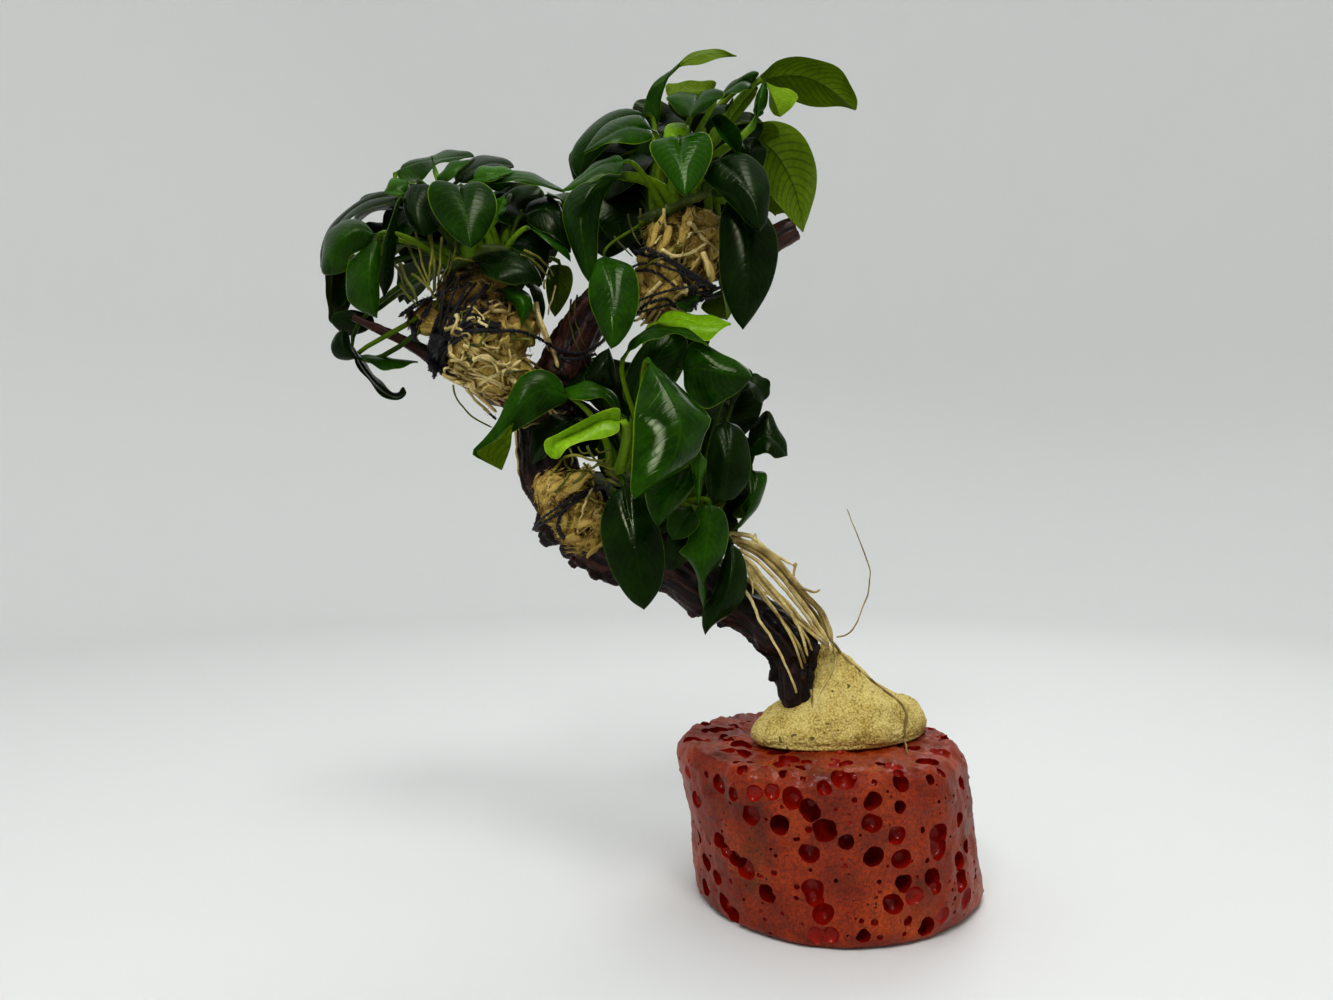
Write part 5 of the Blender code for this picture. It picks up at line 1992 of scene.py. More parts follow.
HANGING_ROOTS = (
    Root(((730, 534, -8), (748, 535, -9), (759, 543, -10), (769, 552, -10), (793, 565, -9)), 1.0, 0.55),
    Root(((793, 566, -9), (796, 564, -9), (794, 570, -9), (793, 580, -9)), 0.55, 0.45),
    Root(((732, 536, -8), (752, 546, -10), (774, 560, -11), (788, 576, -10), (800, 590, -9), (822, 615, -8),
        (831, 640, -12)), 1.15, 0.7),
    Root(((734, 540, -8), (756, 552, -10), (778, 572, -11), (794, 594, -11), (812, 618, -10),
        (828, 642, -12)), 0.9, 0.6),
    Root(((736, 540, -6), (758, 550, -7), (780, 564, -8), (796, 582, -7), (814, 604, -6), (829, 632, -9)),
        1.0, 0.6),
    Root(((738, 543, -4), (762, 556, -5), (784, 574, -5), (803, 598, -4), (820, 622, -5), (830, 640, -9)),
        1.0, 0.6),
    Root(((742, 545, -8), (764, 560, -9), (786, 582, -9), (802, 602, -8), (818, 624, -9), (829, 644, -12)),
        0.8, 0.6),
    Root(((740, 548, -10), (760, 564, -11), (780, 584, -11), (800, 608, -11), (816, 630, -11),
        (829, 646, -13)), 0.75, 0.5),
    Root(((800, 588, -9), (808, 590, -10), (815, 592, -10), (820, 590, -10)), 0.55, 0.4),
    Root(((800, 590, -9), (812, 600, -8), (824, 614, -8), (830, 628, -10), (832, 642, -12)), 0.8, 0.6),
    Root(((745, 560, -10), (758, 572, -12), (782, 598, -12), (806, 624, -12), (830, 644, -13)), 0.9, 0.6),
    Root(((745, 562, -10), (762, 584, -12), (786, 610, -12), (812, 634, -13), (830, 650, -14)), 0.8, 0.55),
    Root(((744, 556, -11), (764, 578, -13), (784, 604, -13), (800, 630, -13), (808, 656, -15)), 0.75, 0.5),
    Root(((746, 578, -10), (756, 588, -12), (767, 601, -12), (785, 625, -12), (801, 650, -13),
        (810, 680, -16), (812, 707, -20)), 0.8, 0.45),
    Root(((745, 590, -9), (752, 602, -11), (760, 620, -11), (777, 649, -12), (790, 672, -13),
        (798, 698, -16)), 0.65, 0.4),
    Root(((747, 568, -11), (762, 592, -12), (780, 618, -12), (794, 644, -13), (804, 670, -15),
        (812, 690, -18)), 0.7, 0.4),
    Root(((750, 566, -11), (770, 588, -12), (790, 612, -12), (808, 640, -13), (818, 664, -16)), 0.7, 0.4),
    Root(((748, 572, -11), (752, 584, -12), (752, 594, -12)), 0.5, 0.3),
    Root(((764, 592, -12), (776, 596, -12), (786, 602, -12)), 0.5, 0.35),
    Root(((731, 538, -8), (745, 541, -10), (762, 548, -10), (780, 562, -10), (792, 578, -9), (806, 592, -8)),
        0.9, 0.6),
    Root(((752, 543, -10), (755, 534, -10), (757, 541, -10)), 0.3, 0.2),
    Root(((790, 612, -10), (803, 622, -10), (806, 632, -11)), 0.4, 0.25),
    Root(((812, 622, -9), (818, 630, -9), (822, 640, -11)), 0.5, 0.3),
    Root(((831, 640, -12), (845, 658, -5), (864, 674, 0), (884, 690, 4), (900, 703, 5), (906, 715, 2),
        (905, 728, -6), (904, 740, -14), (908, 755, -20)), 0.6, 0.35),
    Root(((832, 644, -13), (836, 660, -16), (828, 680, -20), (818, 700, -23), (826, 720, -25),
        (838, 744, -26)), 0.35, 0.15),
    Root(((838, 637, -12), (849, 633, -8), (858, 618, -4), (866, 598, 0), (870, 572, 2), (863, 550, 3),
        (856, 532, 4), (847, 508, 5)), 0.32, 0.2),
)
MIDDLE_ROOTS = (
    Root(((547, 495, -17), (549, 487, -18), (553, 478, -19)), 0.3, 0.35),
    Root(((552, 474, -19), (558, 465, -20), (568, 456, -21), (580, 455, -22), (590, 460, -22),
        (603, 462, -22)), 0.8, 0.6, green=True),
    Root(((569, 448, -21), (572, 456, -21), (572, 466, -21), (573, 474, -20)), 0.6, 0.45, green=True),
    Root(((564, 458, -21), (567, 466, -21), (576, 471, -21), (588, 470, -22), (600, 466, -22),
        (616, 470, -22)), 0.75, 0.55, green=True),
    Root(((583, 463, -22), (588, 470, -22), (595, 478, -22)), 0.6, 0.45, green=True),
    Root(((589, 486, -22), (588, 480, -22), (597, 478, -22), (605, 481, -22), (606, 487, -22)), 0.75, 0.5,
        green=True),
    Root(((587, 445, -22), (592, 455, -22), (598, 463, -22), (612, 464, -22)), 0.7, 0.5, green=True),
    Root(((578, 446, -22), (583, 452, -22), (590, 452, -22)), 0.5, 0.4, green=True),
    Root(((593, 469, -22), (599, 463, -22), (606, 458, -22)), 0.6, 0.4, green=True),
    Root(((608, 452, -22), (608, 458, -22), (604, 466, -22)), 0.5, 0.35, green=True),
    Root(((596, 448, -22), (600, 452, -22), (610, 450, -22)), 0.6, 0.4, green=True),
    Root(((585, 472, -22), (580, 478, -21), (572, 484, -20)), 0.9, 0.6, green=True),
    Root(((561, 452, -20), (562, 460, -20), (560, 466, -20)), 0.5, 0.3, green=True),
    Root(((592, 509, -22), (598, 509, -22), (603, 506, -21)), 0.35, 0.3),
    Root(((558, 420, -15), (566, 426, -16), (574, 434, -17)), 0.7, 0.5),
    Root(((604, 470, -21), (612, 476, -20), (622, 482, -19)), 0.7, 0.5, green=True),
    Root(((606, 480, -21), (616, 484, -20), (628, 490, -18)), 0.7, 0.5, green=True),
)


@dataclass
class RootBundle:
    """Roots of one clump: the ones that the front view shows, and finer ones that creep over the wool."""

    clump: str
    roots: tuple
    seed: int
    wild: int = 0
    heart: tuple = ()
    spread: float = 0.0
    toward: tuple = ()
    node: str = ""
    green_slim: float = 0.65
    cream_slim: float = 0.88
    grip: float = 14.0
    stride: float = 2.2
    lift: float = 0.45

    def build(self, looks: Looks, onto: BVHTree) -> bpy.types.Object:
        """Lays the roots on the surfaces behind them.

        Args:
            looks: the finishes.
            onto: the surfaces that they lie on.

        Returns:
            The roots.
        """
        shape = Shape()
        dice = np.random.default_rng(self.seed)
        for root in self.roots:
            slim = self.green_slim if root.green else self.cream_slim
            path = draped(root.places, onto, root.thick * 0.6)
            self.lay(shape, path, root.thick * slim, root.thin * slim, int(root.green), dice)
        for _ in range(self.wild):
            path = self.creep(onto, dice)
            if path is not None:
                self.lay(shape, path, dice.uniform(0.35, 0.8), 0.3, int(dice.random() < 0.3), dice)
        made = shape.make(f"roots_{self.clump}", looks.cream_root, looks.green_root)
        return dress(made, "root", *((self.node,) if self.node else ()))

    def lay(self, shape: Shape, path: np.ndarray, thick: float, thin: float, slot: int,
            dice: np.random.Generator) -> None:
        """Adds one root, its radius falling from thick to thin, with the knuckles that roots have.

        Args:
            shape: the mesh that it goes into.
            path: its middle line.
            thick: its radius at the start.
            thin: its radius at the end.
            slot: the number of its material.
            dice: what the unevenness is drawn from.
        """
        share = np.linspace(0.0, 1.0, len(path))
        radii = thick * (1 - share) + thin * share
        radii = radii * (1.0 + 0.12 * fractal(path * 0.6, 2, self.seed))
        radii[-1] *= 0.4
        wobble = np.stack([fractal(path * 0.22, 2, self.seed + axis) for axis in range(3)], axis=1)
        shape.add(tube(path + wobble * 0.35, radii, 8), slot, tone=dice.uniform(-0.25, 0.25))

    def creep(self, onto: BVHTree, dice: np.random.Generator) -> np.ndarray | None:
        """A path that starts near the heart and follows the surface, mostly the way that the roots grow.

        Args:
            onto: the surfaces that it lies on.
            dice: what the unevenness is drawn from.

        Returns:
            The points, or None where the surface is too far off.
        """
        start = seen(*self.heart) + dice.normal(size=3) * self.spread
        heading = unit(np.array(self.toward) + dice.normal(size=3) * 0.55)
        path = []
        place = start
        for _ in range(int(dice.integers(6, 13))):
            hit, normal, _, _ = onto.find_nearest(Vector(place))
            if hit is None or np.linalg.norm(place - np.array(hit)) > self.grip:
                return None
            near, out = np.array(hit), np.array(normal)
            place = near + out * self.lift
            path.append(place)
            heading = unit(heading - out * heading.dot(out) + dice.normal(size=3) * 0.25)
            place = place + heading * self.stride
        return through(np.array(path), 3)


ROOT_BUNDLES = (
    RootBundle("left", LEFT_ROOTS, 61, 40, (480, 350, -18), 7.0, (0.7, 0.0, -0.5)),
    RootBundle("top", TOP_ROOTS, 62, 16, (684, 240, -16), 8.0, (0.2, 0.0, -1.0)),
    RootBundle("middle", MIDDLE_ROOTS, 63, 8, (586, 468, -18), 5.0, (-0.2, 0.0, -1.0)),
)


# Leaves


class Clump(Enum):
    """The three plants, with the creeping stem of each: pixel, depth and radius in mm along it."""

    LEFT = ("left", ((450, 270, -8, 1.8), (466, 258, -9, 2.3), (488, 251, -9, 2.5), (516, 252, -6, 1.9)))
    TOP = ("top", ((640, 222, -9, 1.8), (662, 212, -11, 2.3), (686, 198, -11, 2.5), (716, 190, -8, 1.9)))
    MIDDLE = ("middle", (
        (608, 470, -14, 1.8), (640, 482, -16, 2.5), (682, 505, -14, 2.6), (722, 532, -9, 1.9)))


@dataclass(frozen=True)
class Leaf:
    """A leaf: its stalk's place along the stem, its blade's two ends and how the blade is turned and bent.

    A leaf with edges follows them: each is a row of the front view's pixels between the blade's two ends, via
    is such a row for its midrib, and falls says how much deeper than the midrib each edge lies, in mm. A leaf
    without edges has a width, and rise, fall, lift and fold set how it widens, narrows, arches and folds.
    """

    name: str
    clump: Clump
    at: float
    base: tuple
    tip: tuple
    face: tuple
    width: float = 18.0
    lift: float = 3.0
    fold: float = 12.0
    age: LeafAge = LeafAge.GROWN
    via: tuple = ()
    curl: float = 0.0
    wave: float = 0.5
    rise: float = 0.5
    fall: float = 0.8
    tone: float = 0.0
    wet: float = 0.25
    stalk: float = 1.0
    edges: tuple = ()
    falls: tuple = (4.0, 4.0)
    bulge: float = 3.0
    cup: float = 0.6


L, T, M = Clump
YOUNG, FRESH, GROWN, OLD = LeafAge


def hidden(clump: Clump, *rows: tuple) -> tuple[Leaf, ...]:
    """Leaves deep inside a clump, in the old finish whose dark colour paints the shade there; each is given
    as its place on the stem, two ends, width and face.
    """
    return tuple(
        Leaf("inner", clump, at, base, tip, face, width, age=OLD) for at, base, tip, width, face in rows)


LEAVES = (
    Leaf("leaf_left_01", L, 0.45, (400, 170, -3), (474, 156, 3), (0.0, 0.92, 0.4), falls=(8, -5), bulge=1,
        via=((416, 163), (437, 160)), cup=0.5, edges=(((404, 164), (425, 158), (447, 151), (462, 150),
        (470, 152)), ((397, 174), (401, 181), (410, 184), (421, 180), (430, 172), (440, 164), (457, 160)))),
    Leaf("leaf_left_02", L, 0.66, (456, 182, -2), (514, 167, 3), (-0.1, 0.8, 0.6), age=OLD, falls=(8, -4),
        via=((470, 172), (491, 164)), edges=(((454, 175), (462, 165), (475, 158), (488, 155), (501, 157),
        (510, 162)), ((466, 184), (480, 181), (495, 175), (507, 170)))),
    Leaf("leaf_left_03", L, 0.78, (483, 182, -11), (565, 192, -7), (0.1, 0.95, 0.3), falls=(8, -2), cup=0.5,
        via=((505, 177), (530, 178)), edges=(((490, 176), (503, 173), (515, 170), (527, 172), (546, 181)),
        ((492, 183), (508, 182), (525, 183), (546, 188)))),
    Leaf("leaf_left_04", L, 0.58, (461, 187, -20), (471, 248, -30), (0.1, 0.35, 0.93), wet=0.3, bulge=2,
        falls=(5, 5), wave=0.25, via=((463, 202), (468, 225)), edges=(((453, 184), (443, 180), (433, 181),
        (428, 190), (429, 203), (437, 219), (450, 234), (462, 244)), ((469, 183), (479, 182), (490, 187),
        (496, 198), (497, 211), (491, 226), (482, 240)))),
    Leaf("leaf_left_05", L, 0.43, (417, 184, -15), (424, 237, -22), (-0.2, 0.3, 0.9), age=OLD, cup=0.3,
        via=((415, 203), (418, 221)), edges=(((409, 186), (404, 197), (404, 211), (409, 225), (417, 233)),
        ((426, 183), (432, 188), (433, 203), (438, 217), (440, 227), (433, 233)))),
    Leaf("leaf_left_06", L, 0.24, (402, 196, 4), (321, 268, 6), (-0.5, 0.8, 0.3), age=OLD, falls=(6, -8),
        via=((372, 200), (345, 217), (328, 243)), edges=(((387, 192), (365, 198), (345, 212), (330, 229),
        (321, 250)), ((388, 204), (370, 207), (352, 219), (337, 238), (328, 256)))),
    Leaf("leaf_left_07", L, 0.2, (374, 234, -20), (333, 275, -20), (-0.4, 0.5, 0.8), falls=(8, 2), bulge=5,
        via=((357, 228), (340, 241), (332, 258)), edges=(((362, 222), (345, 219), (330, 231), (322, 248),
        (321, 264), (324, 274)), ((369, 246), (357, 252), (349, 261), (345, 271)))),
    Leaf("leaf_left_08", L, 0.07, (377, 238, -24), (377, 318, -24), (-0.35, 0.15, 0.9), falls=(5, 3),
        via=((371, 262), (370, 290)), edges=(((366, 246), (354, 256), (347, 269), (345, 284), (348, 299),
        (357, 309), (368, 315)), ((381, 248), (381, 266), (380, 286), (379, 304)))),
    Leaf("leaf_left_09", L, 0.3, (398, 202, -18), (384, 298, -22), (0.7, 0.2, 0.6), age=OLD, falls=(-2, 6),
        via=((391, 232), (387, 268)), bulge=4, edges=(((391, 217), (385, 238), (381, 258), (379, 280)),
        ((398, 219), (397, 240), (395, 262), (391, 284)))),
    Leaf("leaf_left_10", L, 0.0, (334, 262, 6), (336, 326, 8), (-1.0, 0.1, 0.2), age=OLD, falls=(-3, 8),
        via=((331, 284), (331, 306)), bulge=0, edges=(((325, 272), (326, 290), (328, 308), (329, 320)),
        ((346, 276), (350, 292), (349, 308), (343, 320)))),
    Leaf("leaf_left_11", L, 0.13, (353, 346, 3), (403, 387, -2), (0.5, 0.75, 0.4), age=OLD, falls=(-4, 5),
        via=((359, 362), (370, 378), (383, 391), (395, 397), (403, 394)), bulge=0, cup=0.4,
        edges=(((354, 358), (362, 373), (375, 389), (388, 399), (399, 401), (406, 394)), ((361, 358),
        (371, 370), (382, 383), (391, 391), (398, 392), (401, 389)))),
    Leaf("leaf_left_12", L, 0.8, (502, 218, 5), (545, 207, 8), (-0.3, 0.7, -0.7), age=OLD, falls=(4, -4),
        via=((516, 203), (533, 197)), edges=(((499, 200), (510, 187), (526, 182), (540, 187), (545, 196)),
        ((508, 233), (524, 234), (537, 224), (544, 215)))),
    Leaf("leaf_left_13", L, 0.94, (524, 214, -6), (570, 253, -8), (0.4, 0.6, 0.5), age=OLD, falls=(8, -2),
        via=((543, 209), (560, 225)), edges=(((530, 201), (545, 196), (558, 204), (566, 222), (569, 240)),
        ((531, 226), (545, 232), (558, 240), (566, 248)))),
    Leaf("leaf_left_14", L, 0.84, (479, 260, -14), (542, 285, -16), (0.1, 0.55, 0.8), age=OLD, falls=(6, -2),
        via=((500, 264), (524, 269)), edges=(((490, 253), (505, 249), (521, 253), (535, 264), (541, 275)),
        ((481, 270), (492, 279), (508, 284), (527, 283)))),
    Leaf("leaf_left_15", L, 1.0, (498, 291, -12), (521, 326, -18), (0.35, 0.55, 0.7), age=FRESH, tone=-0.4,
        via=((513, 294), (524, 306)), edges=(((506, 286), (518, 287), (530, 295), (533, 307), (528, 318)),
        ((504, 297), (513, 304), (518, 314)))),
    Leaf("leaf_top_01", T, 0.48, (655, 131, 0), (737, 56, -6), (-0.6, 0.5, 0.6), falls=(1, -1), bulge=0,
        via=((652, 108), (659, 88), (673, 71), (690, 60), (712, 54)), cup=0.3, edges=(((644, 116), (646, 99),
        (655, 82), (668, 72.5, 3), (684, 66, -2), (699, 63.5, -3), (715, 59.5, -3), (728, 57)), ((660, 116),
        (661, 101), (667, 83), (674, 68, -3), (682, 60, 2), (694, 51, 4), (708, 48, 4), (723, 50)))),
    Leaf("leaf_top_02", T, 0.83, (755, 80, -3), (856, 110, -11), (0.0, 0.9, -0.5), falls=(-6, 7), bulge=0,
        via=((775, 76), (795, 75), (815, 80), (836, 93)), cup=0.8, stalk=1.5, edges=(((766, 70), (778, 61),
        (800, 56), (822, 61), (841, 70), (852, 86), (857, 100)), ((766, 87), (780, 96), (800, 104),
        (822, 107), (842, 107)))),
    Leaf("leaf_top_03", T, 0.76, (752, 84, -10), (719, 99, -16), (-0.2, 0.8, 0.5), falls=(5, -4), stalk=1.7,
        via=((744, 80), (732, 88)), edges=(((758, 74), (752, 71), (741, 78), (729, 86)), ((750, 90),
        (741, 91), (729, 96)))),
    Leaf("leaf_top_04", T, 0.6, (699, 94, -20), (690, 118, -30), (0.0, 0.5, 0.85), falls=(4, 4), bulge=2,
        via=((695, 102), (692, 110)), edges=(((683, 93), (669, 94), (666, 99), (673, 108), (682, 115)),
        ((712, 90), (724, 90), (723, 97), (713, 105), (701, 113)))),
    Leaf("leaf_top_05", T, 0.52, (680, 138, -24), (685, 196, -36), (0.05, 0.42, 0.9), age=FRESH, wet=0.58,
        tone=-0.35, falls=(5, 5), wave=0.3, bulge=2, via=((681, 155), (684, 177)), edges=(((671, 137),
        (661, 138), (651, 141), (650, 150), (657, 164), (668, 178), (677, 190)), ((689, 134), (699, 131),
        (709, 135), (713, 148), (711, 161), (703, 177), (693, 190)))),
    Leaf("leaf_top_06", T, 0.24, (645, 114, -2), (579, 179, -6), (-0.6, 0.6, 0.5), falls=(6, 2), tone=-0.1,
        via=((613, 122), (588, 147)), bulge=6, edges=(((630, 109), (610, 113), (591, 124), (577, 141),
        (571, 158), (573, 171)), ((632, 127), (614, 140), (600, 154), (588, 168)))),
    Leaf("leaf_top_07", T, 0.36, (651, 130, -16), (584, 153, -22), (-0.15, 0.7, 0.65), falls=(7, -3),
        via=((628, 127), (605, 138)), edges=(((643, 117), (630, 114), (615, 119), (601, 130), (590, 143)),
        ((652, 139), (640, 143), (622, 143), (605, 145), (593, 150)))),
    Leaf("leaf_top_08", T, 0.36, (624, 161, -27), (562, 191, -33), (-0.4, 0.85, 0.35), falls=(5, -3),
        cup=0.4, via=((602, 165), (582, 178)), edges=(((615, 155), (598, 162), (582, 174), (570, 186)),
        ((620, 174), (604, 176), (588, 182), (574, 189)))),
    Leaf("leaf_top_09", T, 0.52, (620, 177, -18), (591, 285, -26), (-0.65, 0.3, 0.7), wet=0.3, falls=(5, 4),
        via=((594, 190), (582, 220), (585, 255)), bulge=5, stalk=1.9, tone=-0.2, edges=(((605, 173),
        (585, 181), (567, 196), (562, 214), (567, 235), (574, 255), (582, 273)), ((611, 185), (604, 198),
        (600, 214), (598, 233), (598, 253), (595, 271)))),
    Leaf("leaf_top_10", T, 0.05, (604, 256, -24), (611, 349, -36), (0.1, 0.25, 0.96), wet=0.46, falls=(4, 4),
        stalk=0.5, via=((613, 290), (613, 320)), edges=(((595, 262), (589, 282), (589, 300), (596, 320),
        (604, 338)), ((622, 262), (634, 269), (639, 288), (638, 308), (631, 328), (620, 343)))),
    Leaf("leaf_top_11", T, 0.86, (719, 159, -22), (760, 231, -32), (0.15, 0.35, 0.92), age=OLD, wet=0.3,
        via=((738, 176), (755, 203)), falls=(5, 4), edges=(((708, 164), (703, 176), (711, 187), (726, 200),
        (738, 213), (749, 225)), ((733, 153), (751, 157), (765, 169), (770, 187), (769, 205), (767, 221)))),
    Leaf("leaf_top_12", T, 0.96, (741, 200, -16), (743, 330, -22), (0.0, 0.12, 1.0), age=OLD, falls=(4, 4),
        via=((747, 235), (748, 285)), wave=0.3, edges=(((727, 202), (720, 220), (719, 245), (719, 270),
        (723, 292), (732, 315)), ((758, 206), (772, 223), (778, 243), (777, 264), (770, 288), (757, 311)))),
    Leaf("leaf_top_13", T, 0.9, (754, 140, 5), (803, 232, 3), (0.5, 0.3, -0.8), falls=(3, -3), bulge=-2,
        via=((772, 151), (788, 175), (798, 203)), cup=1.2, edges=(((756, 126), (772, 120), (791, 126),
        (807, 142), (816, 163), (816, 188), (810, 213)), ((752, 156), (756, 176), (768, 198), (783, 212),
        (795, 224)))),
    Leaf("leaf_top_14", T, 0.65, (716, 114, -6), (668, 103, -10), (-0.1, 0.8, -0.6), age=OLD, falls=(2, 2),
        via=((700, 114), (684, 112)), edges=(((706, 125), (690, 124), (677, 116), (670, 108)), ((708, 104),
        (692, 100), (677, 100)))),
    Leaf("leaf_middle_01", M, 0.4, (657, 322, -17), (731, 324, -22), (0.1, 0.8, 0.6), age=YOUNG, tone=-0.25,
        via=((680, 319), (706, 325)), falls=(6, -3), edges=(((664, 314), (680, 311), (699, 315), (717, 317)),
        ((672, 327), (690, 331), (707, 340), (719, 332)))),
    Leaf("leaf_middle_02", M, 0.34, (627, 351, -27), (709, 346, -31), (0.1, 0.95, 0.2), falls=(4, -3),
        via=((640, 337), (662, 330), (690, 335)), bulge=0, cup=0.3, edges=(((633, 338), (655, 326),
        (680, 327), (700, 337)), ((636, 348), (656, 338), (680, 335), (698, 342)))),
    Leaf("leaf_middle_03", M, 0.2, (634, 412, -22), (679, 331, -18), (-0.2, 0.4, 0.9), wet=0.2, falls=(4, 5),
        via=((645, 378), (661, 352)), edges=(((623, 396), (627, 372), (638, 351), (652, 337), (667, 330)),
        ((652, 402), (670, 390), (682, 372), (688, 352), (686, 338)))),
    Leaf("leaf_middle_04", M, 0.5, (683, 368, -20), (752, 377, -26), (0.15, 0.4, 0.9), wet=0.6, falls=(5, 3),
        via=((705, 369), (730, 374)), edges=(((685, 352), (693, 342), (707, 345), (723, 354), (739, 362),
        (749, 369)), ((685, 388), (696, 403), (708, 409), (726, 400), (741, 390)))),
    Leaf("leaf_middle_05", M, 0.27, (651, 362, -34), (634, 499, -50), (0.1, 0.2, 0.95), wet=0.55,
        falls=(3, 9), via=((669, 391), (680, 418), (677, 450), (660, 475)), bulge=4, wave=0.6,
        edges=(((644, 374), (637, 397), (633, 420), (633, 445), (631, 472), (630, 488)), ((664, 373),
        (683, 388), (698, 403), (711, 420), (704, 436), (698, 454), (682, 470), (655, 486)))),
    Leaf("leaf_middle_06", M, 0.0, (568, 396, -16), (501, 470, -20), (-0.25, 0.7, 0.65), wet=0.3,
        falls=(3, 2), via=((545, 389), (525, 401), (512, 424), (509, 447)), bulge=4, edges=(((558, 377),
        (540, 369), (520, 377), (509, 396), (498, 418), (484, 438), (473, 453), (484, 461)), ((566, 402),
        (552, 409), (533, 421), (515, 431), (501, 438, -5), (487, 446, -8), (478, 453, -8),
        (490, 464, -3)))),
    Leaf("leaf_middle_07", M, 0.1, (621, 413, -14), (559, 391, -12), (-0.1, 0.75, 0.65), age=FRESH,
        via=((608, 394), (585, 390)), falls=(3, -2), stalk=1.3, edges=(((619, 401), (608, 388), (593, 382),
        (575, 384)), ((614, 407), (603, 399), (588, 399), (572, 400)))),
    Leaf("leaf_middle_08", M, 0.13, (620, 421, -28), (551, 458, -32), (-0.2, 0.55, 0.8), age=YOUNG, wet=0.36,
        via=((602, 420), (577, 432), (556, 443)), falls=(-3, -3), bulge=0, cup=0.4, stalk=1.3,
        edges=(((619, 408), (602, 411), (578, 423), (557, 434), (545, 440), (545, 451)), ((618, 432),
        (604, 438), (585, 441), (568, 448), (559, 458)))),
    Leaf("leaf_middle_09", M, 0.16, (624, 487, -22), (644, 610, -34), (0.0, 0.15, 1.0), age=OLD, wet=0.5,
        via=((632, 530), (640, 572)), falls=(4, 4), wave=0.3, edges=(((613, 493), (603, 510), (600, 530),
        (605, 554), (614, 577), (629, 599)), ((640, 490), (653, 511), (662, 537), (665, 562), (661, 586),
        (652, 601)))),
    Leaf("leaf_middle_10", M, 0.44, (690, 466, -28), (658, 528, -38), (0.1, 0.35, 0.9), wet=0.58,
        falls=(3, 3), via=((678, 485), (665, 508)), edges=(((664, 478), (646, 490), (647, 505), (652, 518)),
        ((698, 468), (696, 484), (684, 500), (669, 516)))),
    Leaf("leaf_middle_11", M, 0.7, (726, 421, -18), (722, 501, -24), (0.0, 0.1, 1.0), age=OLD, falls=(3, 4),
        via=((729, 450), (727, 480)), edges=(((716, 426), (709, 443), (706, 465), (706, 485), (711, 498)),
        ((738, 426), (748, 442), (751, 463), (748, 482), (735, 498)))),
    Leaf("leaf_middle_12", M, 0.78, (748, 448, -6), (787, 456, -10), (0.1, 0.5, 0.85), age=OLD,
        falls=(5, -3), via=((761, 437), (775, 441)), edges=(((750, 432), (758, 417), (768, 411), (776, 423),
        (785, 440)), ((752, 457), (764, 453), (776, 458)))),
    Leaf("leaf_middle_13", M, 0.9, (752, 470, -8), (733, 531, -14), (-0.4, 0.2, 0.85), falls=(3, 5),
        via=((754, 490), (747, 512)), edges=(((741, 478), (737, 491), (742, 505), (741, 520)), ((766, 474),
        (765, 490), (757, 508), (744, 524)))),
    Leaf("leaf_middle_14", M, 0.66, (710, 504, -24), (704, 608, -26), (-0.15, 0.3, 0.95), falls=(3, 5),
        wet=0.3, via=((708, 535), (704, 562), (702, 583)), edges=(((697, 507), (690, 525), (687, 543),
        (679, 552), (690, 562), (697, 577), (699, 593)), ((723, 511), (729, 530), (726, 550), (717, 567),
        (707, 579), (706, 594)))),
    Leaf("leaf_middle_15", M, 0.95, (731, 543, -16), (705, 635, -20), (0.3, 0.1, 0.95), age=OLD,
        falls=(4, 4), via=((733, 570), (723, 602)), edges=(((725, 554), (719, 573), (713, 593), (704, 607),
        (702, 623)), ((741, 552), (747, 572), (745, 594), (731, 613), (713, 626)))),
)


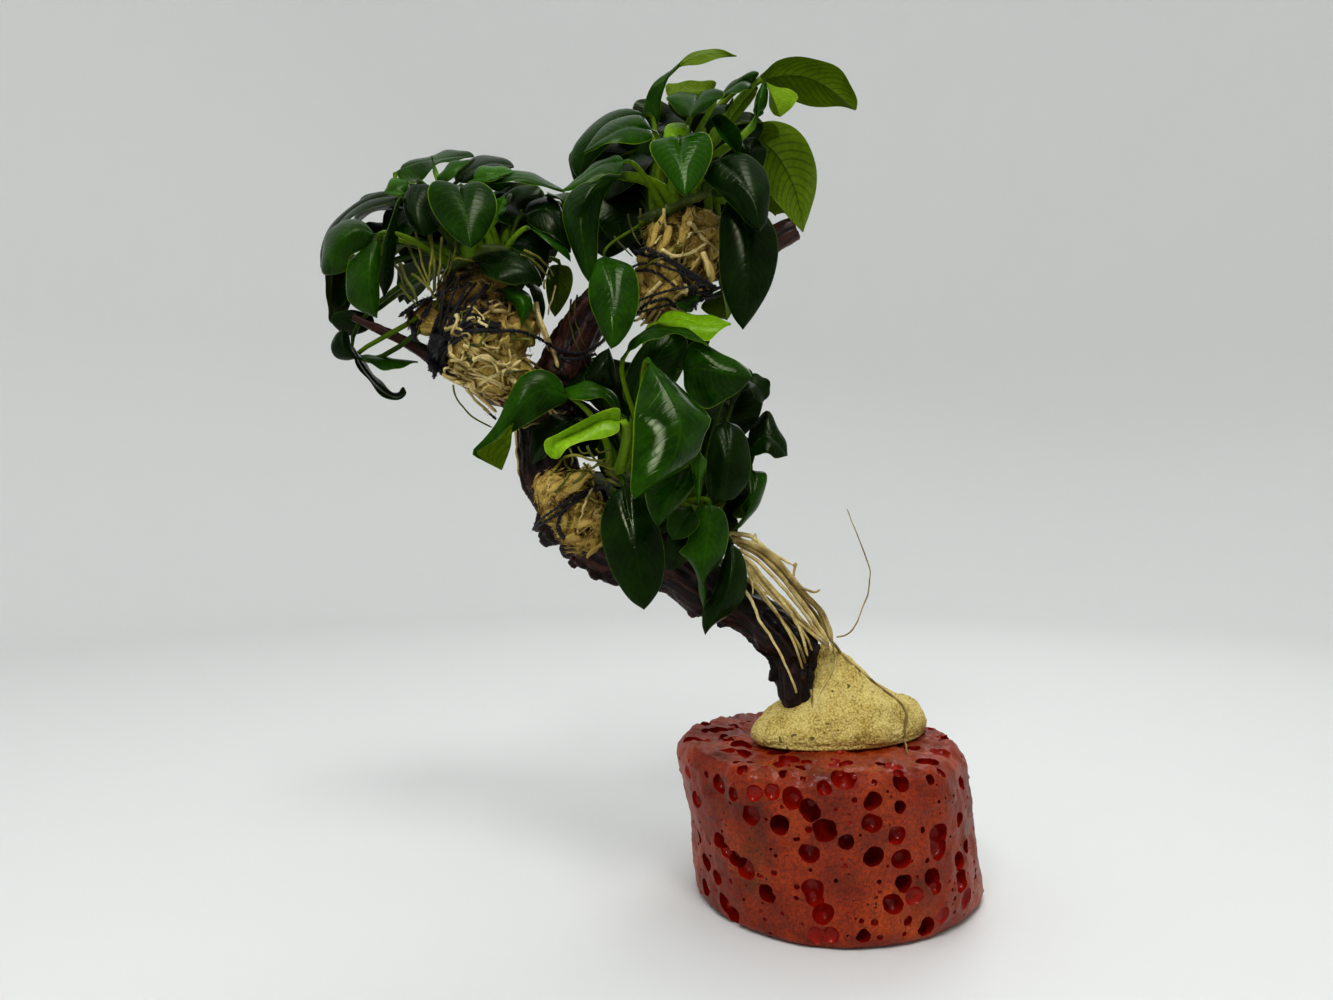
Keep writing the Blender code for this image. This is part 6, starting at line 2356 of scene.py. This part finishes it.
SMALL_LEAVES = (
    Leaf("top_petiole", T, 0.74, (757, 116, -12), (760, 98, -12), (0.5, 0.3, 0.8), width=4, age=FRESH,
        stalk=1.5, lift=0),
    Leaf("left_big_stalk", L, 0.42, (497, 214, -17), (504, 196, -12), (0.5, 0.3, 0.8), width=4, age=FRESH,
        stalk=1.9, lift=0),
    Leaf("left_green_below", L, 0.74, (484, 184, -9), (520, 183, -6), (0.1, 0.3, 0.9), age=FRESH, tone=-0.3,
        edges=(((495, 182), (508, 181)), ((490, 189), (500, 191), (511, 186)))),
    Leaf("left_hanging", L, 0.92, (527, 281, -6), (541, 325, -8), (0.3, 0.4, 0.9), age=OLD,
        edges=(((532, 296), (536, 312)), ((540, 288), (545, 304), (544, 317)))),
    Leaf("left_grey", L, 0.5, (442, 184, -10), (470, 160, -6), (-0.5, 0.55, 0.6), falls=(3, -1),
        edges=(((437, 178), (443, 169), (455, 161)), ((449, 181), (458, 172), (466, 164)))),
    Leaf("left_light", L, 0.7, (474, 180, -14), (516, 172, -9), (0.0, 0.7, 0.7), age=FRESH, falls=(4, -1),
        edges=(((474, 173), (481, 167), (493, 165), (506, 168)), ((482, 183), (495, 180), (507, 175)))),
    Leaf("left_shoot_leaf", L, 0.35, (410, 192, -6), (384, 193, -6), (-0.2, 0.7, 0.6), age=FRESH,
        falls=(4, -1), edges=(((408, 182), (400, 177), (390, 181)), ((402, 196), (393, 196)))),
    Leaf("left_spear", L, 0.4, (433, 162, -4), (432, 156, -3), (0.0, 0.3, 0.95), width=1.6, fold=70,
        age=FRESH, lift=0),
    Leaf("left_back_low", L, 0.04, (372, 314, 8), (346, 336, 10), (-0.2, 0.7, 0.6), age=OLD, falls=(0, 0),
        edges=(((350, 310), (334, 314), (333, 326)), ((374, 325), (362, 333)))),
    Leaf("left_curled", L, 0.02, (357, 358, -4), (343, 330, -6), (-0.2, 0.5, 0.85), age=OLD, falls=(3, 3),
        via=((345, 348), (342, 339)), edges=(((346, 361), (335, 357), (331, 346), (335, 334)), ((353, 350),
        (350, 340), (348, 333)))),
    Leaf("left_grey_low", L, 0.02, (361, 356, -2), (418, 362, 0), (0.1, 0.85, 0.5), falls=(8, -6), cup=0.2,
        edges=(((371, 355), (384, 357), (400, 361)), ((366, 362), (379, 368), (391, 371), (405, 366)))),
    Leaf("left_narrow", L, 0.9, (530, 228, -10), (571, 262, -10), (0.2, 0.7, 0.6), age=FRESH, tone=-0.3,
        edges=(((545, 231), (560, 241), (569, 253)), ((545, 239), (558, 247), (567, 257)))),
    Leaf("left_olive", L, 0.98, (560, 265, 14), (555, 317, 12), (0.1, 0.2, -0.9), falls=(2, 2),
        edges=(((549, 267), (546, 281), (547, 297), (550, 309)), ((570, 267), (573, 282), (568, 298),
        (561, 310)))),
    *hidden(L,
            (0.74, (508, 236, 0), (547, 262, -2), 17, (0.2, 0.6, 0.75)),
            (0.6, (500, 200, 2), (536, 232, 0), 22, (0.1, 0.55, 0.8)),
            (0.3, (420, 214, 2), (392, 252, 2), 18, (-0.3, 0.5, 0.8)),
            (0.2, (396, 236, 4), (350, 256, 4), 18, (-0.3, 0.7, 0.6)),
            (0.12, (386, 262, 6), (352, 300, 6), 20, (-0.5, 0.5, 0.7)),
            (0.42, (444, 206, 6), (434, 248, 6), 20, (-0.1, 0.3, 0.9)),
            (0.34, (396, 206, 8), (352, 232, 10), 22, (-0.3, 0.7, 0.6)),
            (0.16, (372, 270, 10), (338, 306, 12), 24, (-0.5, 0.4, 0.8)),
            (0.88, (520, 218, 8), (552, 250, 8), 26, (0.2, 0.5, 0.8)),
            (0.7, (492, 196, 10), (520, 226, 10), 24, (0.1, 0.5, 0.8)),
            (0.5, (430, 196, 10), (408, 226, 10), 26, (-0.2, 0.5, 0.8)),
            (0.55, (478, 204, 4), (498, 244, 4), 20, (0.1, 0.3, 0.9))),
    Leaf("left_edge", L, 0.86, (552, 196, 2), (574, 224, 0), (0.3, 0.8, 0.4), width=14),
    Leaf("top_young", T, 0.8, (766, 83, -8), (780, 117, -12), (0.1, 0.5, -0.85), age=YOUNG, tone=-0.2,
        edges=(((769, 93), (769, 105), (773, 114)), ((783, 88), (798, 94), (794, 105), (786, 113)))),
    Leaf("top_folded", T, 0.6, (713, 92, -16), (667, 95, -18), (0.0, 0.85, -0.4), age=FRESH, falls=(1, -2),
        edges=(((715, 82), (700, 80), (684, 82), (668, 83), (666, 89)), ((700, 95), (686, 97), (673, 98)))),
    Leaf("top_arch", T, 0.5, (690, 139, -18), (663, 139, -19), (0.0, 0.9, 0.4), age=YOUNG, tone=-0.2,
        edges=(((688, 126), (676, 122), (666, 127)), ((682, 142), (671, 142)))),
    Leaf("top_behind", T, 0.96, (768, 194, -2), (785, 213, -3), (0.1, 0.4, -0.9), edges=(((767, 208),
        (775, 214)), ((777, 202), (784, 208)))),
    Leaf("top_low", T, 0.98, (722, 290, 6), (727, 320, 5), (0.2, 0.3, -0.9), edges=(((708, 297), (701, 308),
        (714, 317)), ((731, 298), (732, 311)))),
    Leaf("top_dark_low", T, 0.9, (680, 298, -10), (691, 312, -11), (0.1, 0.3, 0.9), width=9),
    Leaf("top_spear", T, 0.66, (728, 124, -10), (733, 98, -10), (-0.6, 0.1, 0.8), width=4, fold=65, lift=0,
        age=FRESH),
    Leaf("top_scroll", T, 0.64, (737, 150, -16), (713, 118, -16), (-0.3, 0.3, 0.9), width=9, fold=50,
        curl=2.5, lift=1),
    Leaf("top_bud", T, 0.82, (763, 82, -11), (756, 119, -12), (-0.6, 0.1, 0.7), age=FRESH, tone=-0.3,
        stalk=1.3, edges=(((757, 93), (754, 107)), ((768, 92), (766, 107)))),
    *hidden(T,
            (0.3, (640, 150, 2), (606, 200, 0), 24, (-0.3, 0.4, 0.85)),
            (0.4, (660, 124, 4), (630, 164, 2), 22, (-0.2, 0.4, 0.9)),
            (0.2, (636, 190, 4), (622, 250, 2), 22, (-0.2, 0.2, 0.95)),
            (0.14, (650, 206, 6), (644, 262, 4), 20, (0.0, 0.2, 1.0)),
            (0.56, (704, 132, 4), (716, 186, 2), 22, (0.1, 0.3, 0.9)),
            (0.46, (672, 150, 4), (664, 204, 2), 22, (0.0, 0.3, 0.9)),
            (0.7, (716, 104, -4), (700, 140, -6), 16, (-0.1, 0.4, 0.9)),
            (0.26, (622, 156, 10), (590, 202, 10), 30, (-0.3, 0.4, 0.85)),
            (0.16, (620, 200, 10), (606, 258, 10), 28, (-0.2, 0.3, 0.9)),
            (0.3, (650, 176, 10), (638, 234, 10), 26, (0.0, 0.3, 0.9)),
            (0.44, (676, 112, 8), (650, 150, 8), 24, (-0.1, 0.3, 0.9)),
            (0.64, (724, 118, 4), (736, 160, 4), 22, (0.2, 0.3, 0.9)),
            (0.76, (740, 140, -4), (752, 180, -4), 12, (0.3, 0.3, 0.9))),
    Leaf("middle_torn", M, 0.72, (740, 380, -10), (764, 400, -12), (0.2, 0.6, 0.75), width=9, age=OLD,
        rise=0.6, fall=0.3),
    Leaf("middle_behind", M, 0.16, (604, 386, -8), (609, 348, -6), (-0.3, 0.2, 0.9), age=OLD, falls=(2, 2),
        edges=(((584, 380), (591, 364), (600, 353)), ((616, 385), (615, 368), (612, 355)))),
    Leaf("middle_narrow", M, 0.5, (700, 451, -32), (698, 508, -34), (0.5, 0.1, 0.85), age=FRESH,
        edges=(((691, 462), (694, 480), (696, 496)), ((707, 462), (703, 479), (701, 495)))),
    Leaf("middle_dark", M, 0.06, (572, 420, -10), (532, 464, -9), (-0.3, 0.4, 0.85), width=12, age=OLD),
    Leaf("middle_small_1", M, 0.5, (690, 510, -22), (672, 540, -24), (0.1, 0.3, 0.95), width=10),
    Leaf("middle_small_2", M, 0.54, (682, 534, -20), (668, 570, -21), (0.2, 0.2, 0.95), width=9, age=OLD),
    Leaf("middle_stalk_leaf", M, 0.72, (735, 392, -6), (728, 366, -6), (0.2, 0.5, 0.8), width=12, age=OLD),
    Leaf("middle_scroll", M, 0.8, (736, 492, -12), (724, 512, -14), (0.2, 0.1, 0.95), width=8, fold=48,
        curl=2.0, age=OLD),
    Leaf("middle_olive", M, 0.84, (746, 498, -10), (734, 517, -11), (0.3, 0.1, -0.9), width=8),
    *hidden(M,
            (0.3, (650, 420, -4), (636, 466, -6), 20, (-0.1, 0.3, 0.9)),
            (0.46, (690, 424, -2), (704, 470, -4), 22, (0.1, 0.3, 0.9)),
            (0.6, (716, 440, 2), (736, 486, 0), 20, (0.2, 0.3, 0.9)),
            (0.24, (630, 440, -2), (606, 478, -4), 14, (-0.2, 0.3, 0.9)),
            (0.66, (706, 512, -4), (722, 556, -5), 16, (0.1, 0.3, 0.9)),
            (0.36, (668, 490, -6), (662, 534, -8), 18, (0.0, 0.3, 0.9)),
            (0.4, (672, 350, 0), (700, 322, 4), 20, (0.1, 0.4, 0.8)),
            (0.2, (632, 366, 6), (612, 420, 4), 30, (-0.1, 0.3, 0.9)),
            (0.16, (604, 420, 8), (572, 452, 6), 30, (-0.2, 0.4, 0.85)),
            (0.52, (716, 396, 6), (738, 440, 4), 26, (0.2, 0.3, 0.9)),
            (0.6, (706, 462, 6), (724, 512, 4), 26, (0.1, 0.3, 0.9)),
            (0.48, (680, 528, -2), (684, 586, -4), 22, (0.0, 0.3, 0.9)),
            (0.12, (600, 396, -4), (570, 380, 0), 14, (-0.2, 0.6, 0.7))),
)


@dataclass(frozen=True)
class Midrib:
    """A blade's middle line: its points and directions, the way the upper face looks, and any drawn edges."""

    path: np.ndarray
    along: np.ndarray
    looks: np.ndarray
    edges: tuple = ()

    @property
    def left(self) -> np.ndarray:
        """The direction across the blade at each point."""
        return np.cross(self.along, self.looks)


@dataclass
class LeafMaker:
    """Builds a leaf as one closed body: a stalk that grows from the stem and opens into the blade.

    Every ring has a point at each of the columns, which are shares of the half width, to both sides and on
    both faces. Lengths are in mm; groove and ridge give the midrib's depth and half width above and below.
    """

    stalk_rows: int = 11
    blade_rows: int = 34
    columns: tuple = (1.0, 0.985, 0.94, 0.85, 0.72, 0.57, 0.42, 0.28, 0.15, 0.06, 0.0)
    thickness: float = 0.5
    stalk_radius: float = 0.95
    stalk_swell: float = 0.75
    stalk_flat: float = 0.88
    quilt: float = 0.035
    veins: float = 13.0
    vein_lean: float = 0.30
    groove: tuple = (0.28, 0.55)
    ridge: tuple = (0.55, 0.7)
    lobe: float = 0.03
    fine: int = 81

    def __post_init__(self) -> None:
        """Lays out a ring: q is the share across at each point, and face is 1 above and -1 below."""
        half = np.array(self.columns)
        upper = np.concatenate((half, -half[::-1][1:]))
        self.upper = len(upper)
        self.q = np.concatenate((upper, upper[::-1][1:-1]))
        self.side = np.abs(self.q)[None]
        self.rim = self.side[0] > 0.999
        self.face = np.concatenate((np.ones(len(upper)), -np.ones(len(upper) - 2)))
        self.face[self.rim] = 0.0

    def stem_place(self, leaf: Leaf) -> tuple[np.ndarray, np.ndarray]:
        """The point of the stem that the leaf grows from, and the stem's direction there.

        Args:
            leaf: what the leaf is like.

        Returns:
            The point and the direction.
        """
        stem = through(placed(leaf.clump.value[1]), 8)
        place = leaf.at * (len(stem) - 1)
        index = min(int(place), len(stem) - 2)
        step = stem[index + 1, :3] - stem[index, :3]
        return stem[index, :3] + step * (place - index), unit(step)

    def looks_of(self, face: tuple) -> np.ndarray:
        """The direction, in the row's axes, of a face given as (right, up, toward the viewer)."""
        right, up, toward = face
        return unit(np.array((right, -toward, up), float))

    def plain(self, leaf: Leaf, t: np.ndarray) -> Midrib:
        """The arched midrib of a leaf without drawn edges, at shares t of its length.

        Args:
            leaf: what the leaf is like.
            t: the shares.

        Returns:
            The midrib.
        """
        base, tip = seen(*leaf.base), seen(*leaf.tip)
        chord = unit(tip - base)
        looks = self.looks_of(leaf.face)
        looks = unit(looks - chord * looks.dot(chord))
        path = base + (tip - base) * t[:, None] + looks * leaf.lift * (4 * t * (1 - t))[:, None]
        along = units(np.gradient(path, t, axis=0))
        faces = np.repeat(looks[None], len(t), axis=0)
        return Midrib(path, along, units(square_to(faces, along)))

    def drawn(self, leaf: Leaf, t: np.ndarray) -> Midrib:
        """The midrib and the edges of a leaf whose edges are drawn, at shares t of its length.

        Args:
            leaf: what the leaf is like.
            t: the shares.

        Returns:
            The midrib with its two edges.
        """
        depths = np.linspace(leaf.base[2], leaf.tip[2], len(leaf.via) + 2)
        middle = [leaf.base, *((*knot, depth)[:3] for knot, depth in zip(leaf.via, depths[1:])), leaf.tip]
        line = picked(evenly(through(np.array(middle, float), 12), self.fine), t)
        line[:, 2] -= leaf.bulge * np.sin(math.pi * t)
        edges = []
        for knots, fall in zip(leaf.edges, leaf.falls):
            inner = ((*knot, 0.0)[:3] for knot in knots)
            row = np.array([(*leaf.base[:2], 0.0), *inner, (*leaf.tip[:2], 0.0)])
            edge = picked(evenly(through(row, 12), self.fine), t)
            edge[:, 2] += line[:, 2] + fall * np.sin(math.pi * t) ** 0.7
            edges.append(np.array([seen(*place) for place in edge]))
        path = np.array([seen(*place) for place in line])
        along = units(np.gradient(path, t, axis=0))
        looks = np.cross(edges[0] - edges[1], along)
        looks[0], looks[-1] = looks[1], looks[-2]
        looks = units(looks)
        if looks[: len(t) // 2].sum(axis=0).dot(self.looks_of(leaf.face)) < 0:
            looks = -looks
            edges.reverse()
        spread = np.pad(looks, ((2, 2), (0, 0)), mode="edge")
        looks = sum(spread[shift : shift + len(t)] for shift in range(5))
        return Midrib(path, along, units(square_to(looks, along)), tuple(edges))

    def halves(self, leaf: Leaf, rib: Midrib, t: np.ndarray) -> np.ndarray:
        """The blade's half width at each point, measured to the drawn edges if there are any.

        Args:
            leaf: what the leaf is like.
            rib: its midrib.
            t: the share of the length at each row.

        Returns:
            The half widths, a row for each ring.
        """
        if rib.edges:
            reach = [np.linalg.norm(edge - rib.path, axis=1)[:, None] for edge in rib.edges]
            return np.where(self.q[None] > 0, *reach) + 1e-6
        widest = leaf.rise / (leaf.rise + leaf.fall)
        top = widest**leaf.rise * (1 - widest) ** leaf.fall
        return leaf.width * 0.5 * (t**leaf.rise * (1 - t) ** leaf.fall / top)[:, None]

    def relief(self, leaf: Leaf, half: np.ndarray, t: np.ndarray, vein: np.ndarray,
               dice: np.random.Generator) -> np.ndarray:
        """How far each point stands off the flat blade: its waves, veins, midrib and thickness.

        Args:
            leaf: what the leaf is like.
            half: the half width at each point.
            t: the share of the length at each row, as a column.
            vein: how far along its vein's course each point is.
            dice: what the waves are drawn from.

        Returns:
            The heights, a row for each ring.
        """
        side, above = self.side, self.face[None] > 0
        waves = dice.uniform(1.6, 2.8)
        phase = np.where(self.q > 0, dice.uniform(0, math.tau), dice.uniform(0, math.tau))[None]
        ripple = np.sin(t * waves * math.tau + phase) * leaf.wave * side**2.5
        slim = np.sqrt(half / half.max())
        quilt = self.quilt * np.cos(vein * self.veins * math.tau) * (1 - side) * np.clip(side * 6, 0, 1)
        height = (ripple + leaf.curl * side**3) * slim + quilt
        height = height + self.thickness * 0.5 * (1 - side**8) * self.face[None]
        groove = self.groove[0] * np.exp(-((side * half / self.groove[1]) ** 2)) * (1 - t)
        ridge = self.ridge[0] * np.exp(-((side * half / self.ridge[1]) ** 2)) * (1 - 0.8 * t)
        return height - np.where(above, groove, 0.0) - np.where(self.face[None] < 0, ridge, 0.0)

    def body(self, leaf: Leaf, seed: int) -> tuple[tuple, dict]:
        """A leaf's points, faces and attributes.

        Args:
            leaf: what it is like.
            seed: what its small waves are drawn from.

        Returns:
            The closed body, and a number a point for each attribute.
        """
        dice = np.random.default_rng(seed)
        even = np.linspace(0.0, 1.0, self.blade_rows + 1)[1:]
        t = 0.35 * even + 0.65 * (1 - np.cos(math.pi * even)) / 2
        t[-1] = 0.998
        rib = self.drawn(leaf, t) if leaf.edges else self.plain(leaf, t)
        side, rows = self.side, t[:, None]
        half = self.halves(leaf, rib, t)
        vein = rows - self.vein_lean * side**1.35
        height = self.relief(leaf, half, rows, vein, dice)
        blade = rib.path[:, None]
        if rib.edges:
            height = height + leaf.cup * 4 * side * (1 - side) * np.minimum(half / 6.0, 1.0)
            to_edge = [(edge - rib.path)[:, None] for edge in rib.edges]
            blade = blade + np.where((self.q > 0)[None, :, None], *to_edge) * side[..., None]
        else:
            fold = math.radians(leaf.fold)
            length = run_of(rib.path)[-1]
            height = height + side * half * math.sin(fold)
            blade = blade + rib.left[:, None] * (self.q[None] * half * math.cos(fold))[..., None]
            blade = blade - rib.along[:, None] * (self.lobe * length * side**1.6 * (1 - rows) ** 5)[..., None]
        blade = blade + rib.looks[:, None] * height[..., None]
        stalk, across = self.stalk(leaf, rib)
        body = loft(np.concatenate((stalk, blade)))
        values = self.values(t, vein, across)
        values["tone"] = np.full(len(body[0]), leaf.tone + dice.uniform(-0.12, 0.12))
        values["wet"] = np.full(len(body[0]), leaf.wet)
        return body, values

    def values(self, t: np.ndarray, vein: np.ndarray, across: np.ndarray) -> dict[str, np.ndarray]:
        """What the finish reads at each point, with the middles of the two ends last.

        Args:
            t: the share of the length at each of the blade's rows.
            vein: how far along its vein's course each of the blade's points is.
            across: the share across at each point of a stalk's ring.

        Returns:
            The numbers by name.
        """
        flat = np.ones((self.stalk_rows + len(t), len(self.q)))
        along = np.concatenate((np.linspace(-1.0, -0.02, self.stalk_rows), t))[:, None] * flat
        stalk, blade = flat[: self.stalk_rows], flat[self.stalk_rows :]
        grids = {
            "along": along,
            "across": np.vstack((across * stalk, self.q * blade)),
            "under": np.where(self.face < 0, 1.0, np.where(self.rim, 0.35, 0.0)) * flat,
            "vein": np.vstack((stalk * 0.0, vein)),
        }
        ends = {name: (-1.0, 1.0) if name == "along" else (0.0, 0.0) for name in grids}
        return {name: np.concatenate((grid.ravel(), ends[name])) for name, grid in grids.items()}

    def stalk(self, leaf: Leaf, rib: Midrib) -> tuple[np.ndarray, np.ndarray]:
        """The rings of the stalk, swollen where it leaves the stem, and each side's share across.

        Args:
            leaf: what the leaf is like.
            rib: its midrib.

        Returns:
            The rings, and the share across at each point of a ring.
        """
        stem, stem_along = self.stem_place(leaf)
        end = rib.path[0] - rib.along[0] * 0.4
        out = end - stem
        out = unit(out - stem_along * out.dot(stem_along))
        span = float(np.linalg.norm(end - stem))
        a, b, c, d = stem + out, stem + out * span * 0.35, end - rib.along[0] * span * 0.25, end
        below = np.linspace(math.pi, math.tau, len(self.q) - self.upper + 2)[1:-1]
        angle = np.concatenate((np.linspace(0, math.pi, self.upper), below))
        rings = []
        for t in np.linspace(0.0, 1.0, self.stalk_rows + 1)[:-1]:
            middle = a * (1 - t) ** 3 + b * 3 * t * (1 - t) ** 2 + c * 3 * t**2 * (1 - t) + d * t**3
            slope = unit((b - a) * 3 * (1 - t) ** 2 + (c - b) * 6 * t * (1 - t) + (d - c) * 3 * t**2)
            side = unit(rib.left[0] - slope * rib.left[0].dot(slope))
            top = np.cross(side, slope)
            radius = self.stalk_radius * leaf.stalk * (1.0 + self.stalk_swell * (1 - t) ** 3 - 0.12 * t)
            flat = side * np.cos(angle)[:, None] + top * (np.sin(angle) * self.stalk_flat)[:, None]
            rings.append(middle + flat * radius)
        return np.array(rings), np.cos(angle)


@dataclass
class Plant:
    """One clump: its creeping stem, the leaves that have nodes of their own, and the smaller ones."""

    clump: Clump
    heart: tuple
    reach: tuple
    back_leaves: int
    seed: int
    stalks: tuple = (18.0, 30.0)
    blades: tuple = (20.0, 32.0)
    widths: tuple = (15.0, 22.0)
    gap: float = 9.0
    nearest: float = 2.0
    farthest: float = 44.0

    def build(self, looks: Looks) -> None:
        """Makes the stem and every leaf.

        Args:
            looks: the finishes.
        """
        name, places = self.clump.value
        path = through(placed(places), 10)
        rings = 1.0 + 0.07 * np.cos(np.arange(len(path)) * 2.1)
        shape = Shape()
        shape.add(tube(path[:, :3], path[:, 3] * rings, 20), tone=0.0)
        dress(shape.make(f"stem_{name}", looks.stem), "rhizome", f"rhizome_{name}")
        maker = LeafMaker()
        for number, leaf in enumerate(leaf for leaf in LEAVES if leaf.clump is self.clump):
            body, values = maker.body(leaf, self.seed + number)
            shape = Shape()
            shape.add(body, **values)
            made = shape.make(leaf.name.replace("leaf_", "blade_"), looks.leaves[leaf.age])
            slot = "young_leaf" if leaf.age is LeafAge.YOUNG else "leaf"
            dress(made, slot, leaf.name)
        maker = LeafMaker(stalk_rows=8, blade_rows=20, columns=(1.0, 0.955, 0.82, 0.6, 0.36, 0.14, 0.0))
        shape = Shape()
        ages = list(LeafAge)
        small = [leaf for leaf in SMALL_LEAVES if leaf.clump is self.clump]
        for number, leaf in enumerate((*small, *self.at_back())):
            body, values = maker.body(leaf, self.seed + 50 + number)
            shape.add(body, ages.index(leaf.age), **values)
        dress(shape.make(f"small_leaves_{name}", *(looks.leaves[age] for age in ages)), "leaf")

    def at_back(self) -> list[Leaf]:
        """Leaves that fill the clump's back, inside the outline that the front view gives it.

        Returns:
            The leaves.
        """
        dice = random.Random(self.seed)
        maker = LeafMaker()
        found: list[Leaf] = []
        for _ in range(600):
            if len(found) == self.back_leaves:
                break
            at = dice.random()
            plain = Leaf("back", self.clump, at, (0, 0, 0), (1, 0, 0), (0, 1, 0))
            stem, _ = maker.stem_place(plain)
            turn = math.radians(dice.uniform(-15, 195))
            climb = math.radians(dice.uniform(-15, 70))
            flat = np.array((math.cos(turn), math.sin(turn), 0.0))
            base = stem + (flat * math.cos(climb) + UP * math.sin(climb)) * dice.uniform(*self.stalks)
            droop = dice.uniform(0.2, 1.1)
            tip = base + unit(flat - UP * droop) * dice.uniform(*self.blades)
            base_seen = (*pixel_of(base), float(base[1]))
            tip_seen = (*pixel_of(tip), float(tip[1]))
            shares = (np.array((base_seen[:2], tip_seen[:2])) - self.heart) / self.reach
            inside = bool(((shares**2).sum(axis=1) < 1).all())
            apart = all(np.linalg.norm(np.array(seen(*other.base)) - base) > self.gap for other in found)
            deep = base[1] >= self.nearest and max(base[1], tip[1]) <= self.farthest
            if not (inside and apart and deep):
                continue
            face = unit(flat * droop + UP)
            # The leaf mostly takes the old finish, whose dark colour paints the shade at the clump's back
            found.append(Leaf(
                "back", self.clump, at, base_seen, tip_seen, (face[0], face[2], -face[1]),
                width=dice.uniform(*self.widths), lift=dice.uniform(2.0, 6.0), fold=dice.uniform(4.0, 18.0),
                age=dice.choice((GROWN, OLD, OLD)), wave=dice.uniform(0.4, 1.2),
                tone=dice.uniform(-0.1, 0.1)))
        return found


PLANTS = (
    Plant(L, (452, 235), (118, 84), 17, 7),
    Plant(T, (692, 160), (104, 104), 18, 107),
    Plant(M, (676, 430), (92, 112), 16, 207),
)


def main() -> None:
    """Builds the camera, the stone, the foam, the wood, the wool, the thread, the plants and their roots."""
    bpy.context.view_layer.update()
    looks = Looks()
    Studio().build(looks)
    StoneBase().build(looks)
    foam = FoamWedge().build(looks)
    wood = Driftwood().build(looks)
    plugs = {plug.clump: plug.build(looks) for plug in WOOL_PLUGS}
    trees = {name: surface_of(wood, plug) for name, plug in plugs.items()}
    for name, tie in (("left", LEFT_TIE), ("top", TOP_TIE), ("middle", MIDDLE_TIE)):
        tie.build(looks, trees[name], wood, plugs[name])
    bridge = plied("thread_bridge_ply", [through(placed(BRIDGE), 6)], looks, 0.6, 0.55, 9)
    dress(bridge, "thread", "thread_bridge")
    for bundle in ROOT_BUNDLES:
        bundle.build(looks, trees[bundle.clump])
    RootBundle("hanging", HANGING_ROOTS, 64, node="hanging_roots").build(looks, surface_of(foam))
    for plant in PLANTS:
        plant.build(looks)


if __name__ == "__main__":
    logging.basicConfig(level=logging.INFO, format="%(message)s")
    main()
